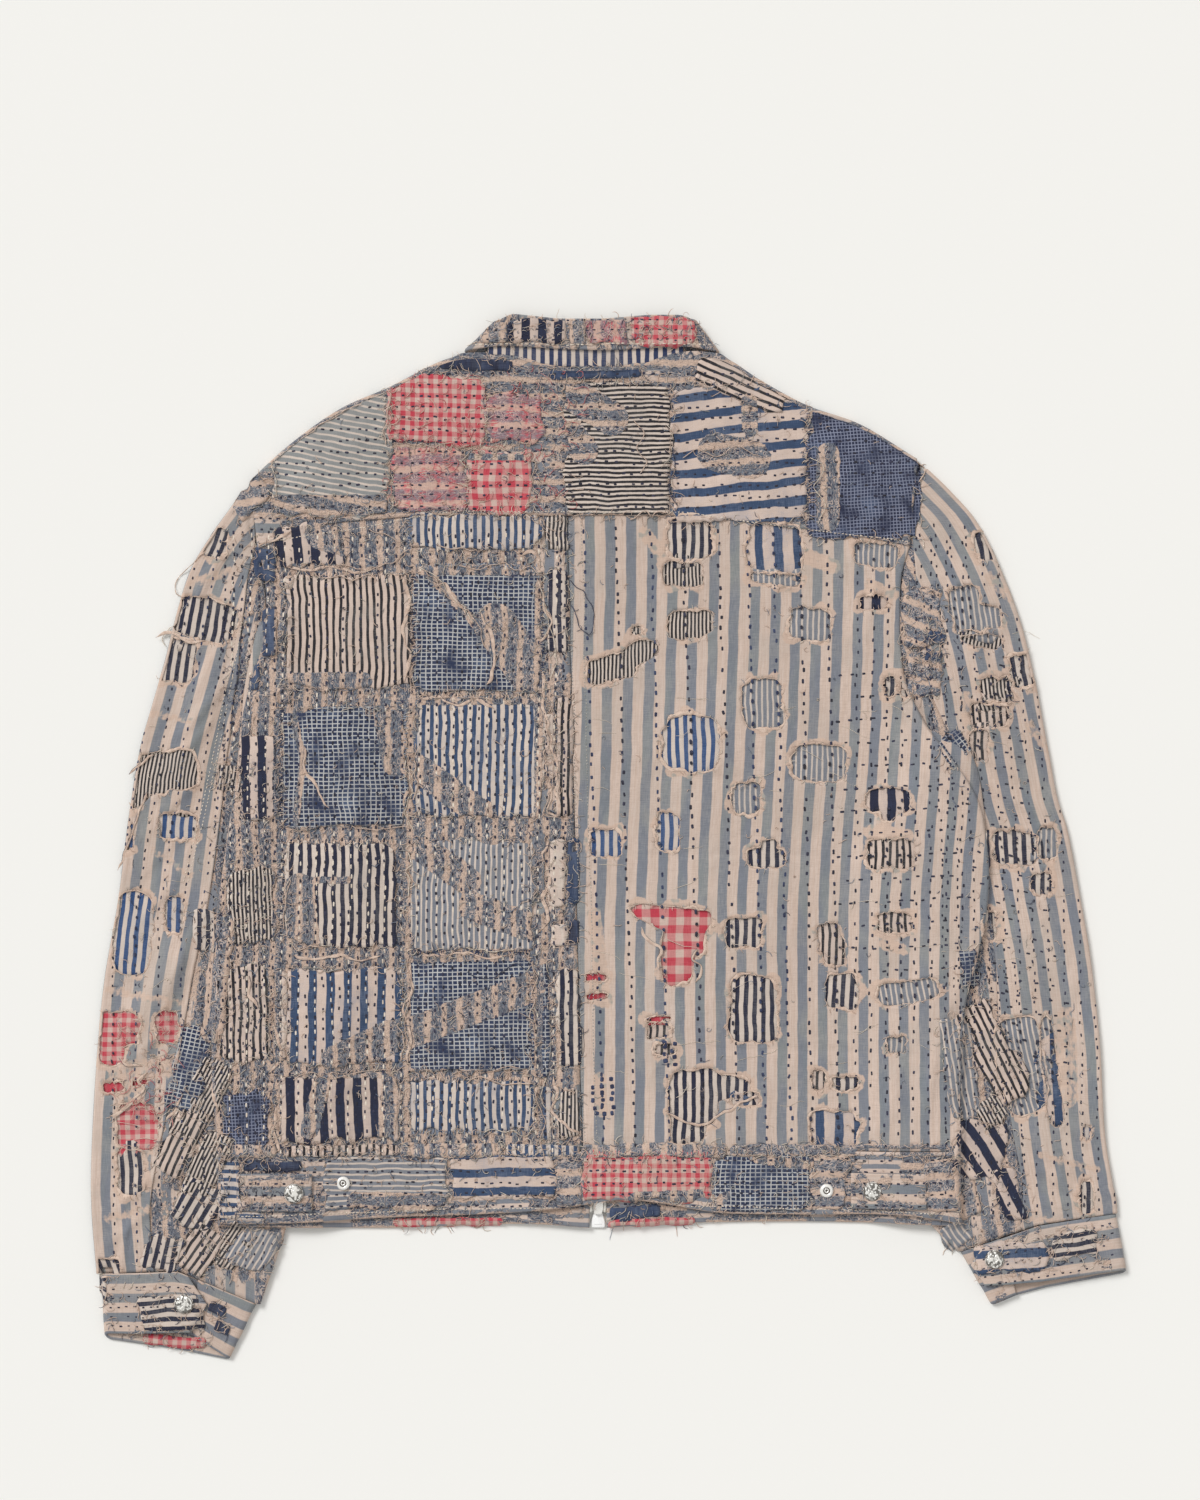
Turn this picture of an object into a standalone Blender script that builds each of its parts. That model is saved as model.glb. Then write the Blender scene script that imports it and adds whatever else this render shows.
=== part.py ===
"""Patched boro jacket, laid flat on its front with its back up.

Named sizes are in millimetres, and MM turns them into metres. +X runs from the wearer's left to the
right, +Y from the hem to the collar, and +Z up from the surface that the jacket lies on. The origin
is on that surface, under the middle of the whole outline.
The front is the lowest layer. The sleeves' inner strips lie under the body's sides, so the body
rises over them. Each piece of cloth is an open sheet through rows of points, thickened to its wall.
"""

import math
from collections import namedtuple

import bmesh
import bpy
import numpy as np
from mathutils import Matrix, Vector

MM = 0.001

# Walls of cloth, and the spaces between the pieces
CLOTH = 1.8
BAND = 3.0
CUFF_BAND = 2.6
TRIM = 1.0
SEAM = 0.3
YOKE_SEAM_GAP = 0.5
CUFF_GAP = 0.6
STAND_GAP = 0.9
BAND_GAP = 1.2  # between the waistband's back and front layers
TAB_SEAT = 0.4
SNAP_SEAT = 0.35
LAYERS = 3.8  # from the middle of the lower layer's wall to the middle of the upper one's
CURL = 2.5  # radius at which the back's side edges turn down to the front
BAND_CURL = 2.1  # the same at the waistband's ends
SHOULDER_LEAN = 6.0  # how far the yoke widens on each side, from its seam to the shoulder
FLAT_TURN = 1.9  # radius at which a sleeve folds flat

# How the body rises over the sleeves' inner strips, and over the zip's slider
LIFT = 6.2
PLATEAU = 14.0
RAMP = 40.0
LEFT_RISE_START = 190.0
RIGHT_RISE_START = 102.0
ZIP_LIFT = 3.0
ZIP_REACH = 90.0

# The zip: half widths of its chain, tapes and the space between the fronts
ZIP_X = -9.0
ZIP_MIDDLE = 1.3  # height of the chain's and the tapes' middle over the surface below them
CHAIN_HALF = 3.0
CHAIN_THICK = 2.0
TAPE_HALF = 6.5
TAPE_END = 4.0  # from the band's lower edge up to the ends of the tapes
FRONT_EDGE = 6.8
CHAIN_YS = (-278, -262, -247, -225, -200, -170, 50, 150, 250, 345)
SLIDER_Y = -291.5
SLIDER_LENGTH = 11.0
SLIDER_WIDTH = 8.0
SLIDER_THICK = 2.7
SLIDER_FLOOR = 2.9
CROWN_WIDTH = 2.0
CROWN_LENGTH = 5.2
CROWN_THICK = 0.8
CROWN_LOW = 0.2
CROWN_ROOT = 0.5  # how far the crown reaches into the slider's body
PULL_AXIS_Z = 1.9
PULL_THICK = 1.2
PULL_REACH = 17.0
PULL_NECK = 3.0
PULL_HALF = 5.4
PULL_FLARE = 0.86  # share of its length over which it widens
PULL_CORNER = 1.3
PULL_WINDOW_HALF = 1.6
PULL_WINDOW_LENGTH = 3.6

SNAP_RADIUS = 7.5
SNAP_HEIGHT = 3.2
SNAP_RIM = 0.8
STUD_RADIUS = 5.5
STUD_HEIGHT = 2.4
STUD_FLOOR = 1.0
SNAP_FACETS = 20

YOKE_PATCH_INSET = 3.0
BACK_PATCH_INSET = 4.0
WAIST_Y = -247.0

# Side edges of the body and its centre seam, from the yoke seam down to the hem
BodyRow = namedtuple("BodyRow", "y left right centre")
BODY_ROWS = (
    BodyRow(229, -278, 237, -33),
    BodyRow(207, -273, 231, -32),
    BodyRow(176, -271, 229, -31),
    BodyRow(144, -275, 230, -31),
    BodyRow(124, -282, 233, -30),
    BodyRow(91, -290, 249, -30),
    BodyRow(60, -293, 272, -29),
    BodyRow(30, -296, 290, -28),
    BodyRow(-2, -301, 297, -27),
    BodyRow(-49, -308, 298, -26),
    BodyRow(-93, -312, 290, -25),
    BodyRow(-128, -313, 281, -24),
    BodyRow(-190, -313, 277, -23),
    BodyRow(-247, -309, 277, -21),
    BodyRow(-304, -309, 278, -21),
)

# Points across the body, from left to right: a seam or an edge at each x
EdgePoint = namedtuple("EdgePoint", "x y")
YOKE_SEAM = (
    EdgePoint(-278, 229),
    EdgePoint(-245, 243),
    EdgePoint(-173, 253),
    EdgePoint(-35, 255),
    EdgePoint(49, 255),
    EdgePoint(150, 245),
    EdgePoint(237, 231),
)
SHOULDERS_AND_NECK = (
    EdgePoint(-284, 281),
    EdgePoint(-275, 290),
    EdgePoint(-245, 316),
    EdgePoint(-213, 338),
    EdgePoint(-177, 354),
    EdgePoint(-119, 380),
    EdgePoint(-85, 380),
    EdgePoint(-45, 372),
    EdgePoint(-8, 371),
    EdgePoint(24, 373),
    EdgePoint(62, 382),
    EdgePoint(90, 379),
    EdgePoint(119, 361),
    EdgePoint(154, 342),
    EdgePoint(198, 326),
    EdgePoint(241, 300),
    EdgePoint(246, 297),
)
NECK_POINTS = (5, 11)  # the neck runs between these two of the points above
FRONT_NECK = (
    EdgePoint(-119, 379),
    EdgePoint(-100, 372),
    EdgePoint(-60, 356),
    EdgePoint(-9, 344),
    EdgePoint(42, 356),
    EdgePoint(72, 371),
    EdgePoint(90, 378),
)
BACK_BAND_LOW = (
    EdgePoint(-309, -304),
    EdgePoint(-245, -303),
    EdgePoint(-166, -299),
    EdgePoint(-87, -296),
    EdgePoint(-39, -292),
    EdgePoint(-12, -288),
    EdgePoint(8, -285),
    EdgePoint(40, -288),
    EdgePoint(81, -295),
    EdgePoint(150, -297),
    EdgePoint(249, -299),
    EdgePoint(278, -304),
)
FRONT_BAND_LOW = (
    EdgePoint(-309, -306),
    EdgePoint(-166, -308),
    EdgePoint(-55, -305),
    EdgePoint(-9, -308),
    EdgePoint(40, -305),
    EdgePoint(150, -303),
    EdgePoint(278, -306),
)

# A sleeve from its head to its cuff: the outer and inner ends of each row across it, where along
# the row the seam between its two pieces lies (0 outer, 1 inner), and how far the row bows
SleeveRow = namedtuple("SleeveRow", "outer_x outer_y inner_x inner_y seam bow")
LEFT_SLEEVE = (
    SleeveRow(-290, 275, -282, 268, 1.00, 0),
    SleeveRow(-298, 263, -284, 255, 1.00, 0),
    SleeveRow(-312, 243, -282, 235, 0.96, 0),
    SleeveRow(-331, 211, -277, 211, 0.80, 0),
    SleeveRow(-343, 172, -274, 180, 0.74, 0),
    SleeveRow(-351, 140, -276, 144, 0.74, 0),
    SleeveRow(-361, 105, -245, 109, 0.54, 0),
    SleeveRow(-371, 69, -209, 69, 0.42, 0),
    SleeveRow(-380, 14, -215, 14, 0.43, 0),
    SleeveRow(-388, -49, -222, -49, 0.42, 0),
    SleeveRow(-399, -113, -230, -113, 0.40, 0),
    SleeveRow(-405, -176, -238, -176, 0.375, 0),
    SleeveRow(-409, -247, -247, -247, 0.32, 0),
    SleeveRow(-409, -294, -254, -304, 0.29, 0),
    SleeveRow(-405, -344, -275, -369, 0.34, 15),
)
RIGHT_SLEEVE = (
    SleeveRow(251, 292, 245, 287, 1.00, 0),
    SleeveRow(269, 274, 242, 269, 1.00, 0),
    SleeveRow(289, 251, 240, 244, 0.95, 0),
    SleeveRow(306, 219, 235, 214, 0.86, 0),
    SleeveRow(324, 172, 231, 172, 0.82, 0),
    SleeveRow(336, 124, 235, 124, 0.80, 0),
    SleeveRow(342, 93, 251, 91, 0.82, 0),
    SleeveRow(348, 61, 273, 60, 0.84, 0),
    SleeveRow(354, 30, 253, 28, 0.72, 0),
    SleeveRow(362, 4, 241, -2, 0.61, 0),
    SleeveRow(372, -49, 233, -49, 0.53, 0),
    SleeveRow(380, -97, 232, -97, 0.50, 0),
    SleeveRow(387, -160, 233, -160, 0.50, 0),
    SleeveRow(391, -231, 239, -231, 0.47, 0),
    SleeveRow(397, -271, 244, -271, 0.455, 0),
    SleeveRow(400, -284, 249, -300, 0.48, 0),
    SleeveRow(401, -296, 275, -327, 0.58, 6),
)
UNDER_SLEEVE_START = 2.3
SLEEVE_ROWS = 19
SLEEVE_STEPS = (0.0, 0.25, 0.6, 0.85, 1.0)
OUTER_LOW_STEPS = (0.45, 0.86, 1.0)
UNDER_LOW_STEPS = (0.4, 0.75, 1.0)

# A cuff's band along its path, from the end on top, round the outer fold, underneath and round
# the inner fold: where it starts on the sleeve's last row, its lower edge and its height
CuffRow = namedtuple("CuffRow", "along lower_x lower_y z bow")
LEFT_CUFF = {
    "over": (
        CuffRow(0.56, -330, -390, 7.9, 14),
        CuffRow(0.50, -340, -390, 7.9, 0),
        CuffRow(0.26, -371, -391, 6.6, 0),
        CuffRow(0.05, -397, -391, 5.2, 0),
    ),
    "under": (
        CuffRow(0.05, -395, -396, 1.3, 0),
        CuffRow(0.26, -368, -400, 1.3, 0),
        CuffRow(0.50, -341, -404, 1.3, 0),
        CuffRow(0.96, -301, -412, 1.3, 0),
    ),
    "lap": (
        CuffRow(0.96, -302, -410, 4.7, 0),
        CuffRow(0.80, -316, -401, 4.7, 0),
        CuffRow(0.62, -331, -391, 4.7, 0),
    ),
}
RIGHT_CUFF = {
    "over": (
        CuffRow(0.84, 296, -353, 7.9, -11),
        CuffRow(0.68, 316, -352, 7.9, 0),
        CuffRow(0.50, 339, -350, 6.9, 0),
        CuffRow(0.03, 406, -341, 5.2, 0),
    ),
    "under": (
        CuffRow(0.03, 405, -344, 1.3, 0),
        CuffRow(0.50, 345, -355, 1.3, 0),
        CuffRow(0.70, 322, -361, 1.3, 0),
        CuffRow(0.97, 303, -369, 1.3, 0),
    ),
    "lap": (
        CuffRow(0.97, 304, -367, 4.7, 0),
        CuffRow(0.86, 311, -364, 4.7, 0),
        CuffRow(0.74, 321, -360, 4.7, 0),
    ),
}

# The collar's fall wraps from the back over each side to the front's two ends
CollarRow = namedtuple("CollarRow", "lower_x lower_y upper_x upper_y")
COLLAR_BACK = (
    CollarRow(-113, 384, -89, 407),
    CollarRow(-83, 388, -77, 413),
    CollarRow(-40, 385, -41, 409),
    CollarRow(0, 384, -4, 409),
    CollarRow(35, 386, 30, 412),
    CollarRow(62, 387, 57, 412),
    CollarRow(85, 383, 66, 408),
)
COLLAR_FRONT_LEFT = (
    CollarRow(-112, 382, -88, 405),
    CollarRow(-60, 360, -52, 386),
    CollarRow(-15.5, 348, -15.5, 373),
)
COLLAR_FRONT_RIGHT = (
    CollarRow(84, 381, 65, 406),
    CollarRow(42, 361, 35, 386),
    CollarRow(-2.5, 348, -2.5, 373),
)
FALL_Z = 7.6
FALL_FRONT_Z = 1.5
STAND_Z = 5.0
STAND_REACH = 22.0
STAND_TOP = 396.0
STAND_XS = (-92, -72, -45, -20, 8, 32, 55)

# The largest folds of the upper layer: a soft ridge from one end to the other
Fold = namedtuple("Fold", "x0 y0 x1 y1 half_width height")
BODY_FOLDS = (
    Fold(-150, 350, -262, 262, 30, 2.5),
    Fold(110, 345, 215, 262, 30, 2.5),
    Fold(238, 150, 282, 20, 24, 4.5),
    Fold(-262, 120, -290, -60, 24, 3.0),
    Fold(245, -60, 262, -200, 26, 3.0),
    Fold(-50, 190, -60, -150, 30, 2.0),
    Fold(90, 140, 60, -120, 34, 2.0),
)
SLEEVE_FOLDS = (
    Fold(-300, 190, -345, 20, 24, 4.0),
    Fold(-325, -60, -385, -180, 24, 4.0),
    Fold(-330, -240, -385, -300, 24, 4.0),
    Fold(262, 190, 330, 60, 24, 4.5),
    Fold(305, -60, 355, -170, 24, 4.0),
    Fold(310, -220, 370, -270, 22, 4.0),
)

# Lines of the back's grid: they pass through the edges of its patches
BACK_YS = (-247, -218, -190, -157, -123, -90, -59, -28, 4, 40, 76, 113, 145, 178, 210, 255)
LEFT_XS = (-256, -233, -207, -181, -158, -134, -106, -79, -51)
RIGHT_XS = (-6, 20, 46, 72, 98, 124, 150, 176, 198, 219)
YOKE_XS = (-256, -232, -203, -173, -141, -106, -70, -35, 10, 49, 78, 104, 130, 157, 185, 212)
YOKE_STEPS = (0.0, 0.25, 0.5, 0.75, 1.0)
FRONT_LEFT_XS = (-256, -233, -207, -181, -150, -106, -60, -34)
FRONT_RIGHT_XS = (16, 60, 110, 150, 176, 198, 219)
FRONT_YS = (-247, -218, -190, -157, -123, -90, -40, 10, 60, 92, 124, 150, 178, 210, 255)
BAND_LEFT_XS = (-288, -262, -234, -218, -202, -166, -127, -87, -62, -39, -12)
BAND_RIGHT_XS = (8, 30, 60, 81, 120, 163, 179, 199, 215, 249)
BAND_XS = BAND_LEFT_XS + BAND_RIGHT_XS
BAND_LEVELS = (0.0, 0.5, 1.0)
FRONT_BAND_LEFT_XS = (-288, -262, -234, -218, -202, -150, -100, -60, -35)
FRONT_BAND_RIGHT_XS = (15, 40, 81, 140, 179, 199, 215, 249)

# Patches sewn on the back and the yoke: first and last grid line each way
Patch = namedtuple("Patch", "name left right low high slot")
LEFT_PATCHES = (
    Patch("patch_bars_top", -256, -207, 210, 255, "navy_bars"),
    Patch("patch_blue_top", -158, -51, 210, 255, "blue_stripe"),
    Patch("patch_fine_upper", -256, -158, 113, 210, "fine_stripe"),
    Patch("patch_check_upper", -158, -51, 113, 210, "indigo_check"),
    Patch("patch_check_mid", -256, -158, 4, 113, "indigo_check"),
    Patch("patch_blue_mid", -158, -51, 4, 113, "blue_stripe"),
    Patch("patch_dark_mid", -256, -158, -90, 4, "fine_stripe"),
    Patch("patch_slate_mid", -158, -51, -90, 4, "slate_stripe"),
    Patch("patch_broad_low", -256, -158, -190, -90, "blue_stripe"),
    Patch("patch_check_low", -158, -51, -190, -90, "indigo_check"),
    Patch("patch_bars_low", -256, -158, -247, -190, "navy_bars"),
    Patch("patch_blue_low", -158, -51, -247, -190, "blue_stripe"),
)
YOKE_PATCHES = (
    Patch("patch_slate_shoulder", -256, -173, 0.0, 1.0, "slate_stripe"),
    Patch("patch_gingham_high", -173, -106, 0.5, 1.0, "gingham"),
    Patch("patch_gingham_low", -141, -70, 0.0, 0.5, "gingham"),
    Patch("patch_fine_yoke", -35, 49, 0.0, 0.75, "fine_stripe"),
    Patch("patch_broad_yoke", 49, 157, 0.0, 0.75, "blue_stripe"),
    Patch("patch_indigo_shoulder", 157, 212, 0.0, 1.0, "indigo_check"),
)
PATCH_GAP = 0.5
PATCH_RISE = CLOTH / 2 + PATCH_GAP + TRIM / 2

# Waist tabs and what fastens them: x runs from the sewn end to the free end
Tab = namedtuple("Tab", "name x0 x1 low high")
TABS = (
    Tab("waist_tab_left", -293, -234, -294, -264),
    Tab("waist_tab_right", 249, 190, -292, -264),
)
Snap = namedtuple("Snap", "name x y")
TAB_SNAPS = (Snap("snap_cap_waist_left", -248, -279), Snap("snap_cap_waist_right", 207, -278))
CUFF_SNAPS = (Snap("snap_cap_cuff_left", -335, -367), Snap("snap_cap_cuff_right", 303, -332))
STUDS = (Snap("snap_stud_left", -210, -272), Snap("snap_stud_right", 171, -278))

# Colours of the cloths and metals: red, green, blue, roughness, metallic
Finish = namedtuple("Finish", "red green blue rough metal")
FINISHES = {
    "striped_cotton": Finish(0.60, 0.50, 0.42, 0.95, 0.0),
    "patchwork_cotton": Finish(0.42, 0.38, 0.36, 0.95, 0.0),
    "slate_stripe": Finish(0.30, 0.36, 0.44, 0.95, 0.0),
    "blue_stripe": Finish(0.16, 0.26, 0.46, 0.95, 0.0),
    "navy_bars": Finish(0.05, 0.06, 0.13, 0.95, 0.0),
    "fine_stripe": Finish(0.20, 0.18, 0.18, 0.95, 0.0),
    "indigo_check": Finish(0.10, 0.15, 0.28, 0.95, 0.0),
    "gingham": Finish(0.60, 0.10, 0.14, 0.95, 0.0),
    "zip_tape": Finish(0.75, 0.74, 0.72, 0.90, 0.0),
    "nickel": Finish(0.70, 0.68, 0.64, 0.25, 1.0),
}

FOLD_ARC = [math.radians(a) for a in (30, 60, 90)]
FULL_TURN = [math.radians(a) for a in (0, 45, 90, 135, 180)]


def smooth(t):
    t = min(max(t, 0.0), 1.0)
    return t * t * (3 - 2 * t)


def mix(a, b, t):
    return a + (b - a) * t


def on_edge(points, x):
    """The y of an edge at x."""
    return float(np.interp(x, [p.x for p in points], [p.y for p in points]))


def body_edge(column, y):
    """The x of the body's left or right edge, or its centre seam, at a height y."""
    rows = BODY_ROWS[::-1]
    return float(np.interp(y, [r.y for r in rows], [getattr(r, column) for r in rows]))


def tucked_edge(rows, y):
    """The x of a sleeve's inner fold at a height y."""
    rows = rows[::-1]
    return float(np.interp(y, [r.inner_y for r in rows], [r.inner_x for r in rows]))


def rise(x, y):
    """How high the body's lowest layer lies over the surface."""
    left = smooth((tucked_edge(LEFT_SLEEVE, y) + PLATEAU + RAMP - x) / RAMP)
    left *= smooth((LEFT_RISE_START - y) / RAMP)
    right = smooth((x - tucked_edge(RIGHT_SLEEVE, y) + PLATEAU + RAMP) / RAMP)
    right *= smooth((RIGHT_RISE_START - y) / RAMP)
    slider = smooth(1.25 - math.hypot(x - ZIP_X, y - SLIDER_Y) / ZIP_REACH)
    return LIFT * max(left, right) + ZIP_LIFT * slider


def fold_height(x, y, folds):
    """The height of the soft ridges at a point."""
    total = 0.0
    for fold in folds:
        along = Vector((fold.x1 - fold.x0, fold.y1 - fold.y0))
        away = Vector((x - fold.x0, y - fold.y0))
        t = away.dot(along) / along.length_squared
        off = abs(along.x * away.y - along.y * away.x) / along.length
        if 0 < t < 1 and off < fold.half_width:
            ridge = math.cos(math.pi / 2 * off / fold.half_width) ** 2
            total += fold.height * ridge * math.sin(math.pi * t)
    return total


def upper_z(x, y):
    """The middle of the back's wall."""
    return rise(x, y) + CLOTH / 2 + LAYERS + fold_height(x, y, BODY_FOLDS)


def curl_steps(fixed, edge, outward):
    """A row's places from its inner lines to a curled edge: (x, drop) with the curl's arc last."""
    edge -= outward * CLOTH / 2
    steps = [(x, 0.0) for x in fixed]
    last = fixed[-1]
    flat = edge - outward * CURL
    steps.append((mix(last, flat, 0.55), 0.0))
    steps.append((flat, 0.0))
    steps += [(flat + outward * CURL * math.sin(a), CURL * (1 - math.cos(a))) for a in FOLD_ARC]
    return steps


def finish_material(name, slot):
    """A piece's own material, with the finish of its kind of cloth or metal."""
    finish = FINISHES[slot]
    material = bpy.data.materials.new(name)
    material.use_nodes = True
    shader = material.node_tree.nodes["Principled BSDF"]
    shader.inputs["Base Color"].default_value = (finish.red, finish.green, finish.blue, 1.0)
    shader.inputs["Roughness"].default_value = finish.rough
    shader.inputs["Metallic"].default_value = finish.metal
    return material


def to_object(name, mesh, slot, parts):
    piece = bpy.data.objects.new(name, mesh)
    mesh.materials.append(finish_material(name, slot))
    mesh.shade_smooth()
    mesh.set_sharp_from_angle(angle=math.radians(50))
    parts.objects.link(piece)
    return piece


def sheet(name, points, wall, slot, parts):
    """An open grid of points, rows by columns, thickened evenly to both sides."""
    mesh = bpy.data.meshes.new(name)
    shape = bmesh.new()
    columns = len(points[0])
    bmesh.ops.create_grid(shape, x_segments=columns - 1, y_segments=len(points) - 1, size=0.5)
    shape.verts.ensure_lookup_table()
    for vertex, place in zip(shape.verts, [p for row in points for p in row], strict=True):
        vertex.co = Vector(place) * MM
    shape.to_mesh(mesh)
    shape.free()
    piece = to_object(name, mesh, slot, parts)
    wall_maker = piece.modifiers.new("Wall", "SOLIDIFY")
    wall_maker.thickness = wall * MM
    wall_maker.offset = 0.0
    wall_maker.use_even_offset = True
    return piece


def back_grid(side):
    """Points of one half of the back, from its centre seam to its curled side edge."""
    outward = -1 if side == "left" else 1
    fixed = LEFT_XS[::-1] if side == "left" else RIGHT_XS
    rows = []
    for y_line in BACK_YS:
        share = (y_line - WAIST_Y) / (BACK_YS[-1] - WAIST_Y)
        seam_y = mix(WAIST_Y, on_edge(YOKE_SEAM, fixed[-1]), share)
        centre = body_edge("centre", seam_y) + outward * SEAM / 2
        edge_y = mix(WAIST_Y, on_edge(YOKE_SEAM, body_edge(side, y_line)), share)
        places = [(centre, 0.0)] + curl_steps(fixed, body_edge(side, edge_y), outward)
        row = []
        for x, drop in places:
            top = on_edge(YOKE_SEAM, x) - YOKE_SEAM_GAP / 2
            y = mix(WAIST_Y + SEAM / 2, top, share)
            row.append((x, y, upper_z(x, y) - drop))
        rows.append(row)
    return rows


def yoke_grid():
    """Points of the yoke, from the seam across the back up to the curled shoulders and neck."""
    left = YOKE_SEAM[0].x + CLOTH / 2
    right = YOKE_SEAM[-1].x - CLOTH / 2
    neck_left, neck_right = (SHOULDERS_AND_NECK[i].x for i in NECK_POINTS)
    shares = [(s, 0.0, 0.0) for s in YOKE_STEPS]
    shares += [(1.0, CURL * math.sin(a), CURL * (1 - math.cos(a))) for a in FOLD_ARC]
    rows = []
    for share, reach, drop in shares:
        row = []
        for x_line in (left, *YOKE_XS, right):
            lean = SHOULDER_LEAN * share * (int(x_line == right) - int(x_line == left))
            x = x_line + lean
            low = on_edge(YOKE_SEAM, x) + YOKE_SEAM_GAP / 2
            high = on_edge(SHOULDERS_AND_NECK, x) - CLOTH / 2 - CURL
            y = mix(low, high, share) + reach
            at_neck = neck_left < x < neck_right
            row.append((x, y, upper_z(x, y) - (0.0 if at_neck else drop)))
        rows.append(row)
    return rows


def add_patches(grid, lines, levels, patches, inset, parts):
    """Thin patches made from a panel's own points, moved out and set in from the grid's lines."""
    for patch in patches:
        across = [lines.index(x) for x in lines if patch.left <= x <= patch.right]
        up = [levels.index(y) for y in levels if patch.low <= y <= patch.high]
        points = np.array([[grid[i][j] for j in across] for i in up], float)
        for edge, inner in ((0, 1), (-1, -2)):
            width = np.linalg.norm(points[:, inner] - points[:, edge], axis=1)
            points[:, edge] += (points[:, inner] - points[:, edge]) * (inset / width)[:, None]
        for edge, inner in ((0, 1), (-1, -2)):
            width = np.linalg.norm(points[inner] - points[edge], axis=1)
            points[edge] += (points[inner] - points[edge]) * (inset / width)[:, None]
        points[:, :, 2] += PATCH_RISE
        sheet(patch.name, points.tolist(), TRIM, patch.slot, parts)


def make_back(parts):
    left = back_grid("left")
    sheet("back_left", left, CLOTH, "patchwork_cotton", parts)
    sheet("back_right", back_grid("right"), CLOTH, "striped_cotton", parts)
    lines = [math.inf, *LEFT_XS[::-1]]
    flat = [row[: len(lines)] for row in left]
    add_patches(flat, lines, BACK_YS, LEFT_PATCHES, BACK_PATCH_INSET, parts)
    yoke = yoke_grid()
    sheet("back_yoke", yoke, CLOTH, "patchwork_cotton", parts)
    lines = [-math.inf, *YOKE_XS, math.inf]
    add_patches(yoke, lines, YOKE_STEPS, YOKE_PATCHES, YOKE_PATCH_INSET, parts)


def front_top(x):
    inside = FRONT_NECK[0].x < x < FRONT_NECK[-1].x
    return on_edge(FRONT_NECK, x) - SEAM if inside else on_edge(SHOULDERS_AND_NECK, x)


def make_front(side, fixed, parts):
    """One front: it lies on the surface, except where it rises over the sleeve and the slider."""
    outward = -1 if side == "left" else 1
    zip_edge = ZIP_X + outward * FRONT_EDGE
    rows = []
    for y_line in (*FRONT_YS, math.inf):
        share = (y_line - WAIST_Y) / (FRONT_YS[-1] - WAIST_Y)
        row = []
        edge = body_edge(side, min(y_line, BODY_ROWS[0].y))
        for x in (zip_edge, *fixed, mix(fixed[-1], edge, 0.5), edge):
            seam = on_edge(YOKE_SEAM, x)
            y = front_top(x) if math.isinf(y_line) else mix(WAIST_Y + SEAM / 2, seam, share)
            row.append((x, y, rise(x, y) + CLOTH / 2))
        rows.append(row)
    sheet(f"front_{side}", rows, CLOTH, "striped_cotton", parts)


def band_rows(xs, low, middle):
    """Rows of a waistband from its seam down to its lower edge, its wall's middle over the rise."""
    rows = []
    for share in BAND_LEVELS:
        row = []
        for x, drop in xs:
            y = mix(WAIST_Y - SEAM / 2, on_edge(low, x), share)
            row.append((x, y, rise(x, y) + middle - drop))
        rows.append(row)
    return rows


def make_waistband(parts):
    """The back's band curls down at both ends, over the band of each front."""
    left = body_edge("left", WAIST_Y - 10) + BAND / 2
    right = body_edge("right", WAIST_Y - 10) - BAND / 2
    ends = [(BAND_CURL * math.sin(a), BAND_CURL * (1 - math.cos(a))) for a in FOLD_ARC]
    xs = [(left + BAND_CURL - reach, drop) for reach, drop in ends[::-1]]
    xs += [(x, 0.0) for x in (left + BAND_CURL, *BAND_XS, right - BAND_CURL)]
    xs += [(right - BAND_CURL + reach, drop) for reach, drop in ends]
    rows = band_rows(xs, BACK_BAND_LOW, BAND * 1.5 + BAND_GAP)
    sheet("waistband_back", rows, BAND, "patchwork_cotton", parts)
    for side, fixed, outward in (
        ("left", FRONT_BAND_LEFT_XS[::-1], -1),
        ("right", FRONT_BAND_RIGHT_XS, 1),
    ):
        end = body_edge(side, WAIST_Y - 10)
        places = [(x, 0.0) for x in (ZIP_X + outward * FRONT_EDGE, *fixed, end)]
        rows = band_rows(places, FRONT_BAND_LOW, BAND / 2)
        sheet(f"waistband_front_{side}", rows, BAND, "patchwork_cotton", parts)


def sleeve_row(rows, at):
    """The sleeve's row at a place between the table's rows, on a smooth curve through them."""
    table = np.array(rows, float)
    index = np.arange(len(rows))
    slopes = np.gradient(table, axis=0)
    k = min(int(at), len(rows) - 2)
    t = at - index[k]
    near, far = table[k], table[k + 1]
    blend = (2 * t**3 - 3 * t**2 + 1) * near + (-2 * t**3 + 3 * t**2) * far
    blend += (t**3 - 2 * t**2 + t) * slopes[k] + (t**3 - t**2) * slopes[k + 1]
    return SleeveRow(*blend)


def across(row, share, shift=0.0):
    """The point at a share of the way from a row's outer end to its inner end, moved inward."""
    inward = 1 if row.inner_x > row.outer_x else -1
    x = mix(row.outer_x, row.inner_x, share) + inward * shift
    y = mix(row.outer_y, row.inner_y, share) + row.bow * (1 - abs(2 * share - 1))
    return x, y


def sleeve_top_z(side, x, y):
    """The middle of the sleeve's upper wall: its folds end before the part under the body."""
    outward = -1 if side == "left" else 1
    clear = (x - body_edge(side, y)) * outward
    free = smooth((clear - 4) / 22) if y > -330 else 1.0
    return CLOTH / 2 + 2 * FLAT_TURN + free * fold_height(x, y, SLEEVE_FOLDS)


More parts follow.
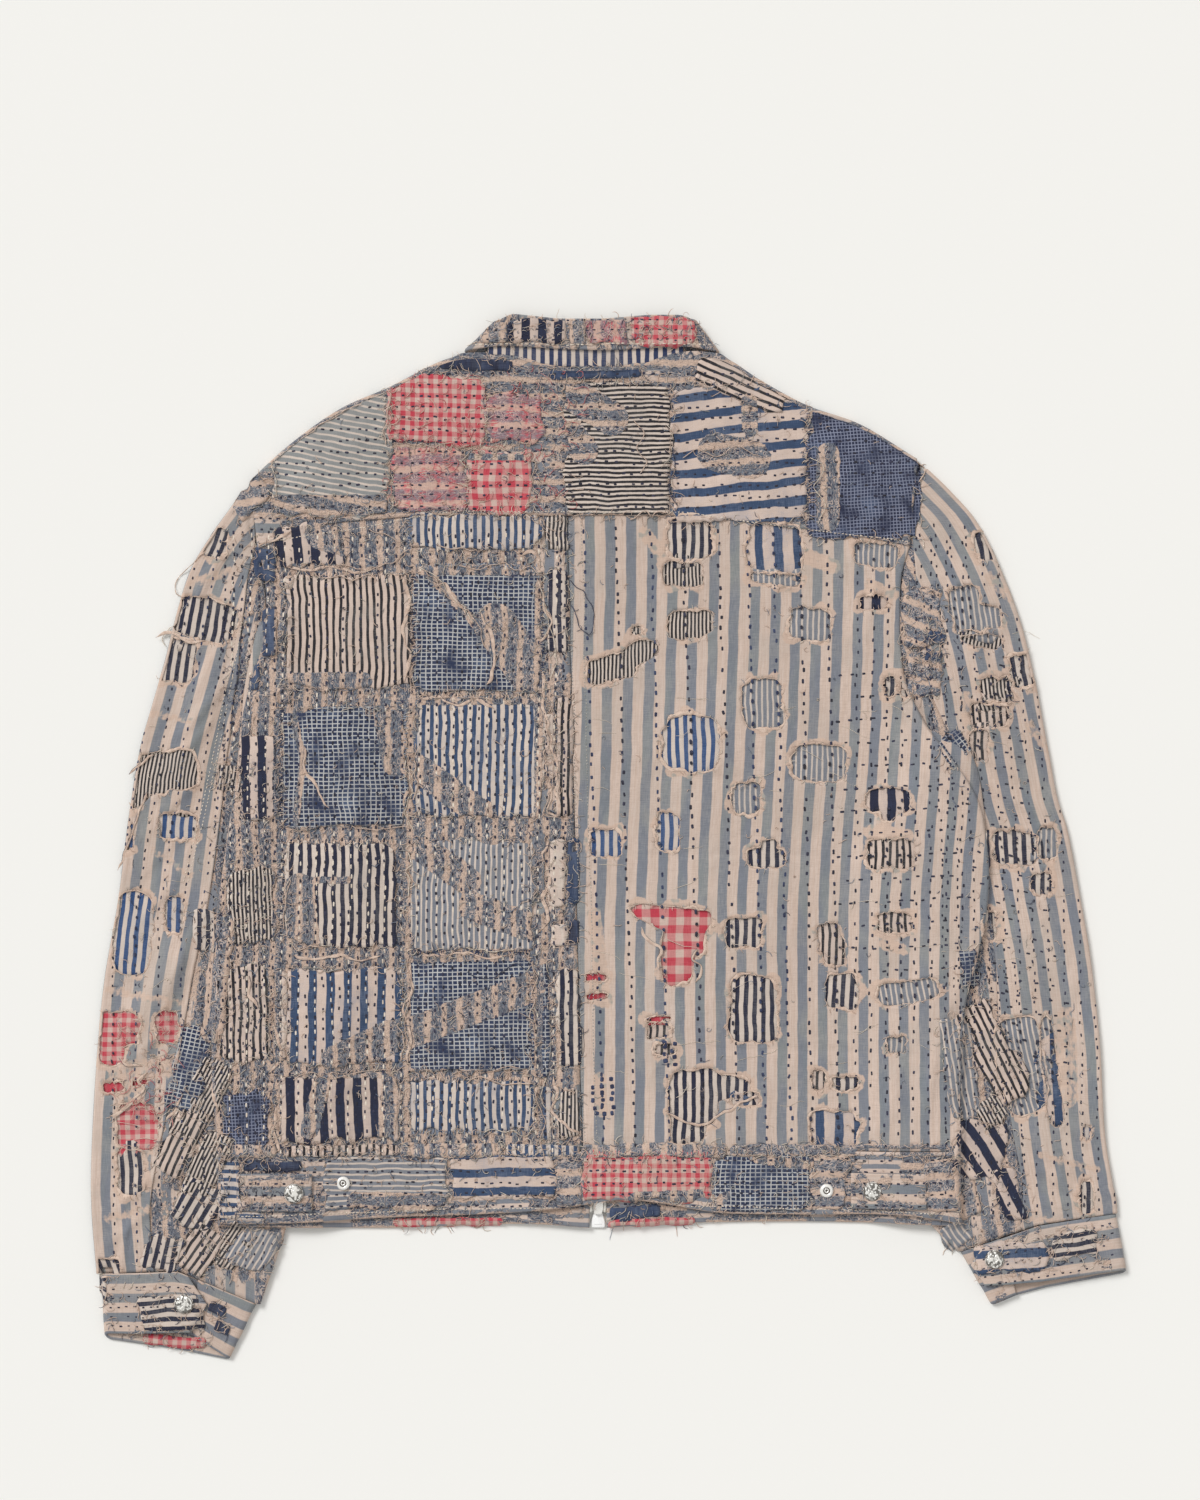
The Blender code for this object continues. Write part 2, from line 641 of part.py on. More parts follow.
def make_sleeve(side, rows, parts):
    """The outer piece folds round the sleeve's outer edge and the under piece round its inner one."""
    inward = 1 if side == "left" else -1
    room = CLOTH / 2 + FLAT_TURN
    last = len(rows) - 1
    outer, under = [], []
    places = np.linspace(0, last, SLEEVE_ROWS)
    for at in places:
        row = sleeve_row(rows, at)
        width = abs(row.inner_x - row.outer_x)
        seam = min(row.seam, 1.0)
        end = seam * width - SEAM / 2
        line = []
        for step in SLEEVE_STEPS[::-1]:
            x, y = across(row, mix(room, end, step) / width)
            line.append((x, y, sleeve_top_z(side, x, y)))
        line += half_turn(line[-1], -inward)
        for step in OUTER_LOW_STEPS:
            x, y = across(row, mix(room, end, step) / width)
            line.append((x, y, CLOTH / 2))
        outer.append(line)
    for at in places[places >= UNDER_SLEEVE_START]:
        row = sleeve_row(rows, at)
        width = abs(row.inner_x - row.outer_x)
        start = row.seam * width + SEAM / 2
        line = []
        for step in SLEEVE_STEPS:
            x, y = across(row, mix(start, width - room, step) / width)
            line.append((x, y, sleeve_top_z(side, x, y)))
        line += half_turn(line[-1], inward)
        for step in UNDER_LOW_STEPS:
            x, y = across(row, mix(width - room, start, step) / width)
            line.append((x, y, CLOTH / 2))
        under.append(line)
    sheet(f"sleeve_{side}_outer", outer, CLOTH, "striped_cotton", parts)
    sheet(f"sleeve_{side}_under", under, CLOTH, "patchwork_cotton", parts)


def half_turn(start, direction):
    """The half turn of a flat fold, from the end of the upper wall down to the lower one."""
    x, y, z = start
    radius = (z - CLOTH / 2) / 2
    centre = CLOTH / 2 + radius
    places = []
    for angle in FULL_TURN[1:]:
        reach = FLAT_TURN * math.sin(angle)
        places.append((x + direction * reach, y, centre + radius * math.cos(angle)))
    return places


def strip(name, lines, wall, slot, parts, levels=(0.0, 0.5, 1.0)):
    """A band through lines that each run from a lower point to an upper one, with a bow in x."""
    points = []
    for share in levels:
        bulge = 1 - abs(2 * share - 1)
        row = []
        for low, high, bow in lines:
            x, y, z = (mix(a, b, share) for a, b in zip(low, high, strict=True))
            row.append((x + bow * bulge, y, z))
        points.append(row)
    return sheet(name, points, wall, slot, parts)


def turn_lines(start, end, direction):
    """The lines of a fold between two lines of a strip that lie above each other."""
    low_a, high_a, _ = start
    low_b, high_b, _ = end
    radius = abs(low_a[2] - low_b[2]) / 2
    lines = []
    for angle in FULL_TURN[1:-1]:
        share = (1 - math.cos(angle)) / 2
        reach = direction * radius * math.sin(angle)
        low = [mix(a, b, share) for a, b in zip(low_a, low_b, strict=True)]
        high = [mix(a, b, share) for a, b in zip(high_a, high_b, strict=True)]
        lines.append(((low[0] + reach, *low[1:]), (high[0] + reach, *high[1:]), 0.0))
    return lines


def make_cuff(side, sleeve, table, parts):
    """The cuff's band, folded flat, with its snapped end over its other end."""
    last = sleeve[-1]
    outward = -1 if side == "left" else 1
    runs = {}
    for name, rows in table.items():
        run = []
        for row in rows:
            x, y = across(last, row.along)
            run.append(((row.lower_x, row.lower_y, row.z), (x, y - CUFF_GAP, row.z), row.bow))
        runs[name] = run
    lines = list(runs["over"])
    lines += turn_lines(runs["over"][-1], runs["under"][0], outward)
    lines += runs["under"]
    lines += turn_lines(runs["under"][-1], runs["lap"][0], -outward)
    lines += runs["lap"]
    strip(f"cuff_{side}", lines, CUFF_BAND, "striped_cotton", parts)


def make_collar(parts):
    """The fall wraps round the neck to the zip, over a stand that rises from the yoke."""

    def lines(rows, z):
        return [((r.lower_x, r.lower_y, z), (r.upper_x, r.upper_y, z), 0.0) for r in rows]

    left = lines(COLLAR_FRONT_LEFT[::-1], FALL_FRONT_Z)
    back = lines(COLLAR_BACK, FALL_Z)
    right = lines(COLLAR_FRONT_RIGHT, FALL_FRONT_Z)
    whole = left + turn_lines(left[-1], back[0], -1) + back
    whole += turn_lines(back[-1], right[0], 1) + right
    strip("collar_fall", whole, CUFF_BAND, "gingham", parts)
    stand = []
    for x in STAND_XS:
        low = on_edge(SHOULDERS_AND_NECK, x) + STAND_GAP
        high = min(low + STAND_REACH, STAND_TOP)
        stand.append(((x, low, STAND_Z), (x, high, STAND_Z), 0.0))
    strip("collar_stand", stand, CLOTH, "blue_stripe", parts)


def make_tabs(parts):
    """Adjuster tabs on the waistband's ends."""
    for tab in TABS:
        ends = sorted((tab.x0, tab.x1))
        xs = [ends[0], *[x for x in BAND_XS if ends[0] < x < ends[1]], ends[1]]
        points = []
        for share in BAND_LEVELS:
            y = mix(tab.low, tab.high, share)
            points.append([(x, y, band_top(x) + TAB_SEAT + BAND / 2) for x in xs])
        sheet(tab.name, points, BAND, "striped_cotton", parts)


def band_top(x):
    """The top of the waistband's wall, along its own facets."""
    lines = [body_edge("left", WAIST_Y), *BAND_XS, body_edge("right", WAIST_Y)]
    mid_y = (WAIST_Y + BACK_BAND_LOW[0].y) / 2
    heights = [max(rise(line, y) for y in (WAIST_Y, mid_y, BACK_BAND_LOW[0].y)) for line in lines]
    return float(np.interp(x, lines, heights)) + BAND * 2 + BAND_GAP


def turned(name, profile, place, tilt, parts):
    """A round piece from its profile of (radius, height) places, turned about its own axis."""
    mesh = bpy.data.meshes.new(name)
    points = [(r * MM, 0.0, z * MM) for r, z in profile]
    mesh.from_pydata(points, [(i, i + 1) for i in range(len(points) - 1)], [])
    piece = to_object(name, mesh, "nickel", parts)
    piece.location = Vector(place) * MM
    piece.rotation_euler = (0.0, tilt, 0.0)
    lathe = piece.modifiers.new("Turn", "SCREW")
    lathe.steps = SNAP_FACETS
    lathe.render_steps = SNAP_FACETS
    lathe.use_merge_vertices = True
    lathe.merge_threshold = 0.0001
    lathe.use_smooth_shade = True
    return piece


def cap_profile():
    """A domed cap with a rounded rim: an arc of its height over its radius."""
    places = []
    for angle in (0, 18, 36, 54, 72, 84):
        a = math.radians(angle)
        places.append((SNAP_RADIUS * math.sin(a), mix(SNAP_RIM, SNAP_HEIGHT, math.cos(a))))
    return places + [(SNAP_RADIUS, SNAP_RIM - 0.1), (SNAP_RADIUS - SNAP_RIM / 2, 0.0), (0.0, 0.0)]


def stud_profile():
    """A ring round a sunk middle."""
    rim = STUD_RADIUS
    top = STUD_HEIGHT
    return [
        (0.0, STUD_FLOOR),
        (rim * 0.42, STUD_FLOOR),
        (rim * 0.50, top),
        (rim * 0.80, top),
        (rim, top * 0.55),
        (rim, 0.0),
        (0.0, 0.0),
    ]


def seat(snap, radius):
    """The slope and the height of the waistband under a round piece."""
    left, right = band_top(snap.x - radius), band_top(snap.x + radius)
    top = max((left + right) / 2, band_top(snap.x))
    return math.atan2(left - right, 2 * radius), top


def make_snaps(parts):
    for snap in TAB_SNAPS:
        tilt, top = seat(snap, SNAP_RADIUS)
        place = (snap.x, snap.y, top + TAB_SEAT + BAND + SNAP_SEAT)
        turned(snap.name, cap_profile(), place, tilt, parts)
    for snap in CUFF_SNAPS:
        top = LEFT_CUFF["over"][0].z + CUFF_BAND / 2
        turned(snap.name, cap_profile(), (snap.x, snap.y, top + SEAM), 0.0, parts)
    for stud in STUDS:
        tilt, top = seat(stud, STUD_RADIUS)
        turned(stud.name, stud_profile(), (stud.x, stud.y, top + SNAP_SEAT), tilt, parts)


def make_zip(parts):
    """Tapes, the closed chain, and the slider at the hem with its pull."""
    low = SLIDER_Y + SLIDER_LENGTH / 2 + SEAM
    ys = [low, *CHAIN_YS]

    def lane(x0, x1, bottom):
        rows = []
        for y in [bottom, *ys] if bottom < low else ys:
            rows.append([(x, y, rise(ZIP_X, y) + ZIP_MIDDLE) for x in (x0, x1)])
        return rows

    chain = lane(ZIP_X - CHAIN_HALF, ZIP_X + CHAIN_HALF, low)
    sheet("zip_chain", chain, CHAIN_THICK, "nickel", parts)
    tape_end = on_edge(FRONT_BAND_LOW, ZIP_X) + TAPE_END
    for side, outward in (("left", -1), ("right", 1)):
        places = sorted((ZIP_X + outward * (SLIDER_WIDTH / 2 + SEAM), ZIP_X + outward * TAPE_HALF))
        tape = lane(*places, tape_end)
        sheet(f"zip_tape_{side}", tape, TRIM, "zip_tape", parts)
    make_slider(parts)
    make_pull(parts)


def block(name, half_width, half_length, low, high, parts):
    """A box about the slider's middle, half_width to each side of it and half_length each way."""
    mesh = bpy.data.meshes.new(name)
    shape = bmesh.new()
    size = Vector((2 * half_width, 2 * half_length, high - low)) * MM
    middle = Vector((ZIP_X, SLIDER_Y, (low + high) / 2)) * MM
    matrix = Matrix.Translation(middle) @ Matrix.Diagonal((*size, 1.0))
    bmesh.ops.create_cube(shape, size=1.0, matrix=matrix)
    shape.to_mesh(mesh)
    shape.free()
    return to_object(name, mesh, "nickel", parts)


def make_slider(parts):
    """The slider's body, with a crown under it that is cut through for the pull's bar."""
    top = SLIDER_FLOOR + SLIDER_THICK
    body = block("zip_slider", SLIDER_WIDTH / 2, SLIDER_LENGTH / 2, SLIDER_FLOOR, top, parts)
    cutters = bpy.data.collections["slider_cutters"]
    half_crown = CROWN_LENGTH / 2 + CROWN_THICK
    crown_top = SLIDER_FLOOR + CROWN_ROOT
    crown = block("slider_crown", CROWN_WIDTH / 2, half_crown, CROWN_LOW, crown_top, cutters)
    eye_low = CROWN_LOW + CROWN_THICK
    eye = block("slider_eye", CROWN_WIDTH, CROWN_LENGTH / 2, eye_low, SLIDER_FLOOR, cutters)
    for operation, helper in (("UNION", crown), ("DIFFERENCE", eye)):
        helper.hide_render = True
        helper.display_type = "WIRE"
        step = body.modifiers.new(helper.name, "BOOLEAN")
        step.operation = operation
        step.object = helper


def pull_outline():
    """The pull's bell shape, from the right end of its bar round its tip to the left end."""
    bar = PULL_THICK / 2
    tip = bar - PULL_REACH
    right = []
    for share in np.linspace(0, 1, 7):
        half = mix(PULL_NECK, PULL_HALF, smooth(share * 1.25 - 0.2))
        right.append((half, mix(bar, tip, share * PULL_FLARE)))
    right += [(PULL_HALF, tip + PULL_CORNER), (PULL_HALF - PULL_CORNER, tip)]
    return right + [(-x, y) for x, y in right[::-1]]


def make_pull(parts):
    """A bell-shaped tab that hangs from a bar through the crown; its origin is on the bar's axis."""
    curve = bpy.data.curves.new("zip_pull", "CURVE")
    curve.dimensions = "2D"
    curve.fill_mode = "BOTH"
    curve.extrude = PULL_THICK / 2 * MM
    near = -PULL_THICK / 2
    far = near - PULL_WINDOW_LENGTH
    half = PULL_WINDOW_HALF
    window = [(half, near), (half, far), (-half, far), (-half, near)]
    for places in (pull_outline(), window):
        spline = curve.splines.new("POLY")
        spline.points.add(len(places) - 1)
        spline.use_cyclic_u = True
        for point, (x, y) in zip(spline.points, places, strict=True):
            point.co = (x * MM, y * MM, 0.0, 1.0)
    flat = bpy.data.objects.new("zip_pull_outline", curve)
    bpy.context.scene.collection.objects.link(flat)
    bpy.context.view_layer.update()
    mesh = bpy.data.meshes.new_from_object(flat.evaluated_get(bpy.context.evaluated_depsgraph_get()))
    bpy.data.objects.remove(flat)
    shape = bmesh.new()
    shape.from_mesh(mesh)
    bmesh.ops.remove_doubles(shape, verts=shape.verts, dist=0.01 * MM)
    shape.to_mesh(mesh)
    shape.free()
    mesh.materials.clear()
    pull = to_object("zip_pull", mesh, "nickel", parts)
    pull.location = Vector((ZIP_X, SLIDER_Y, PULL_AXIS_Z)) * MM


def main():
    for old in list(bpy.data.objects):
        bpy.data.objects.remove(old)
    parts = bpy.data.collections.new("patched_boro_jacket")
    cutters = bpy.data.collections.new("slider_cutters")
    for collection in (parts, cutters):
        bpy.context.scene.collection.children.link(collection)
    make_back(parts)
    make_front("left", FRONT_LEFT_XS[::-1], parts)
    make_front("right", FRONT_RIGHT_XS, parts)
    make_waistband(parts)
    make_sleeve("left", LEFT_SLEEVE, parts)
    make_sleeve("right", RIGHT_SLEEVE, parts)
    make_cuff("left", LEFT_SLEEVE, LEFT_CUFF, parts)
    make_cuff("right", RIGHT_SLEEVE, RIGHT_CUFF, parts)
    make_collar(parts)
    make_tabs(parts)
    make_snaps(parts)
    make_zip(parts)


main()
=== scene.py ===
"""Looks of the patched boro jacket: thin cloth shells, patches, holes, running stitches and frayed threads.

Sizes are in millimetres in the frame of the CAD model, and MM turns them into metres. The jacket lies on its
front: +X runs to the right of the picture, +Y to the collar, +Z up. The tables of seams and edges repeat the
CAD part's own. Each cloth carries a UV map named "cut": u across its stripes and v along them, as it was cut.
"""

import math
from collections import namedtuple

import bmesh
import bpy
import numpy as np
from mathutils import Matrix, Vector
from mathutils.bvhtree import BVHTree


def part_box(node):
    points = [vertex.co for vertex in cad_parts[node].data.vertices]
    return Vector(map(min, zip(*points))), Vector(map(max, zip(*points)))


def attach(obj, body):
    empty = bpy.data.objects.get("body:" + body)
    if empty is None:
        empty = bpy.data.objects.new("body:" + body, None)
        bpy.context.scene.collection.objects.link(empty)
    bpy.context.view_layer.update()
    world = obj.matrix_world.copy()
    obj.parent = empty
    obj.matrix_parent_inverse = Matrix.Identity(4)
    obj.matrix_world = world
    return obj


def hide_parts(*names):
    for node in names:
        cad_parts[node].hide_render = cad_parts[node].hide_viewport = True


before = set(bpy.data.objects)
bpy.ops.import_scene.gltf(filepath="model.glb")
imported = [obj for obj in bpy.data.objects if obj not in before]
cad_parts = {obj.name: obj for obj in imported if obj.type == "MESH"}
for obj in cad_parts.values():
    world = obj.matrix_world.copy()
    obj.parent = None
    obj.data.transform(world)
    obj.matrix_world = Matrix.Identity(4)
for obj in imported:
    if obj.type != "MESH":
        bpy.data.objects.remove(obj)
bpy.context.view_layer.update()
MM = 0.001
WALL = 0.9  # thickness of one layer of cloth
PATCH_WALL = 0.5
REPEAT = 16.0  # the repeat of the main cloth's stripes


def table(kind, *rows):
    """Rows that have the columns of their kind."""
    return tuple(kind(*row) for row in rows)


# ---------------------------------------------------------------- tables of the body, as in the CAD part
BodyRow = namedtuple("BodyRow", "y left right centre")
BODY_ROWS = table(
    BodyRow,
    (-304, -309, 278, -21), (-247, -309, 277, -21), (-190, -313, 277, -23), (-128, -313, 281, -24),
    (-93, -312, 290, -25), (-49, -308, 298, -26), (-2, -301, 297, -27), (30, -296, 290, -28),
    (60, -293, 272, -29), (91, -290, 249, -30), (124, -282, 233, -30), (144, -275, 230, -31),
    (176, -271, 229, -31), (207, -273, 231, -32), (229, -278, 237, -33),
)
EdgePoint = namedtuple("EdgePoint", "x y")
YOKE_SEAM = table(
    EdgePoint,
    (-284, 227), (-278, 229), (-245, 243), (-173, 253), (-35, 255), (49, 255), (150, 245), (237, 231),
    (246, 229),
)
SHOULDERS_AND_NECK = table(
    EdgePoint,
    (-284, 281), (-275, 290), (-245, 316), (-213, 338), (-177, 354), (-119, 380), (-85, 380), (-45, 372),
    (-8, 371), (24, 373), (62, 382), (90, 379), (119, 361), (154, 342), (198, 326), (241, 300), (246, 297),
)
NECK = (-119, 90)
FRONT_NECK = table(
    EdgePoint,
    (-119, 379), (-100, 372), (-60, 356), (-9, 344), (42, 356), (72, 371), (90, 378),
)
BACK_BAND_LOW = table(
    EdgePoint,
    (-309, -304), (-245, -303), (-166, -299), (-87, -296), (-39, -292), (-12, -288), (8, -285), (40, -288),
    (81, -295), (150, -297), (249, -299), (278, -304),
)
FRONT_BAND_LOW = table(
    EdgePoint,
    (-309, -306), (-166, -308), (-55, -305), (-9, -308), (40, -305), (150, -303), (278, -306),
)
SleeveRow = namedtuple("SleeveRow", "outer_x outer_y inner_x inner_y seam bow", defaults=(0,))
LEFT_SLEEVE = table(
    SleeveRow,
    (-290, 275, -282, 268, 1.0), (-298, 263, -284, 255, 1.0), (-312, 243, -282, 235, 0.96),
    (-331, 211, -277, 211, 0.8), (-343, 172, -274, 180, 0.74), (-351, 140, -276, 144, 0.74),
    (-361, 105, -245, 109, 0.54), (-371, 69, -209, 69, 0.42), (-380, 14, -215, 14, 0.43),
    (-388, -49, -222, -49, 0.42), (-399, -113, -230, -113, 0.4), (-405, -176, -238, -176, 0.375),
    (-409, -247, -247, -247, 0.32), (-409, -294, -254, -304, 0.29), (-405, -344, -275, -369, 0.34, 15),
)
RIGHT_SLEEVE = table(
    SleeveRow,
    (251, 292, 245, 287, 1.0), (269, 274, 242, 269, 1.0), (289, 251, 240, 244, 0.95),
    (306, 219, 235, 214, 0.86), (324, 172, 231, 172, 0.82), (336, 124, 235, 124, 0.8),
    (342, 93, 251, 91, 0.82), (348, 61, 273, 60, 0.84), (354, 30, 253, 28, 0.72), (362, 4, 241, -2, 0.61),
    (372, -49, 233, -49, 0.53), (380, -97, 232, -97, 0.5), (387, -160, 233, -160, 0.5),
    (391, -231, 239, -231, 0.47), (397, -271, 244, -271, 0.455), (400, -284, 249, -300, 0.48),
    (401, -296, 275, -327, 0.58, 6),
)
SLEEVES = {"left": LEFT_SLEEVE, "right": RIGHT_SLEEVE}
OUTWARD = {"left": -1, "right": 1}
ARMHOLE_ROWS = {"left": 5, "right": 7}  # the rows above the underarm, that end at the armhole's seam
UNDERARM = {"left": 142, "right": 66}
CuffRow = namedtuple("CuffRow", "along lower_x lower_y z bow", defaults=(0,))
CUFFS = {
    "left": {
        "over": table(
            CuffRow,
            (0.56, -330, -390, 7.9, 14), (0.50, -340, -390, 7.9), (0.26, -371, -391, 6.6),
            (0.05, -397, -391, 5.2),
        ),
        "under": table(
            CuffRow,
            (0.05, -395, -396, 1.3), (0.26, -368, -400, 1.3), (0.50, -341, -404, 1.3),
            (0.96, -301, -412, 1.3),
        ),
        "lap": table(CuffRow, (0.96, -302, -410, 4.7), (0.80, -316, -401, 4.7), (0.62, -331, -391, 4.7)),
    },
    "right": {
        "over": table(
            CuffRow,
            (0.84, 296, -353, 7.9, -11), (0.68, 316, -352, 7.9), (0.50, 339, -350, 6.9),
            (0.03, 406, -341, 5.2),
        ),
        "under": table(
            CuffRow,
            (0.03, 405, -344, 1.3), (0.50, 345, -355, 1.3), (0.70, 322, -361, 1.3), (0.97, 303, -369, 1.3),
        ),
        "lap": table(CuffRow, (0.97, 304, -367, 4.7), (0.86, 311, -364, 4.7), (0.74, 321, -360, 4.7)),
    },
}
CollarRow = namedtuple("CollarRow", "lower_x lower_y upper_x upper_y")
COLLAR_BACK = table(
    CollarRow,
    (-113, 384, -89, 407), (-83, 388, -77, 413), (-40, 385, -41, 409), (0, 384, -4, 409),
    (35, 386, 30, 412), (62, 387, 57, 412), (85, 383, 66, 408),
)
COLLAR_FRONT_LEFT = table(
    CollarRow,
    (-112, 382, -88, 405), (-60, 360, -52, 386), (-15.5, 348, -15.5, 373),
)
COLLAR_FRONT_RIGHT = table(
    CollarRow,
    (84, 381, 65, 406), (42, 361, 35, 386), (-2.5, 348, -2.5, 373),
)
Fold = namedtuple("Fold", "x0 y0 x1 y1 half_width height bend", defaults=(0,))
BODY_FOLDS = table(
    Fold,
    (-150, 350, -262, 262, 30, 2.5), (110, 345, 215, 262, 30, 2.5), (238, 150, 282, 20, 24, 4.5),
    (-262, 120, -290, -60, 24, 3.0), (245, -60, 262, -200, 26, 3.0), (-50, 190, -60, -150, 30, 2.0),
    (90, 140, 60, -120, 34, 2.0),
)
SLEEVE_FOLDS = table(
    Fold,
    (-300, 190, -345, 20, 24, 4.0), (-325, -60, -385, -180, 24, 4.0), (-330, -240, -385, -300, 24, 4.0),
    (262, 190, 330, 60, 24, 4.5), (305, -60, 355, -170, 24, 4.0), (310, -220, 370, -270, 22, 4.0),
)
# Creases of the cloth on top of the folds: ridges, and troughs where the height is below nothing
BODY_CREASES = table(
    Fold,
    (270, 68, 236, 205, 7, 3.2, 8), (262, 74, 222, 190, 6, -1.8, 5), (255, 70, 205, 165, 7, 2.4, 4),
    (276, 44, 214, 132, 6, -1.5, -5), (280, 30, 205, 96, 8, 1.9, -6), (284, 5, 226, 52, 7, 1.5),
    (-284, 128, -246, 190, 7, 2.2, 4), (-286, 110, -228, 130, 6, 1.6), (-292, 70, -262, -10, 6, 1.9, -3),
    (-268, 10, -262, -96, 5, -1.2, 3), (-302, -40, -270, -150, 7, 2.0, 4),
    (-306, -168, -255, -190, 6, 1.6, -3), (-300, -196, -286, -246, 5, 1.4, 2),
    (288, -60, 262, -150, 8, 2.1, -4), (268, -120, 248, -235, 7, 1.7, 3), (215, 215, 196, 120, 7, 1.4, 3),
    (150, 235, 120, 170, 10, 1.0, 4), (-30, 52, 270, 48, 5, -0.7, 3), (-20, -14, 250, -17, 4, -0.6, -2),
    (-20, -76, 120, -74, 4, -0.6, 2), (30, -168, 262, -172, 5, -0.7, -3), (70, 246, 64, 150, 9, 0.9),
    (128, 60, 140, -60, 12, 0.9, 4), (20, 30, 30, -90, 11, 0.8, -4), (180, -30, 176, -150, 11, 1.0, 4),
    (120, -180, 124, -244, 10, 1.0), (228, -176, 222, -244, 10, 1.2, 2), (-250, 320, -200, 262, 8, 1.4, 5),
    (-205, 336, -170, 268, 9, 1.1, 4), (180, 318, 232, 262, 8, 1.5, -4), (120, 352, 150, 290, 9, 1.1, 3),
    (-100, 366, -60, 300, 10, 1.0, 4), (60, 366, 30, 290, 10, 1.0, -4),
)
SLEEVE_CREASES = table(
    Fold,
    (-286, 246, -338, 150, 8, 1.9, 8), (-280, 200, -340, 96, 7, -1.3, 6), (-282, 150, -352, 70, 8, 2.2, -4),
    (-296, 118, -366, 44, 7, 1.6, -6), (-302, 60, -374, -8, 8, 1.5, 5), (-318, 8, -384, -60, 7, -1.2, 4),
    (-330, -20, -392, -112, 8, 1.8, 6), (-326, -70, -350, -150, 7, 1.9, 5),
    (-330, -130, -400, -190, 8, 1.8, -4), (-322, -150, -340, -238, 6, 2.0, 4),
    (-320, -196, -395, -240, 7, -1.5, -5), (-316, -226, -400, -262, 7, 1.9, 5),
    (-322, -262, -350, -330, 6, 2.2, 4), (-345, -256, -392, -300, 7, 1.8, 4),
    (-352, -280, -404, -322, 7, 1.7, -4), (-310, -300, -322, -352, 5, 1.9, 3),
    (-378, -300, -384, -342, 5, 1.6, 2), (-292, -306, -300, -356, 6, 1.8, 2),
    (-364, -310, -366, -346, 5, 1.4, -2), (244, 236, 320, 150, 9, 2.2, -8),
    (238, 200, 310, 112, 8, 2.6, -6), (240, 168, 300, 84, 7, -1.9, -5), (248, 130, 320, 66, 8, 2.6, -4),
    (262, 96, 336, 40, 7, 2.0, 4), (276, 62, 348, 16, 8, 2.1, 5), (296, 28, 356, -36, 7, -1.4, 5),
    (300, -20, 372, -86, 9, 1.9, -5), (300, -78, 340, -160, 7, 2.0, -5), (320, -110, 384, -176, 8, 1.7, 5),
    (296, -130, 318, -212, 6, 2.0, -4), (330, -178, 388, -226, 8, 1.7, 4),
    (286, -186, 300, -262, 6, 2.1, -3), (322, -214, 392, -262, 7, -1.4, -5),
    (312, -240, 386, -286, 7, 2.0, 4), (290, -262, 330, -306, 6, 2.2, -3),
    (352, -256, 372, -300, 6, 1.7, 3), (276, -276, 296, -318, 5, 1.9, -2),
)


# ---------------------------------------------------------------- heights, as in the CAD part
LIFT = 6.2  # how much higher the body lies over the sleeves' inner strips
PLATEAU, RAMP = 14.0, 40.0  # how far in from a strip's edge it stays up, and comes down
RISE_START = {"left": 190.0, "right": 102.0}  # below these places the sleeves are tucked under
ZIP_X, SLIDER_Y = -9.0, -291.5
ZIP_LIFT, ZIP_REACH = 3.0, 90.0  # how high the slider holds the hem, and how far round it
ZIP_EDGE = 6.8  # from the zip's middle to the fronts' edges
BODY_TOP = 5.6  # the height of the back's top, where it isn't raised
SLEEVE_TOP = 5.6
TURN = 3.0  # how far the cloth reaches out where it turns over an edge
WAIST_Y = -247.0
YOKE_ENDS = {"left": 229.0, "right": 231.0}


def smooth(t):
    t = np.clip(t, 0.0, 1.0)
    return t * t * (3 - 2 * t)


def mix(a, b, t):
    return a + (b - a) * t


def through(xs, ys, at):
    """A smooth curve through a table's places."""
    xs, ys = np.asarray(xs, float), np.asarray(ys, float)
    slopes = np.gradient(ys, xs)
    at = np.clip(at, xs[0], xs[-1])
    k = np.clip(np.searchsorted(xs, at, side="right") - 1, 0, len(xs) - 2)
    gap = xs[k + 1] - xs[k]
    t = (at - xs[k]) / gap
    near = (2 * t**3 - 3 * t**2 + 1) * ys[k] + (t**3 - 2 * t**2 + t) * gap * slopes[k]
    return near + (3 * t**2 - 2 * t**3) * ys[k + 1] + (t**3 - t**2) * gap * slopes[k + 1]


def on_edge(points, x):
    return through([p.x for p in points], [p.y for p in points], x)


def body_edge(column, y):
    return through([r.y for r in BODY_ROWS], [getattr(r, column) for r in BODY_ROWS], y)


def tucked_edge(side, y):
    rows = SLEEVES[side][::-1]
    return np.interp(y, [r.inner_y for r in rows], [r.inner_x for r in rows])


def rise(x, y):
    """How high the body's lowest layer lies, over the sleeves' inner strips and the zip's slider."""
    left = smooth((tucked_edge("left", y) + PLATEAU + RAMP - x) / RAMP)
    left = left * smooth((RISE_START["left"] - y) / RAMP)
    right = smooth((x - tucked_edge("right", y) + PLATEAU + RAMP) / RAMP)
    right = right * smooth((RISE_START["right"] - y) / RAMP)
    slider = smooth(1.25 - np.hypot(x - ZIP_X, y - SLIDER_Y) / ZIP_REACH)
    return LIFT * np.maximum(left, right) + ZIP_LIFT * slider


def lengths(places):
    """How far along its line each place is."""
    return np.concatenate([[0], np.cumsum(np.hypot(*np.diff(places, axis=0).T))])


def cos_sin(degrees):
    return math.cos(math.radians(degrees)), math.sin(math.radians(degrees))


def units(arrows):
    """Arrows of length one, from arrows along the last axis."""
    return arrows / (np.linalg.norm(arrows, axis=-1, keepdims=True) + 1e-9)


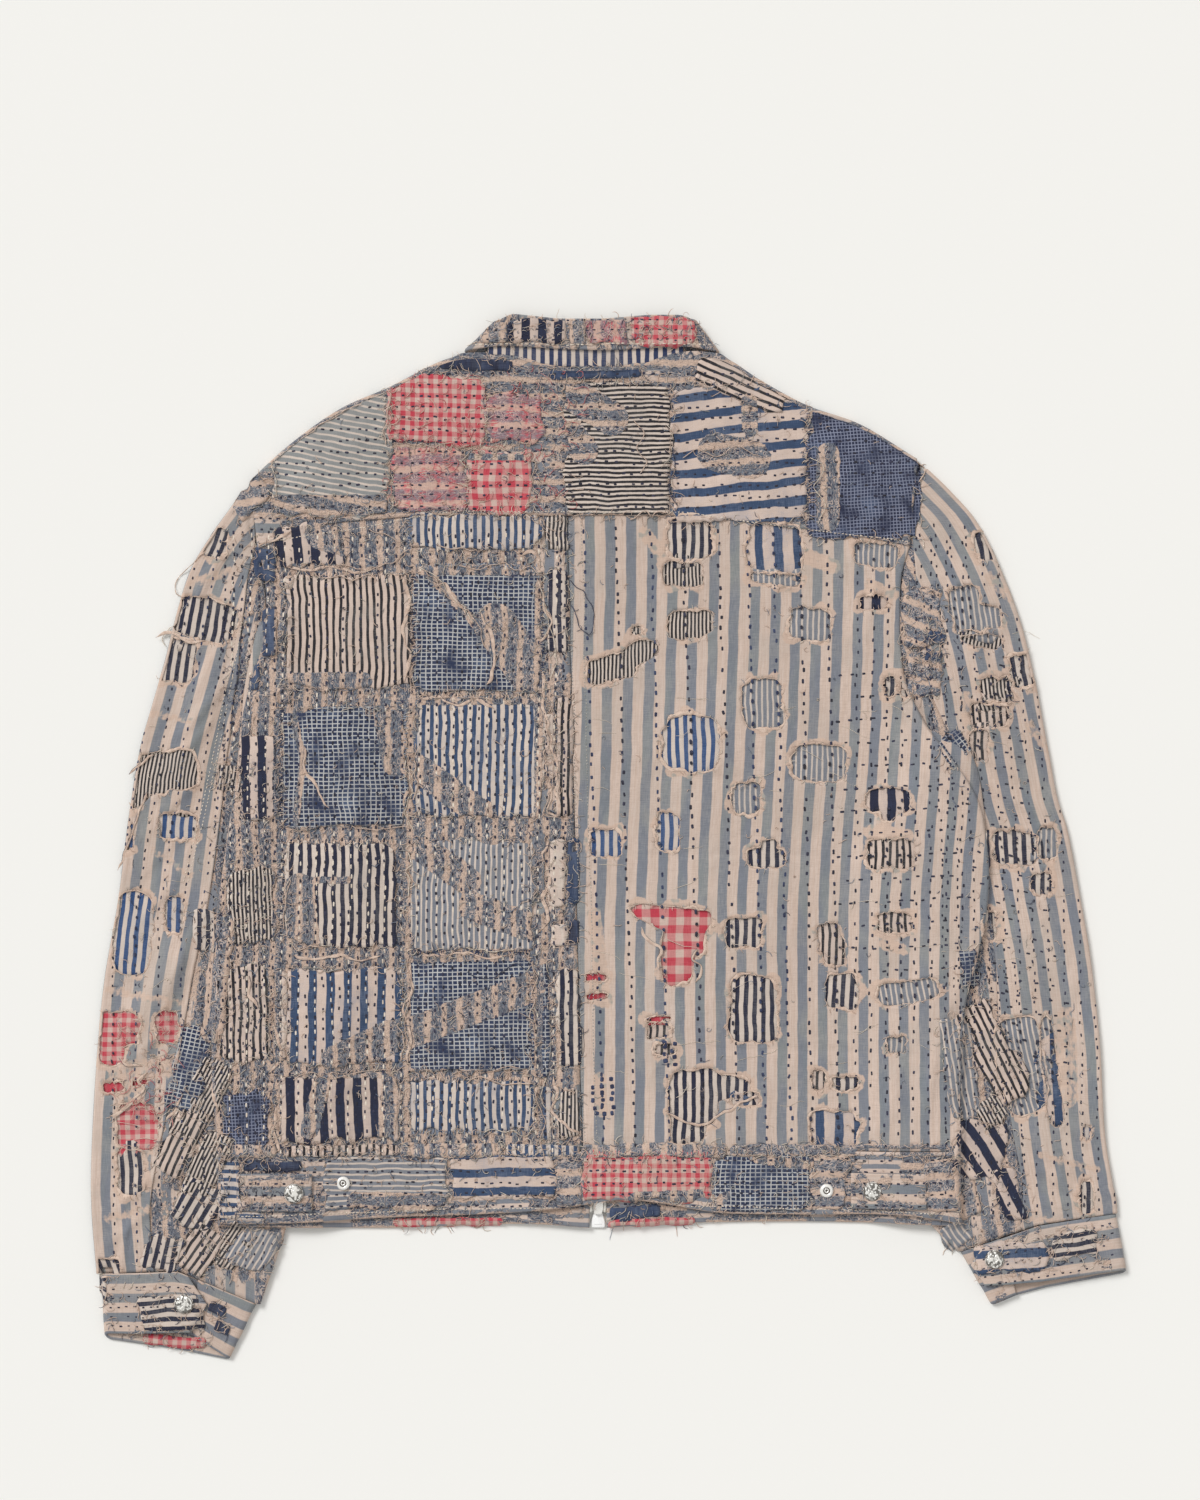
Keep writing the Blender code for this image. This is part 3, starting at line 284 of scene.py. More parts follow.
def relief(x, y, folds):
    """The height of soft ridges and troughs, each along a line that bends sideways at its middle."""
    total = np.zeros(np.broadcast(x, y).shape)
    for fold in folds:
        ax, ay = fold.x1 - fold.x0, fold.y1 - fold.y0
        length = math.hypot(ax, ay)
        t = ((x - fold.x0) * ax + (y - fold.y0) * ay) / length**2
        off = ((x - fold.x0) * ay - (y - fold.y0) * ax) / length - fold.bend * 4 * t * (1 - t)
        across = np.cos(math.pi / 2 * np.clip(off / fold.half_width, -1, 1)) ** 2
        total += fold.height * across * np.sin(math.pi * np.clip(t, 0, 1))
    return total


def lattice(i, j, seed):
    """A number from -1 to 1 for each whole place, scattered by a hash."""
    h = (i.astype(np.int64) * 374761393 + j.astype(np.int64) * 668265263 + seed * 974634777) & 0x7FFFFFFF
    h = ((h ^ (h >> 13)) * 1274126177) & 0x7FFFFFFF
    return ((h ^ (h >> 16)) & 0xFFFF) / 32767.5 - 1.0


def noise(x, y, size, seed):
    """Smooth noise from -1 to 1, with lumps of a size."""
    gx, gy = np.asarray(x, float) / size, np.asarray(y, float) / size
    i, j = np.floor(gx), np.floor(gy)
    fx, fy = smooth(gx - i), smooth(gy - j)
    low = mix(lattice(i, j, seed), lattice(i + 1, j, seed), fx)
    high = mix(lattice(i, j + 1, seed), lattice(i + 1, j + 1, seed), fx)
    return mix(low, high, fy)


def pucker(x, y, strength, seed):
    """Cloth that has been washed and sewn through many times: small uneven lumps."""
    lumps = 0.9 * noise(x, y, 15, seed) + 0.55 * noise(x, y, 7, seed + 1)
    return strength * (lumps + 0.5 * noise(x, y * 0.35, 5, seed + 2) + 0.8 * noise(x, y, 34, seed + 3))


def back_top(x, y):
    strength = 0.30 + 0.45 * smooth((-20 - x) / 14) * smooth((262 - y) / 10)
    strength = strength + 0.2 * smooth((y - 250) / 10)
    top = rise(x, y) + BODY_TOP + relief(x, y, BODY_FOLDS) + relief(x, y, BODY_CREASES)
    return top + pucker(x, y, strength, 11)


def sleeve_top(side, x, y):
    clear = (x - body_edge(side, y)) * OUTWARD[side]
    free = np.where(y > -330, smooth((clear - 4) / 22), 1.0)
    folds = relief(x, y, SLEEVE_FOLDS) + relief(x, y, SLEEVE_CREASES) + pucker(x, y, 0.4, 51)
    return SLEEVE_TOP + free * np.maximum(folds, -2.5)


# ---------------------------------------------------------------- meshes
def quads(rows, columns, closed=False):
    index = np.arange(rows * columns).reshape(rows, columns)
    if closed:
        index = np.hstack([index, index[:, :1]])
    faces = np.stack([index[:-1, :-1], index[:-1, 1:], index[1:, 1:], index[1:, :-1]], -1)
    return faces.reshape(-1, 4)


def build(name, points, faces, looks, cut=None, which=None, **amounts):
    """A mesh piece from points in millimetres, with its cut as a UV map and amounts kept at its points."""
    mesh = bpy.data.meshes.new(name)
    faces = np.asarray(faces, np.int32)
    count, sides = faces.shape
    mesh.vertices.add(len(points))
    mesh.vertices.foreach_set("co", (np.asarray(points) * MM).astype(np.float32).ravel())
    mesh.loops.add(count * sides)
    mesh.loops.foreach_set("vertex_index", faces.ravel())
    mesh.polygons.add(count)
    mesh.polygons.foreach_set("loop_start", np.arange(count, dtype=np.int32) * sides)
    mesh.update(calc_edges=True)
    mesh.polygons.foreach_set("use_smooth", np.ones(count, bool))
    for look in looks:
        mesh.materials.append(look)
    if which is not None:
        mesh.polygons.foreach_set("material_index", np.asarray(which, np.int32))
    if cut is not None:
        layer = mesh.uv_layers.new(name="cut")
        layer.data.foreach_set("uv", (np.asarray(cut)[faces].reshape(-1) * MM).astype(np.float32))
    for key, values in amounts.items():
        mesh.attributes.new(key, "FLOAT", "POINT").data.foreach_set("value", np.asarray(values, np.float32))
    mesh.update()
    piece = bpy.data.objects.new(name, mesh)
    bpy.context.scene.collection.objects.link(piece)
    return piece


def thicken(piece, wall):
    solid = piece.modifiers.new("Wall", "SOLIDIFY")
    solid.thickness = wall * MM
    solid.offset = -1.0
    return piece


def area_of(points, faces):
    a, b, c, d = (points[faces[:, k]] for k in range(4))
    return 0.5 * np.linalg.norm(np.cross(c - a, d - b), axis=1).sum() * MM * MM


class Shells:
    """The cloth laid down so far, and the height of its top at a place."""

    def __init__(self):
        self.points, self.faces, self.count, self.tree = [], [], 0, None

    def add(self, points, faces):
        self.points.append(points)
        self.faces.append(np.asarray(faces) + self.count)
        self.count += len(points)
        self.tree = None

    def ready(self):
        if self.tree is None:
            points = np.vstack(self.points)
            self.tree = BVHTree.FromPolygons(points.tolist(), np.vstack(self.faces).tolist())
        return self.tree

    def hit(self, x, y, floor=0.2):
        """The height and normal of the top cloth at a place, and whether there is any."""
        tree = self.ready()
        place, normal, _, _ = tree.ray_cast(Vector((x, y, 80.0)), Vector((0, 0, -1)), 79.9)
        if place is None:
            return floor, Vector((0, 0, 1)), False
        return place.z, (normal if normal.z > 0 else -normal), True

    def heights(self, x, y, floor=0.2):
        flat = [self.hit(a, b, floor)[0] for a, b in zip(np.ravel(x), np.ravel(y), strict=True)]
        return np.array(flat).reshape(np.shape(x))


shells = Shells()
OFF_CLOTH = -9.0  # the height given to places with no cloth below them


# ---------------------------------------------------------------- colours and looks
def colour(r, g, b):
    """A colour written as it shows on a screen, 0 to 255, turned into light."""
    light = [c / 255 / 12.92 if c <= 10 else ((c / 255 + 0.055) / 1.055) ** 2.4 for c in (r, g, b)]
    return (*light, 1.0)


ECRU = colour(221, 200, 187)
CREAM = colour(222, 207, 195)
WARM_ECRU = colour(216, 189, 171)
SLATE = colour(131, 135, 145)
SAGE = colour(150, 152, 152)
PALE_SAGE = colour(176, 170, 161)
NAVY = colour(33, 36, 59)
BLACK = colour(30, 27, 34)
BLUE = colour(57, 77, 109)
BRIGHT_BLUE = colour(56, 84, 130)
DENIM = colour(48, 64, 96)
INDIGO = colour(40, 51, 82)
RED = colour(200, 66, 82)
ROSE = colour(208, 138, 136)
GREY = colour(148, 146, 144)
CLEAR, FULL = (0, 0, 0, 1), (1, 1, 1, 1)
DIAGONAL_WAVE = {"wave_type": "BANDS", "bands_direction": "DIAGONAL"}


class Look:
    """A node material put together from sums of sockets."""

    def __init__(self, name, roughness=0.93, metallic=0.0, sheen=0.12):
        self.material = bpy.data.materials.new(name)
        self.material.use_nodes = True
        self.tree = self.material.node_tree
        self.shader = self.tree.nodes["Principled BSDF"]
        self.shader.inputs["Roughness"].default_value = roughness
        self.shader.inputs["Metallic"].default_value = metallic
        if sheen:
            self.shader.inputs["Sheen Weight"].default_value = sheen
            self.shader.inputs["Sheen Roughness"].default_value = 0.5

    def put(self, socket, value):
        if isinstance(value, bpy.types.NodeSocket):
            self.tree.links.new(value, socket)
        elif value is not None:
            socket.default_value = value

    def node(self, kind, **settings):
        node = self.tree.nodes.new("ShaderNode" + kind)
        for key, value in settings.items():
            setattr(node, key, value)
        return node

    def math(self, operation, a, b=None, c=None, clamp=False):
        node = self.node("Math", operation=operation, use_clamp=clamp)
        for socket, value in zip(node.inputs, (a, b, c), strict=False):
            self.put(socket, value)
        return node.outputs[0]

    def blend(self, share, a, b, kind="MIX"):
        node = self.node("Mix", data_type="RGBA", blend_type=kind)
        self.put(node.inputs[0], share)
        self.put(node.inputs[6], a)
        self.put(node.inputs[7], b)
        return node.outputs[2]

    def place(self, u, v, w=0.0):
        node = self.node("CombineXYZ")
        for socket, value in zip(node.inputs, (u, v, w), strict=True):
            self.put(socket, value)
        return node.outputs[0]

    def texture(self, kind, where, settings=None, **numbers):
        """A procedural texture over places, with its numbers set."""
        node = self.node(kind, **(settings or {}))
        self.put(node.inputs["Vector"], where)
        for name, number in numbers.items():
            node.inputs[name].default_value = number
        return node

    def grain(self, u, v, across, along, detail=2.0, w=0.0):
        """Noise from 0 to 1, with lumps of so many millimetres across and along the cloth."""
        place = self.place(self.math("DIVIDE", u, across), self.math("DIVIDE", v, along), w)
        return self.texture("TexNoise", place, Scale=1.0, Detail=detail).outputs[0]

    def ramp(self, share, stops):
        node = self.node("ValToRGB")
        self.put(node.inputs[0], share)
        while len(node.color_ramp.elements) < len(stops):
            node.color_ramp.elements.new(0.5)
        for element, (at, value) in zip(node.color_ramp.elements, stops, strict=True):
            element.position = at
            element.color = value
        return node.outputs[0]

    def step(self, value, low, high):
        """From 0 to 1 as the value goes from low to high."""
        node = self.node("MapRange", interpolation_type="SMOOTHSTEP")
        for socket, number in zip(node.inputs, (value, low, high, 0.0, 1.0), strict=False):
            self.put(socket, number)
        return node.outputs[0]

    def repeat(self, u, period, first, last, soft, ground=CLEAR, band=FULL):
        """A ground with one band in each repeat across u, from its first to its last millimetre."""
        share = self.math("FRACT", self.math("DIVIDE", u, period))
        edge = soft / period / 2
        first, last = first / period, last / period
        places = np.maximum.accumulate((0.0, first - edge, first + edge, last - edge, last + edge))
        shades = (ground, ground, band, band, ground)
        return self.ramp(share, list(zip(np.minimum(places, 1.0).tolist(), shades, strict=True)))

    def finish(self, base, height=None, strength=0.5, distance=0.3, roughness=None):
        self.put(self.shader.inputs["Base Color"], base)
        self.put(self.shader.inputs["Roughness"], roughness)
        if height is not None:
            bump = self.node("Bump")
            bump.inputs["Strength"].default_value = strength
            bump.inputs["Distance"].default_value = distance * MM
            self.put(bump.inputs["Height"], height)
            self.put(self.shader.inputs["Normal"], bump.outputs[0])
        return self.material


def cloth(name, pattern, wavy, worn, fade=GREY):
    """Woven cotton: its pattern, uneven yarns, fading and bare places, and darning where "mend" says so."""
    look = Look(name, sheen=0.10)
    split = look.node("SeparateXYZ")
    look.put(split.inputs[0], look.node("UVMap", uv_map="cut").outputs[0])
    u, v = (look.math("MULTIPLY", split.outputs[k], 1000.0) for k in (0, 1))
    shake = look.grain(u, v, 3.0, 5.0, 1.0, 3.0)
    shake = look.math("MULTIPLY", shake, wavy * 1.9)
    wave = look.math("MULTIPLY_ADD", look.grain(u, v, 22.0, 26.0, 1.0), 1.8, shake)
    u = look.math("ADD", u, look.math("SUBTRACT", wave, 0.9 + wavy * 0.95))
    v = look.math("ADD", v, look.math("MULTIPLY", look.grain(u, v, 20.0, 18.0, 1.0, 4.0), 1.6))
    base = pattern(look, u, v)
    warp = look.grain(u, v, 0.7, 9.0, 1.0, 5.0)
    weft = look.grain(u, v, 9.0, 0.7, 1.0, 7.0)
    yarn = look.math("ADD", warp, weft)
    # wear: the colour thins to the pale core of the yarn, and is gone round the holes and along the darning
    lumps = look.grain(u, v, 38.0, 46.0, 4.0, 11.0)
    thin = look.step(look.math("MULTIPLY_ADD", yarn, 0.35, lumps), 0.78, 1.05)
    base = look.blend(look.math("MULTIPLY", thin, worn), base, fade)
    ragged = look.grain(u, v, 3.4, 6.0, 3.0, 13.0)
    bare = look.node("Attribute", attribute_name="bare").outputs["Fac"]
    bare = look.step(look.math("ADD", look.math("MULTIPLY", bare, 1.2), ragged), 1.0, 1.3)
    pale = look.blend(look.step(look.grain(u, v, 7.0, 9.0, 1.0, 37.0), 0.56, 0.68), WARM_ECRU, PALE_SAGE)
    base = look.blend(look.math("MULTIPLY", bare, 0.9), base, pale)
    shade = look.step(yarn, 0.55, 1.45)
    shade = look.ramp(shade, [(0.0, (0.40, 0.39, 0.38, 1)), (1.0, (1.0, 1.0, 1.0, 1))])
    base = look.blend(0.30, base, shade, "MULTIPLY")
    soiled = [(0.3, (0.86, 0.84, 0.82, 1)), (0.7, FULL)]
    tone = look.ramp(look.grain(u, v, 120.0, 150.0, 3.0, 2.0), soiled)
    base = look.blend(0.6, base, tone, "MULTIPLY")
    # darned places lie ragged over the cloth
    mend = look.node("Attribute", attribute_name="mend").outputs["Fac"]
    share = look.step(look.math("ADD", look.math("MULTIPLY", mend, 1.25), ragged), 1.02, 1.12)
    darned, rough = tangled(look, u, v)
    darned = look.blend(0.5, darned, shade, "MULTIPLY")
    base = look.blend(share, base, darned)
    height = look.math("MULTIPLY_ADD", share, rough, look.math("MULTIPLY", yarn, 0.5))
    height = look.math("MULTIPLY_ADD", look.grain(u, v, 8.0, 10.0, 2.0, 31.0), 2.4, height)
    return look.finish(base, height, 0.8, 0.36)


def tangled(look, u, v):
    """Darning: ragged ecru columns, and between them pale curls of yarn over dark grey-blue."""
    sway = look.math("MULTIPLY_ADD", look.grain(u, v, 15.0, 24.0, 1.0, 17.0), 5.0, u)
    sway = look.math("MULTIPLY_ADD", look.grain(u, v, 1.6, 2.0, 2.0, 18.0), 3.4, sway)
    column = look.repeat(sway, 13.4, 0.9, 5.6, 1.0)
    streak = look.grain(u, v, 0.9, 3.4, 2.0, 19.0)
    tangle = look.blend(look.step(streak, 0.36, 0.60), colour(56, 64, 86), colour(130, 135, 144))
    curl = look.math("FRACT", look.math("MULTIPLY", look.grain(u, v, 4.6, 6.4, 1.2, 29.0), 7.0))
    line = look.step(look.math("ABSOLUTE", look.math("SUBTRACT", curl, 0.5)), 0.24, 0.36)
    patchy = look.step(look.grain(u, v, 6.0, 9.0, 2.0, 23.0), 0.38, 0.60)
    line_share = look.math("MULTIPLY", line, look.math("MULTIPLY_ADD", patchy, 0.70, 0.08))
    tangle = look.blend(line_share, tangle, ECRU)
    strip_share = look.math("MULTIPLY", look.step(streak, 0.56, 0.68), 0.6)
    strip = look.blend(strip_share, WARM_ECRU, colour(120, 122, 130))
    rough = look.math("MULTIPLY_ADD", streak, 1.8, line)
    return look.blend(column, tangle, strip), rough


def rosy(look, u, v):
    """Darning over red gingham that has nearly worn away."""
    base = look.blend(0.22, tangled(look, u, v)[0], colour(216, 158, 154))
    left = look.step(look.grain(u, v, 12.0, 20.0, 2.0, 61.0), 0.34, 0.60)
    rows = look.repeat(v, 12.0, 3.0, 8.4, 1.6)
    streak = look.step(look.grain(u, v, 1.1, 6.0, 2.0, 62.0), 0.40, 0.60)
    rows = look.math("MULTIPLY_ADD", rows, 0.6, 0.25)
    red = look.math("MULTIPLY", look.math("MULTIPLY", left, streak), rows)
    return look.blend(red, base, colour(204, 84, 96))


def darned(look, u, v):
    return tangled(look, u, v)[0]


def striped(stripe):
    def pattern(look, u, v):
        edges = (stripe.period, stripe.first, stripe.last, stripe.soft)
        return look.repeat(u, *edges, stripe.ground, stripe.line)

    return pattern


def checked(across, along, ground, line, width):
    """Fine lines both ways, uneven in strength, on a darker ground."""

    def pattern(look, u, v):
        one = look.repeat(u, across, across - width, across - 0.05, 0.35)
        two = look.repeat(v, along, along - width, along - 0.05, 0.35)
        clear = look.step(look.grain(u, v, 16.0, 20.0, 2.0, 41.0), 0.22, 0.56)
        lines = look.math("MULTIPLY", look.math("MAXIMUM", one, two), clear)
        washed = look.step(look.grain(u, v, 22.0, 26.0, 4.0, 43.0), 0.50, 0.75)
        return look.blend(lines, look.blend(washed, ground, colour(80, 94, 122)), line)

    return pattern


def gingham(period):
    def pattern(look, u, v):
        one, two = (look.repeat(way, period, period * 0.25, period * 0.75, 0.5) for way in (u, v))
        base = look.blend(look.math("MAXIMUM", one, two), colour(214, 190, 178), ROSE)
        return look.blend(look.math("MULTIPLY", one, two), base, RED)

    return pattern


def plain(tone, second, share=0.5):
    def pattern(look, u, v):
        worn = look.step(look.grain(u, v, 5.0, 16.0, 3.0, 37.0), share - 0.12, share + 0.15)
        return look.blend(worn, tone, second)

    return pattern


def faded(look, u, v):
    """The main cloth: slate stripes on ecru, each faded in its own places."""
    line = look.repeat(u, REPEAT, 0.3, 8.0, 0.7)
    pale = look.step(look.grain(u, v, 20.0, 62.0, 3.0, 47.0), 0.46, 0.66)
    green = look.step(look.grain(u, v, 13.0, 80.0, 2.0, 53.0), 0.50, 0.62)
    slate = look.blend(look.math("MULTIPLY", pale, 0.8), SLATE, SAGE)
    slate = look.blend(look.math("MULTIPLY", green, 0.2), slate, colour(126, 138, 136))
    streaks = look.step(look.grain(u, v, 1.3, 40.0, 1.0, 59.0), 0.35, 0.65)
    return look.blend(line, look.blend(streaks, colour(214, 191, 176), ECRU), slate)


BLUE_WORN = colour(126, 136, 156)
# Striped cloths: the repeat across, its ground, and its stripe from the first to the last millimetre
Stripe = namedtuple("Stripe", "name period ground first last line soft wavy worn fade", defaults=(GREY,))
STRIPES = {
    "fine": Stripe("fine_black_stripe", 3.0, CREAM, 0.2, 1.8, BLACK, 0.3, 0.2, 0.2),
    "fine_wide": Stripe("wide_black_stripe", 5.4, ECRU, 0.3, 2.5, BLACK, 0.4, 0.3, 0.3),
    "fine_yoke": Stripe("fine_yoke_stripe", 3.6, CREAM, 0.2, 2.1, BLACK, 0.35, 0.35, 0.2),
    "navy_mid": Stripe("navy_stripe", 6.8, CREAM, 0.3, 3.7, NAVY, 0.4, 0.3, 0.25),
    "navy_bars": Stripe("navy_bars", 13.0, ECRU, 0.3, 7.0, NAVY, 0.5, 0.4, 0.3, DENIM),
    "blue_mid": Stripe("blue_stripe", 6.5, CREAM, 0.3, 3.3, BLUE, 0.4, 0.35, 0.4, BLUE_WORN),
    "blue_bright": Stripe("bright_blue_stripe", 6.7, CREAM, 0.3, 3.6, BRIGHT_BLUE, 0.4, 0.25, 0.3, BLUE_WORN),
    "blue_broad": Stripe("broad_blue_stripe", 13.6, ECRU, 0.3, 6.8, BLUE, 0.5, 0.4, 0.45, BLUE_WORN),
    "blue_yoke": Stripe("blue_yoke_stripe", 15.0, ECRU, 0.3, 7.0, BLUE, 0.6, 0.5, 0.4, BLUE_WORN),
    "slate": Stripe("slate_stripe", 4.2, SLATE, 0.3, 1.7, CREAM, 0.5, 0.3, 0.35),
    "slate_warm": Stripe("slate_shoulder_stripe", 4.6, SAGE, 0.3, 1.8, CREAM, 0.5, 0.4, 0.4),
    "band": Stripe("band_stripe", 7.2, ECRU, 0.3, 4.1, SLATE, 0.6, 0.4, 0.3),
    "stand": Stripe("collar_stand_stripe", 6.9, CREAM, 0.3, 3.9, colour(46, 58, 94), 0.4, 0.3, 0.3),
}
# The other cloths: their pattern, how wavy and how worn they are, and the colour that they fade to
FINE_CHECK = checked(3.95, 3.2, INDIGO, colour(199, 199, 198), 0.95)
NAVY_CHECK = checked(2.6, 2.6, colour(34, 40, 68), colour(142, 148, 170), 0.75)
NAVY_WORN = colour(54, 64, 92)
DENIM_WORN = colour(74, 88, 116)
LOOKS = {
    "main": cloth("striped_cotton", faded, 0.25, 0.3, PALE_SAGE),
    "patchwork": cloth("patchwork_cotton", faded, 0.4, 0.4, GREY),
    "check": cloth("indigo_check", FINE_CHECK, 0.12, 0.15, colour(108, 116, 132)),
    "navy_check": cloth("navy_check", NAVY_CHECK, 0.15, 0.2, colour(92, 100, 124)),
    "gingham": cloth("red_gingham", gingham(7.5), 0.3, 0.3, ROSE),
    "gingham_worn": cloth("worn_red_gingham", gingham(7.3), 0.6, 0.45, colour(206, 176, 160)),
    "gingham_yoke": cloth("yoke_red_gingham", gingham(9.8), 0.3, 0.3, ROSE),
    "gingham_wide": cloth("wide_red_gingham", gingham(12.8), 0.3, 0.2, ROSE),
    "denim": cloth("denim", plain(DENIM, DENIM_WORN), 0.2, 0.3, colour(112, 120, 136)),
    "red": cloth("red_rag", plain(RED, ROSE, 0.55), 0.2, 0.1, ROSE),
    "cream": cloth("cream_rag", plain(ECRU, CREAM), 0.2, 0.1, CREAM),
    "navy_rag": cloth("navy_rag", plain(NAVY, NAVY_WORN), 0.2, 0.3, colour(104, 112, 130)),
    "darned": cloth("darned_cotton", darned, 0.3, 0.1),
    "rosy": cloth("rosy_darned_cotton", rosy, 0.3, 0.1, ROSE),
}
for key, stripe in STRIPES.items():
    LOOKS[key] = cloth(stripe.name, striped(stripe), stripe.wavy, stripe.worn, stripe.fade)


def yarn_look(name, tone, second):
    look = Look(name, 0.85, 0.0, 0.15)
    where = look.node("TexCoord").outputs["Object"]
    spots = look.texture("TexNoise", where, Scale=260.0, Detail=2.0)
    twist = look.texture("TexWave", where, DIAGONAL_WAVE, Scale=900.0, Distortion=2.0)
    base = look.blend(look.step(spots.outputs[0], 0.4, 0.62), tone, second)
    return look.finish(base, twist.outputs["Fac"], 0.4, 0.15)


YARNS = {
    "black": yarn_look("yarn_black", colour(30, 29, 42), colour(52, 52, 74)),
    "navy": yarn_look("yarn_navy", colour(34, 38, 66), colour(58, 68, 98)),
    "pale": yarn_look("yarn_pale", colour(232, 220, 204), colour(212, 196, 178)),
    "ecru": yarn_look("yarn_ecru", colour(222, 196, 178), colour(204, 180, 164)),
    "grey": yarn_look("yarn_grey", colour(150, 148, 144), colour(188, 180, 170)),
    "red": yarn_look("yarn_red", colour(204, 96, 100), colour(224, 164, 158)),
    "slate": yarn_look("yarn_slate", colour(104, 118, 142), colour(150, 158, 170)),
    "rim": yarn_look("torn_edge", colour(216, 192, 175), colour(196, 170, 153)),
}


# ---------------------------------------------------------------- holes and patches
# A hole in the striped cloth: its middle and size, the cloth that shows in it, the turn of that cloth's
# stripes, and the hole's tilt. A row with no cloth widens the hole of the row before it.
Hole = namedtuple("Hole", "x y width height look turn tilt", defaults=(None, 0, 0))
BODY_HOLES = table(
    Hole,
    (63, 236, 35, 34, "navy_mid", 2), (58, 208, 32, 19, "fine"), (64, 170, 36, 18, "fine", -2, 3),
    (60, 164, 28, 14), (130, 228, 42, 40, "blue_yoke", 3), (131, 204, 38, 9, "slate", 0, -6),
    (210, 223, 36, 18, "slate", 0, -6), (208, 185, 20, 11, "navy_bars"), (158, 168, 32, 25, "slate", 0, -8),
    (1, 133, 37, 20, "fine", 0, 14), (25, 146, 27, 18, None, 0, 4), (121, 105, 32, 38, "slate", 2, 6),
    (64, 75, 44, 42, "blue_bright"), (166, 59, 40, 30, "slate"), (108, 31, 21, 24, "slate"),
    (46, 5, 18, 30, "blue_bright"), (-3, -4, 25, 21, "blue_bright"), (123, -16, 28, 15, "navy_mid"),
    (126, -9, 12, 14), (219, 29, 33, 18, "navy_bars"), (219, 22, 12, 18), (221, -12, 38, 22, "fine_wide"),
    (221, 119, 8, 17, "navy_mid"), (234, 119, 9, 17, "navy_mid"), (58, -76, 33, 34, "gingham_wide"),
    (47, -63, 64, 17, None, 0, -3), (54, -100, 24, 34), (106, -75, 29, 23, "navy_mid"),
    (175, -84, 18, 34, "fine_wide", 0, 14), (183, -121, 25, 28, "navy_mid", -4),
    (113, -136, 36, 52, "navy_mid"), (224, -67, 25, 16, "fine_wide"), (235, -121, 46, 17, "slate", 10, 9),
    (39, -152, 18, 12, "fine_wide"), (39, -143, 19, 4, "red", 0, 3), (43, -167, 15, 9, "fine_wide"),
    (66, -204, 38, 44, "navy_mid"), (86, -196, 46, 17), (62, -231, 28, 20),
    (107, -206, 22, 10, "blue_broad", 0, 3), (165, -191, 10, 16, "fine_wide"),
    (186, -194, 20, 10, "navy_mid"), (177, -229, 38, 27, "blue_yoke"), (226, -163, 15, 12, "slate"),
    (22, 163, 8, 6, "fine"), (-11, -110, 15, 6, "red", 0, -4), (-10, -125, 15, 4.5, "red", 0, 4),
)
LEFT_SLEEVE_HOLES = table(
    Hole,
    (-313, 233, 24, 22, "navy_mid", -18, -18), (-319, 172, 48, 32, "navy_mid", -10, -14),
    (-341, 140, 27, 34, "navy_mid", -10, -10), (-351, 52, 54, 31, "fine", -8, 8),
    (-372, 36, 18, 26, None, 0, -20), (-340, 9, 29, 20, "blue_bright", -4), (-380, 3, 9, 24, "blue_bright"),
    (-376, -76, 30, 62, "blue_bright", -6, -4), (-343, -61, 14, 28, "blue_bright"),
    (-387, -151, 32, 26, "gingham"), (-393, -167, 20, 22), (-349, -149, 17, 24, "gingham"),
    (-391, -197, 16, 8, "red", 0, 3), (-370, -193, 12, 4, "red", 0, 12), (-373, -227, 32, 34, "gingham"),
    (-378, -262, 20, 36, "navy_mid", 3, 3), (-396, -339, 20, 13, "navy_mid", 20),
)
RIGHT_SLEEVE_HOLES = table(
    Hole,
    (297, 231, 18, 24, "navy_mid", 14, 20), (282, 178, 24, 38, "slate", 8, 12), (299, 174, 20, 18),
    (293, 156, 30, 11, "fine", -12, -12), (326, 132, 18, 27, "navy_mid", 10, 10),
    (305, 116, 26, 20, "fine", 8), (299, 96, 28, 19, "fine_wide", 6), (291, 73, 15, 24, "fine_wide"),
    (319, -8, 36, 25, "navy_mid", 4), (345, -4, 15, 23, "slate"), (341, -36, 16, 16, "navy_mid"),
    (299, -70, 11, 22, "navy_mid"), (325, -180, 36, 74, "slate", 12, 10),
    (347, -182, 11, 84, "blue_broad", 4, 6), (352, -214, 14, 26), (376, -232, 6, 10, "blue_bright"),
    (376, -284, 10, 24, "navy_mid"),
)
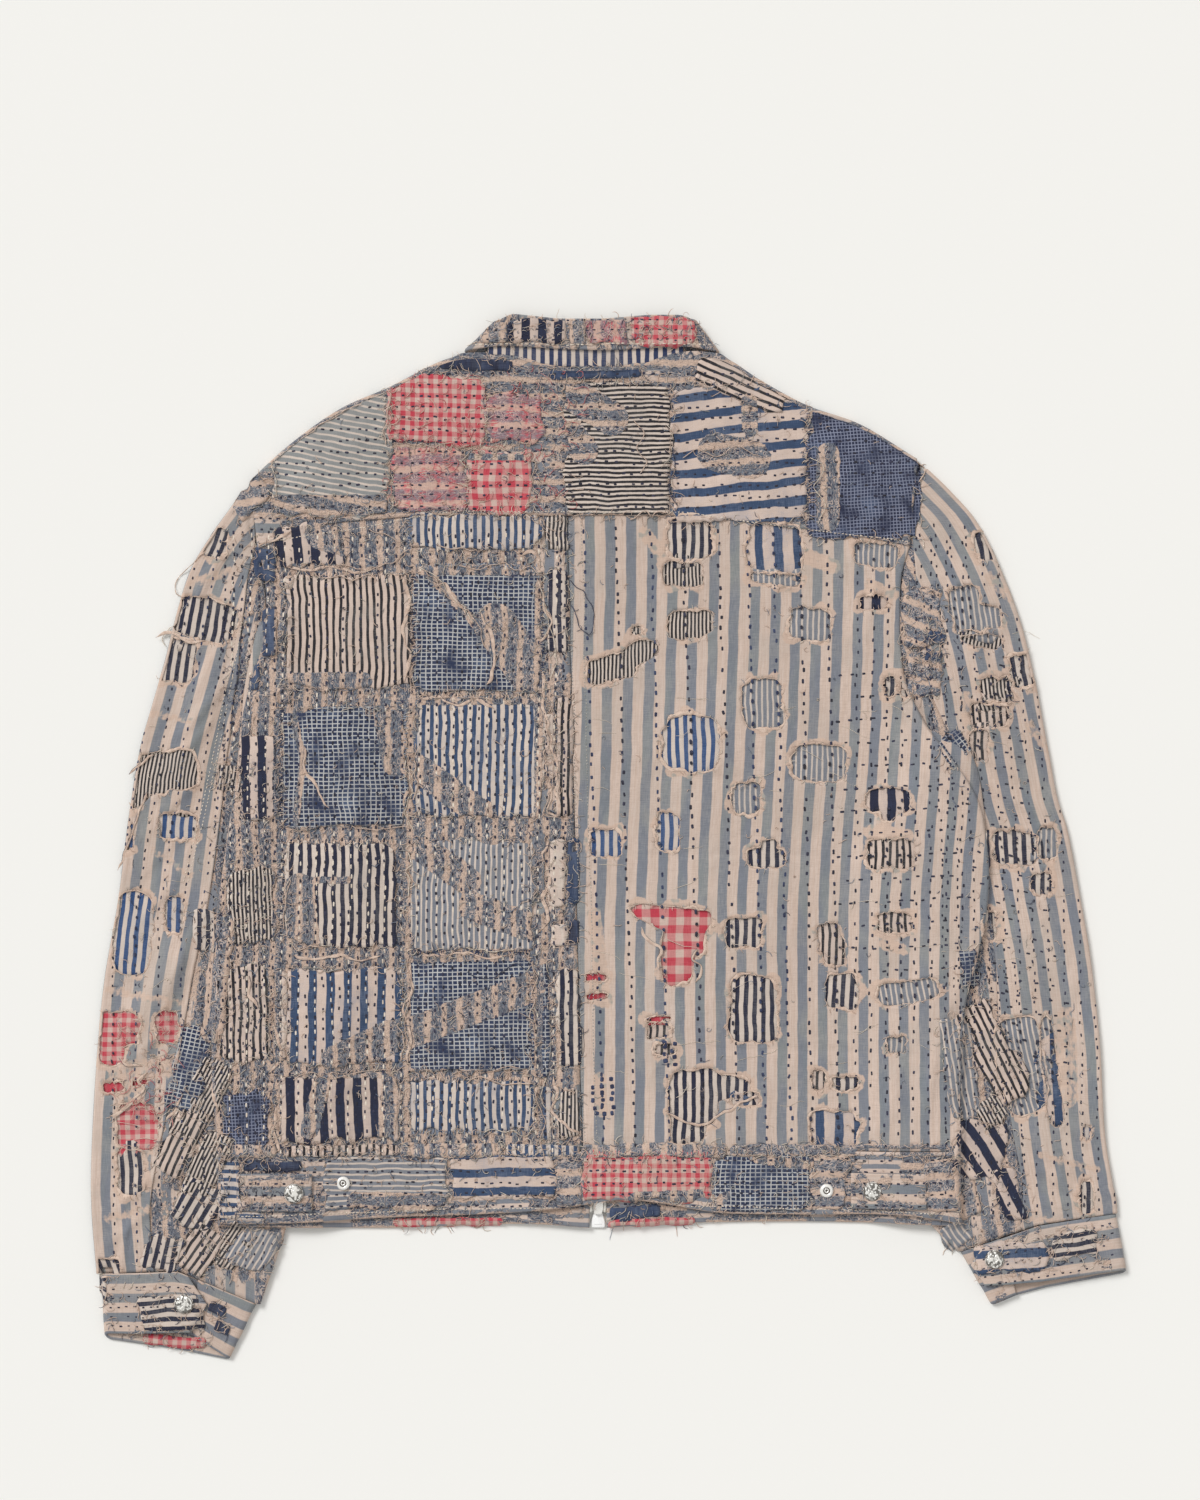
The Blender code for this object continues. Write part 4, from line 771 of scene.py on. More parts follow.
# A patch on top: its two corners, its cloth, the turn of its stripes and its tilt. The first ones are
# CAD nodes.
Patch = namedtuple("Patch", "x0 y0 x1 y1 look turn tilt", defaults=(0, 0))
NAMED_PATCHES = {
    "patch_bars_top": Patch(-262, 213, -210, 246, "navy_bars", 0, 6),
    "patch_blue_top": Patch(-158, 227, -55, 254, "blue_mid"),
    "patch_fine_upper": Patch(-254, 117, -156, 206, "fine_wide", 0, 1),
    "patch_check_upper": Patch(-155, 115, -53, 215, "check", 0, -1),
    "patch_check_mid": Patch(-257, 8, -160, 102, "check", 0, 1),
    "patch_blue_mid": Patch(-153, 17, -51, 111, "blue_mid", 0, -1),
    "patch_dark_mid": Patch(-255, -85, -167, -4, "navy_mid", 0, -1),
    "patch_slate_mid": Patch(-158, -89, -61, -2, "slate"),
    "patch_broad_low": Patch(-254, -178, -164, -103, "blue_broad"),
    "patch_check_low": Patch(-162, -184, -60, -91, "check", 0, 1),
    "patch_bars_low": Patch(-263, -238, -166, -186, "navy_bars", 0, 2),
    "patch_blue_low": Patch(-157, -231, -58, -191, "blue_mid"),
    "patch_slate_shoulder": Patch(-264, 253, -173, 352, "slate_warm", 80),
    "patch_gingham_high": Patch(-176, 311, -98, 365, "gingham", 0, -2),
    "patch_gingham_low": Patch(-111, 256, -60, 305, "gingham_yoke"),
    "patch_fine_yoke": Patch(-35, 254, 48, 358, "fine_yoke", 90),
    "patch_broad_yoke": Patch(50, 249, 156, 356, "blue_yoke", 96),
    "patch_indigo_shoulder": Patch(157, 236, 245, 342, "navy_check", 4),
}
PATCHES = tuple(NAMED_PATCHES.values())
SMALL_PATCHES = table(
    Patch,
    (-172, 258, -114, 308, "rosy", 90), (-96, 312, -52, 350, "rosy", 90), (-280, 204, -263, 229, "denim"),
    (-50, 226, -33, 253, "fine"), (-49, 146, -33, 211, "navy_mid"), (-284, 116, -275, 141, "denim"),
    (-274, 142, -262, 180, "denim", 0, 3), (-262, 197, -249, 207, "cream", 0, -8),
    (-261, 105, -249, 117, "cream"), (-290, 14, -261, 80, "navy_bars", 0, 2), (-51, 47, -43, 98, "cream"),
    (-42, 17, -29, 111, "fine_wide"), (-299, -83, -263, -25, "fine", 0, 2), (-47, -54, -34, -1, "cream"),
    (-33, -52, -24, 0, "denim"), (-63, -50, -51, 6, "slate"), (-46, -86, -33, -69, "cream"),
    (-32, -84, -24, -66, "navy_rag"), (-309, -176, -269, -99, "fine_wide", 0, 1),
    (-264, -175, -254, -104, "cream"), (-41, -181, -23, -104, "navy_mid", 0, 1),
    (-62, -188, -47, -99, "check", 0, 1), (-303, -248, -268, -200, "navy_check", 0, 3),
    (-59, -238, -45, -196, "blue_mid"), (-40, -237, -23, -200, "fine", 0, 1),
    (-47, 362, 26, 371, "denim", 0, 1), (-134, 368, -76, 378, "navy_rag"),
    (66, 346, 140, 374, "fine_wide", 90, -24), (-302, 258, -270, 284, "darned", 60, 38),
)
BAND_PATCHES = table(
    Patch,
    (-306, -304, -272, -294, "blue_mid", 90, 1), (-308, -300, -290, -253, "blue_mid", 90),
    (-289, -262, -242, -254, "navy_rag", 90), (-224, -293, -128, -252, "slate", 90),
    (-126, -284, -44, -250, "blue_yoke", 90, 1), (-42, -290, -20, -252, "darned", 90),
    (-22, -286, 80, -250, "gingham_worn"), (82, -295, 158, -251, "check"),
    (158, -294, 188, -252, "darned", 90), (248, -294, 276, -253, "darned", 90),
    (-171, -307, -84, -300, "gingham"), (0, -301, 40, -290, "denim", 0, 4),
    (-1, -307, 68, -300, "gingham", 0, 2), (-307, -251, -262, -241, "darned"),
    (-258, -250, -166, -242, "fine_wide"), (-164, -252, -84, -241, "darned"),
    (-82, -251, -24, -242, "blue_mid"), (-22, -251, 92, -241.5, "darned"),
    (94, -251, 178, -242, "darned", 90), (180, -250, 276, -241.5, "darned", 90),
)
COLLAR_PATCHES = table(
    Patch,
    (-104, 390, -81, 406, "darned"), (-79, 390, -33, 408, "navy_bars"), (-31, 389, -19, 409, "darned"),
    (-18, 389, 14, 409, "rosy"), (15, 387, 66, 411, "gingham", 0, -1),
)
SLEEVE_PATCHES = table(
    Patch,
    (-309, 37, -292, 57, "fine", 0, -8), (-327, -90, -309, -57, "navy_mid"),
    (-318, -160, -300, -60, "darned", 0, -6), (-344, -216, -318, -150, "check", 0, -12),
    (-336, -240, -308, -172, "fine", 0, -28), (-350, -268, -326, -214, "fine_wide", 0, -24),
    (-330, -284, -306, -232, "fine", 0, -24), (-341, -308, -308, -272, "navy_mid", 0, -30),
    (-366, -343, -338, -316, "navy_mid", 0, -12), (-338, -344, -310, -306, "fine_wide", 0, -34),
    (-308, -340, -286, -304, "fine", 0, -36), (-296, -341, -264, -306, "slate", 0, -30),
    (232, 150, 262, 196, "darned", 62), (236, 112, 262, 148, "darned", 70, 6),
    (250, 154, 264, 163, "denim", 0, -20), (249, 138, 262, 148, "denim", 0, -14),
    (247, 124, 259, 133, "denim", 0, -8), (262, 58, 284, 80, "check", 0, 36),
    (276, -117, 290, -88, "check", 0, 4), (264, -222, 288, -140, "slate", 0, 10),
    (286, -212, 318, -130, "fine_wide", 0, 26), (272, -268, 312, -224, "navy_bars", 50, -16),
    (290, -226, 312, -204, "fine", 0, 30), (307, -302, 325, -260, "navy_bars", 12, 14),
    (272, -300, 290, -256, "darned", 0, 14), (262, -322, 284, -302, "slate", 0, 34),
)
CUFF_PATCHES = table(
    Patch,
    (-371, -388, -322, -360, "navy_mid", 90, 2), (-406, -368, -396, -345, "navy_mid", 70),
    (-368, -402, -318, -393, "gingham", 0, -4), (-316, -376, -302, -368, "navy_rag", 0, -24),
    (-312, -390, -300, -382, "navy_rag", 0, -24), (288, -342, 346, -319, "blue_yoke", 90, 4),
    (348, -331, 384, -311, "navy_mid", 90, 6),
)
# Darned places: a line and how wide the darning is about it
Mend = namedtuple("Mend", "x0 y0 x1 y1 width")
MENDS = table(
    Mend,
    (-227, 240, -160, 222, 26), (-250, 212, -56, 211, 8), (-253, 122, -195, 123, 15),
    (-146, 212, -105, 168, 7), (-90, 168, -56, 120, 34), (-255, 108, -52, 110, 9), (-249, 97, -241, 62, 5),
    (-241, 62, -247, 13, 5), (-175, 98, -168, 60, 22), (-150, 54, -100, 18, 22), (-255, 4, -55, 6, 9),
    (-244, -40, -240, -84, 24), (-245, -33, -205, -33, 5), (-108, -54, -64, -70, 22),
    (-148, -8, -112, -34, 22), (-255, -96, -60, -92, 9), (-215, -176, -170, -156, 26),
    (-160, -155, -62, -118, 24), (-255, -184, -60, -188, 8), (-236, -230, -226, -192, 14),
    (-176, -234, -172, -190, 14), (-160, 20, -160, -240, 6), (-56, 200, -56, -240, 6),
    (-260, 210, -262, -240, 7), (84, 304, 112, 298, 30), (110, 344, 111, 322, 12), (172, 302, 172, 250, 18),
    (-30, 350, 2, 330, 26), (-30, 318, -20, 305, 22), (-110, 300, -66, 300, 5), (-260, 262, -180, 262, 16),
    (-200, -286, -128, -288, 14), (20, -284, 70, -282, 10), (84, -290, 92, -282, 7),
    (116, -253, 158, -258, 7),
)
SLEEVE_MENDS = table(
    Mend,
    (-330, 200, -300, 210, 10), (-372, 100, -330, 92, 8), (-360, -10, -330, -30, 8),
    (-395, -120, -340, -130, 10), (-385, -186, -345, -180, 22), (-350, -290, -395, -300, 10),
    (300, 205, 316, 190, 12), (282, 110, 286, 60, 14), (330, 90, 345, 70, 10), (360, -140, 362, -205, 18),
    (340, -250, 384, -262, 9), (330, -300, 390, -306, 8),
)
BACK_MENDS = table(
    Mend,
    (27, 240, 42, 224, 12), (-12, -60, -4, -130, 12), (150, 224, 176, 214, 14), (190, 238, 232, 236, 10),
    (205, 200, 224, 192, 10), (48, -160, 52, -178, 10), (-8, -190, -6, -215, 12), (205, 5, 234, 2, 12),
    (216, -84, 232, -88, 10),
)


def mended(x, y, mends):
    """How darned the cloth is at a place, from 0 to 1."""
    most = np.zeros(np.shape(x))
    for m in mends:
        ax, ay = m.x1 - m.x0, m.y1 - m.y0
        t = np.clip(((x - m.x0) * ax + (y - m.y0) * ay) / (ax * ax + ay * ay), 0, 1)
        gap = np.hypot(x - m.x0 - t * ax, y - m.y0 - t * ay)
        most = np.maximum(most, smooth((m.width / 2 - gap) / 5 + 0.5))
    return most


def outlines(holes, seed):
    """Each hole's outline about its first row's middle, a little uneven, with that row."""
    groups = []
    for hole in holes:
        if hole.look is None:
            groups[-1].append(hole)
        else:
            groups.append([hole])
    found = []
    reach = np.arange(0, 90, 0.5)
    around = np.linspace(0, 2 * math.pi, 72, endpoint=False)
    ways = np.stack([np.cos(around), np.sin(around)])
    for number, group in enumerate(groups):
        first = group[0]
        x = first.x + ways[0][:, None] * reach
        y = first.y + ways[1][:, None] * reach
        inside = np.zeros(x.shape, bool)
        for lobe in group:
            c, s = cos_sin(lobe.tilt)
            a = ((x - lobe.x) * c + (y - lobe.y) * s) / (lobe.width / 2)
            b = (-(x - lobe.x) * s + (y - lobe.y) * c) / (lobe.height / 2)
            inside |= np.abs(a) ** 5 + np.abs(b) ** 5 < 1
        radius = reach[np.argmin(inside, axis=1)]
        radius = (2 * radius + np.roll(radius, 1) + np.roll(radius, -1)) / 4
        small = min(first.width, first.height) / 2
        uneven = 0.0
        for strength, size, shift in ((0.13 * small, 5, 0), (1.3, 1.7, 90), (0.6, 0.8, 50)):
            uneven = uneven + strength * noise(*(ways * 9), size, seed + shift + number)
        radius = np.maximum(radius + uneven, 1.5)
        found.append((np.stack([first.x + radius * ways[0], first.y + radius * ways[1]], 1), first))
    return found


def within(x, y, ring):
    """Whether places lie inside an outline."""
    inside = np.zeros(np.shape(x), bool)
    for (ax, ay), (bx, by) in zip(ring, np.roll(ring, -1, axis=0), strict=True):
        crosses = (ay > y) != (by > y)
        if ay != by:
            inside ^= crosses & (x < ax + (bx - ax) * (y - ay) / (by - ay))
    return inside


def hole_gap(x, y, rings):
    """How far each place is from the nearest hole's edge."""
    nearest = np.full(np.shape(x), 99.0)
    for ring, _ in rings:
        low, high = ring.min(0) - 14, ring.max(0) + 14
        near = (x > low[0]) & (x < high[0]) & (y > low[1]) & (y < high[1])
        if near.any():
            gap = np.hypot(x[near][:, None] - ring[:, 0], y[near][:, None] - ring[:, 1]).min(1)
            nearest[near] = np.minimum(nearest[near], gap)
    return nearest


def rim_lift(x, y, rings):
    """Round each hole the torn cloth stands up a little."""
    return (0.45 + 0.5 * noise(x, y, 8, 77)) * np.exp(-((hole_gap(x, y, rings) / 3.5) ** 2))


def bareness(x, y, rings):
    """How bare the cloth is worn round the holes."""
    return 0.95 * smooth((5.0 + 5.0 * noise(x, y, 12, 78) - hole_gap(x, y, rings)) / 5.0)


# ---------------------------------------------------------------- panels
def declare(piece, node_names, area, cut):
    """What a sheet rides on and stands for; its flat size is worked out and not kept."""
    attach(piece, "jacket")
    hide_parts(*node_names)
    width, length = (max(float(np.ptp(cut[:, k])) * MM, 0.012) for k in (0, 1))
    area = min(area, width * length)


def lay(name, grid, look, node, slot, on, up=True, rings=(), upper=None, wall=WALL, **amounts):
    """A panel of thin cloth from its grid of places, with its holes cut out."""
    x, y, z, u, v = (np.broadcast_to(a, grid[0].shape).astype(float) for a in grid)
    points = np.stack([x, y, z], -1).reshape(-1, 3)
    cut = np.stack([u, v], -1).reshape(-1, 2)
    faces = quads(*x.shape)
    tall = points[faces][:, :, 2].mean(1)
    top = tall >= np.percentile(tall, 60) if up else tall <= np.percentile(tall, 40)
    a, b = points[faces[:, 2]] - points[faces[:, 0]], points[faces[:, 3]] - points[faces[:, 1]]
    facing = np.cross(a, b)[top][:, 2].mean()
    if (facing > 0) != up:
        faces = faces[:, ::-1]
    area = area_of(points, faces)
    if up:
        shells.add(points, faces)
    keep = np.ones(len(faces), bool)
    if rings:
        points = points.copy()
        keep = cut_holes(points, faces, rings, np.broadcast_to(upper, x.shape))
    amounts = {key: np.broadcast_to(value, x.shape).reshape(-1) for key, value in amounts.items()}
    piece = build(name, points, faces[keep], [LOOKS[look]], cut, **amounts)
    thicken(piece, wall)
    declare(piece, [node], area, cut)


def cut_holes(points, faces, rings, upper):
    """The faces left when the holes are cut, with the points beside each hole drawn to its outline."""
    keep = np.ones(len(faces), bool)
    may = upper.reshape(-1)[faces].all(1)
    middle = points[faces].mean(1)
    for ring, _ in rings:
        low, high = ring.min(0), ring.max(0)
        near = may & (middle[:, :2] > low).all(1) & (middle[:, :2] < high).all(1)
        inside = np.zeros(len(faces), bool)
        inside[near] = within(middle[near, 0], middle[near, 1], ring)
        edge = np.intersect1d(np.unique(faces[inside]), np.unique(faces[~inside & keep]))
        keep &= ~inside
        if len(edge):
            fine = np.vstack([mix(ring, np.roll(ring, -1, axis=0), t) for t in (0, 0.25, 0.5, 0.75)])
            gap = np.hypot(points[edge, 0][:, None] - fine[:, 0], points[edge, 1][:, None] - fine[:, 1])
            close = gap.min(1) < 2.4
            points[edge[close], :2] = fine[gap.argmin(1)[close]]
    return keep


def back_lean(y):
    """Where the striped cloth's first stripe lies, and how wide its repeat has stayed."""
    start = np.interp(y, (-210, -150, -90, 0, 100, 190), (-8.3, -8.3, -7.7, -5.6, -2.0, 1.1))
    return start, np.interp(y, (-210, -50, 0, 45, 100, 190), (16.0, 15.9, 16.05, 16.2, 16.3, 16.27))


def striped_u(x, y):
    start, repeat = back_lean(y)
    return (x - start) / repeat * REPEAT + 4 + 160 + 0.7 * noise(x, y, 60, 5)


def patchy(base, strength, size, seed):
    """Darning that comes and goes over the cloth."""
    return lambda x, y: base + strength * noise(x, y, size, seed)


def joined(axis, *grids):
    """Grids of (x, y, z), joined side by side or one above the other."""
    return [np.concatenate(parts, axis) for parts in zip(*grids, strict=True)]


def back_panel(side, rings):
    """Half of the back: from the centre seam out to its edge, and turned over that to the front."""
    out = OUTWARD[side]
    rows, columns = (186, 108) if side == "right" else (132, 78)
    share = np.linspace(0, 1, rows)[:, None]
    centre = body_edge("centre", mix(WAIST_Y, 254.0, share)) + out * 0.2
    edge_y = mix(WAIST_Y, YOKE_ENDS[side], share)
    edge = body_edge(side, edge_y) - out * TURN
    x = mix(centre, edge, np.linspace(0, 1, columns)[None, :])
    y = mix(WAIST_Y + 0.2, on_edge(YOKE_SEAM, x) + 1.0, share)
    groove = np.exp(-(((x - centre) * out / 3.0) ** 2)) * 0.7
    z = back_top(x, y) + rim_lift(x, y, rings) - groove
    under = smooth((UNDERARM[side] - edge_y) / 30)
    low = mix(4.4, rise(edge, edge_y) + 0.6, under)
    full = mix(math.pi / 2, math.pi, under)
    angle = np.linspace(0, 1, 10)[None, 1:] * full
    turn_x = edge + out * TURN * np.sin(angle)
    turn_z = mix(z[:, -1:], low, (1 - np.cos(angle)) / (1 - np.cos(full)))
    turn_y = np.broadcast_to(y[:, -1:], turn_x.shape)
    xs, ys, zs = joined(1, (x, y, z), (turn_x, turn_y, turn_z))
    us = striped_u(np.hstack([x, x[:, -1:] + out * TURN * angle]), ys)
    amounts = {"bare": np.maximum(bareness(xs, ys, rings), 0.8 * mended(xs, ys, BACK_MENDS))}
    look, slot = "main", "striped_cotton"
    if side == "left":
        look, slot = "patchwork", "patchwork_cotton"
        amounts["mend"] = np.maximum(patchy(0.55, 0.45, 26, 61)(xs, ys), smooth((-60 - xs) / 20) * 0.75)
    lay(f"cloth_back_{side}", (xs, ys, zs, us, ys), look, f"back_{side}", slot,
        [f"front_{side}", f"sleeve_{side}_under"], rings=rings, upper=np.arange(xs.shape[1]) < columns,
        **amounts)


def yoke_panel():
    """The yoke, turned over at the shoulders and laid against the collar's stand at the neck."""
    share = np.linspace(0, 1, 42)[:, None]
    column = np.linspace(0, 1, 194)[None, :]
    x = mix(-277.6 - 6 * share, 236.6 + 6 * share, column)
    low = on_edge(YOKE_SEAM, x) - 1.0
    at_neck = smooth((x - NECK[0] + 6) / 8) * smooth((NECK[1] + 6 - x) / 8)
    high = on_edge(SHOULDERS_AND_NECK, x) - TURN * (1 - at_neck)
    y = mix(low, high, share)
    z = back_top(x, y) + 1.0 * np.exp(-((y - low) / 3.0) ** 2) + 0.25
    at_neck = at_neck[-1:]
    angle = np.linspace(0, 1, 10)[1:, None] * mix(math.pi, 0.25, at_neck)
    turn_x = np.broadcast_to(x[-1:], angle.shape)
    turn_y = y[-1:] + TURN * np.sin(angle) * (1 - at_neck) + at_neck * np.linspace(0.1, 1.5, 9)[:, None]
    turn_z = mix(z[-1:], 0.6, (1 - np.cos(angle)) / 2 * (1 - at_neck))
    xs, ys, zs = joined(0, (x, y, z), (turn_x, turn_y, turn_z))
    vs = np.vstack([y, y[-1:] + TURN * angle])
    lay("cloth_yoke", (xs, ys, zs, vs, xs), "patchwork", "back_yoke", "patchwork_cotton",
        ["front_left", "front_right"], mend=patchy(0.62, 0.4, 30, 63)(xs, ys))


def front_panel(side):
    """Half of the front, plain, with its outer face down."""
    out = OUTWARD[side]
    share = np.linspace(0, 1, 76)[:, None]
    edge_y = mix(WAIST_Y, YOKE_ENDS[side], np.clip(share * 1.02, 0, 1))
    edge = body_edge(side, edge_y) - out * (TURN - 0.5)
    x = mix(ZIP_X + out * ZIP_EDGE, edge, np.linspace(0, 1, 44)[None, :])
    inside = (x > NECK[0]) & (x < NECK[1])
    shoulder = on_edge(SHOULDERS_AND_NECK, np.clip(x, -283, 245)) - TURN
    y = mix(WAIST_Y + 0.2, np.where(inside, on_edge(FRONT_NECK, x), shoulder), share)
    z = rise(x, y) + 0.35 + 0.25 * noise(x, y, 20, 71)
    lay(f"cloth_front_{side}", (x, y, z, striped_u(x, y), y), "main", f"front_{side}", "striped_cotton",
        ["Floor"], up=False)


def sleeve_table(side, count):
    """Rows of the sleeve, evenly spaced from its head to its cuff on a smooth curve through the table's."""
    given = np.array(SLEEVES[side], float)
    given[:ARMHOLE_ROWS[side] + 1, 2] -= OUTWARD[side] * 3.5
    slopes = np.gradient(given, axis=0)

    def at(places):
        k = np.minimum(places.astype(int), len(given) - 2)
        t = (places - k)[:, None]
        rows = (2 * t**3 - 3 * t**2 + 1) * given[k] + (3 * t**2 - 2 * t**3) * given[k + 1]
        return rows + (t**3 - 2 * t**2 + t) * slopes[k] + (t**3 - t**2) * slopes[k + 1]

    dense = np.linspace(0, len(given) - 1, 800)
    rows = at(dense)
    run = lengths((rows[:, 0:2] + rows[:, 2:4]) / 2)
    even = np.linspace(0, run[-1], count)
    places = np.interp(even, run, dense)
    return at(places), even, places


def across_row(rows, share):
    """Places along each row, at a share of the way from its outer end to its inner end."""
    x = mix(rows[:, 0:1], rows[:, 2:3], share)
    y = mix(rows[:, 1:2], rows[:, 3:4], share) + rows[:, 5:6] * (1 - np.abs(2 * share - 1))
    return x, y


def sleeve_panels(side, rings):
    """The sleeve's two pieces: each from the seam over the top, round its edge, and back below."""
    rows, run, places = sleeve_table(side, 190)
    width = np.hypot(rows[:, 0] - rows[:, 2], rows[:, 1] - rows[:, 3])[:, None]
    room, reach, low = 2.6, 2.4, 1.0
    seam = np.minimum(rows[:, 4:5], 1.0)
    armhole = smooth((ARMHOLE_ROWS[side] + 0.6 - places) / 0.8)[:, None]
    offset = 168 if side == "left" else 172
    angle = np.linspace(0, math.pi, 8)[None, 1:]

    def at_armhole(share):
        return 1.5 * armhole * smooth((share * width - width + 8) / 5)

    def wrapped(x, y, z, share, back, way, far):
        turn_x = x[:, -1:] - way * OUTWARD[side] * reach * np.sin(angle)
        turn_z = mix(z[:, -1:], low, (1 - np.cos(angle)) / 2)
        turn_y = np.broadcast_to(y[:, -1:], turn_x.shape)
        low_x, low_y = across_row(rows, back)
        below = (low_x, low_y, np.full(low_x.shape, low))
        u = np.hstack([share * width, share[:, -1:] * width + way * reach * angle, (far - back) * width])
        return *joined(1, (x, y, z), (turn_x, turn_y, turn_z), below), u + offset, run[:, None] + 0 * u

    start = np.minimum(seam + 0.012, 0.999)
    share = mix(room / width, start, np.linspace(1, 0, 44)[None, :])
    x, y = across_row(rows, share)
    hem = 0.8 * np.exp(-(((start - share) * width / 2.5) ** 2)) * smooth((0.9 - seam) / 0.1)
    z = sleeve_top(side, x, y) + rim_lift(x, y, rings) - at_armhole(share) + hem
    back = mix(room / width, start, np.linspace(0.06, 1, 9)[None, :])
    grid = wrapped(x, y, z, share, back, -1, 0)
    xs, ys, zs = grid[:3]
    bare = np.maximum(bareness(xs, ys, rings), 0.6 * mended(xs, ys, SLEEVE_MENDS)) * (zs > 3)
    lay(f"cloth_sleeve_{side}_outer", grid, "main", f"sleeve_{side}_outer", "striped_cotton", ["Floor"],
        rings=rings, upper=np.arange(xs.shape[1]) < x.shape[1], bare=bare)

    use = places >= 2.2
    rows, run, width, seam, armhole = rows[use], run[use], width[use], seam[use], armhole[use]
    start = np.minimum(seam, 0.985)
    share = mix(start, 1 - room / width, np.linspace(0, 1, 34)[None, :])
    x, y = across_row(rows, share)
    groove = 0.5 * np.exp(-(((share - seam) * width / 4) ** 2))
    z = sleeve_top(side, x, y) - groove - at_armhole(share)
    back = mix(1 - room / width, start, np.linspace(0.06, 1, 11)[None, :])
    grid = wrapped(x, y, z, share, back, 1, 2)
    lay(f"cloth_sleeve_{side}_under", grid, "patchwork", f"sleeve_{side}_under", "patchwork_cotton",
        ["Floor"], mend=patchy(0.55, 0.45, 24, 67)(*grid[:2]))


# ---------------------------------------------------------------- bands: folded double, with soft edges
def turn_lines(start, end, direction):
    """Lines round a fold, from one layer's last line to the next layer's first."""
    radius = abs(start[0][2] - end[0][2]) / 2
    lines = []
    for angle in np.linspace(0, math.pi, 9)[1:-1]:
        share = (1 - math.cos(angle)) / 2
        reach = direction * radius * math.sin(angle)
        edges = []
        for a, b in zip(start[:2], end[:2], strict=True):
            x, y, z = (mix(p, q, share) for p, q in zip(a, b, strict=True))
            edges.append((x + reach, y, z))
        lines.append((*edges, 0.0))
    return lines


def swollen(distance):
    """How full an edge is at a distance from it: 0 to 1 along a quarter of a circle."""
    return np.sqrt(1 - (1 - np.clip(distance / 1.4, 0.03, 1)) ** 2)


def spaced(total, least):
    """Distances along a band: close together at its ends, and even between them."""
    ends = np.array([0.0, 0.35, 1.0])
    even = np.linspace(1.8, total - 1.8, max(int(total / 2.6), least))
    return np.concatenate([ends, even, total - ends[::-1]])


def band(name, lines, thick, look, node, slot, on, mend=None, soften=3, lumps=0.35, shift=0.0,
         upright=False):
    """A closed band through lines from its lower to its upper edge, puckered, its edges rounded."""
    low = np.array([a for a, _, _ in lines], float)
    high = np.array([b for _, b, _ in lines], float)
    bow = np.array([c for _, _, c in lines], float)
    run = np.concatenate([[0], np.cumsum(np.linalg.norm(np.diff((low + high) / 2, axis=0), axis=1))])
    along = spaced(run[-1], 4)
    low, high = (np.stack([np.interp(along, run, a[:, k]) for k in range(3)], 1) for a in (low, high))
    bow = np.interp(along, run, bow)
    for _ in range(soften):
        for edge in (low, high):
            edge[1:-1] = (edge[:-2] + 2 * edge[1:-1] + edge[2:]) / 4
    tall = float(np.linalg.norm(high - low, axis=1).mean())
    cross = spaced(tall, 3)
    share = (cross / tall)[:, None, None]
    grid = low[None] + (high - low)[None] * share
    grid[:, :, 0] += bow[None] * (1 - np.abs(2 * share[:, :, 0] - 1))
    normal = units(np.cross(np.gradient(grid, axis=1), np.gradient(grid, axis=0)))
    peak = np.unravel_index(np.argmax(grid[:, :, 2]), grid.shape[:2])
    if normal[peak][2] < 0:
        normal = -normal
    from_end = np.minimum(along, run[-1] - along)[None, :]
    swell = swollen(np.minimum(np.minimum(cross, tall - cross)[:, None], from_end))[:, :, None]
    x, y = grid[:, :, 0], grid[:, :, 1]
    rough = lumps * (noise(x, y, 7, 81) + 0.7 * noise(x, y, 13, 82))[:, :, None]
    upper = grid + normal * (thick / 2 * swell + rough)
    lower = grid - normal * thick / 2 * swell
    count = x.size
    face = quads(*x.shape)
    index = np.arange(count).reshape(x.shape)
    border = np.concatenate([index[0, :-1], index[:-1, -1], index[-1, :0:-1], index[:0:-1, 0]])
    after = np.roll(border, -1)
    sides = np.stack([border, after, after + count, border + count], 1)
    points = np.vstack([upper.reshape(-1, 3), lower.reshape(-1, 3)])
    points[:, 2] = np.maximum(points[:, 2], 0.02)
    faces = np.vstack([face, (face + count)[:, ::-1], sides[:, ::-1]])
    a, b = points[face[:, 2]] - points[face[:, 0]], points[face[:, 3]] - points[face[:, 1]]
    if (np.cross(a, b) * normal.reshape(-1, 3)[face[:, 0]]).sum() < 0:
        faces = faces[:, ::-1]
    u, v = np.broadcast_to(cross[:, None] + shift, x.shape), np.broadcast_to(along[None, :], x.shape)
    if upright:
        u, v = v, u
    cut = np.tile(np.stack([u, v], -1).reshape(-1, 2), (2, 1))
    amount = np.zeros(2 * count) if mend is None else np.tile(mend(x, y).reshape(-1), 2)
    piece = build(name, points, faces, [LOOKS[look]], cut, mend=amount)
    shells.add(points, faces)
    declare(piece, [node], area_of(points, faces[:len(face)]), cut)


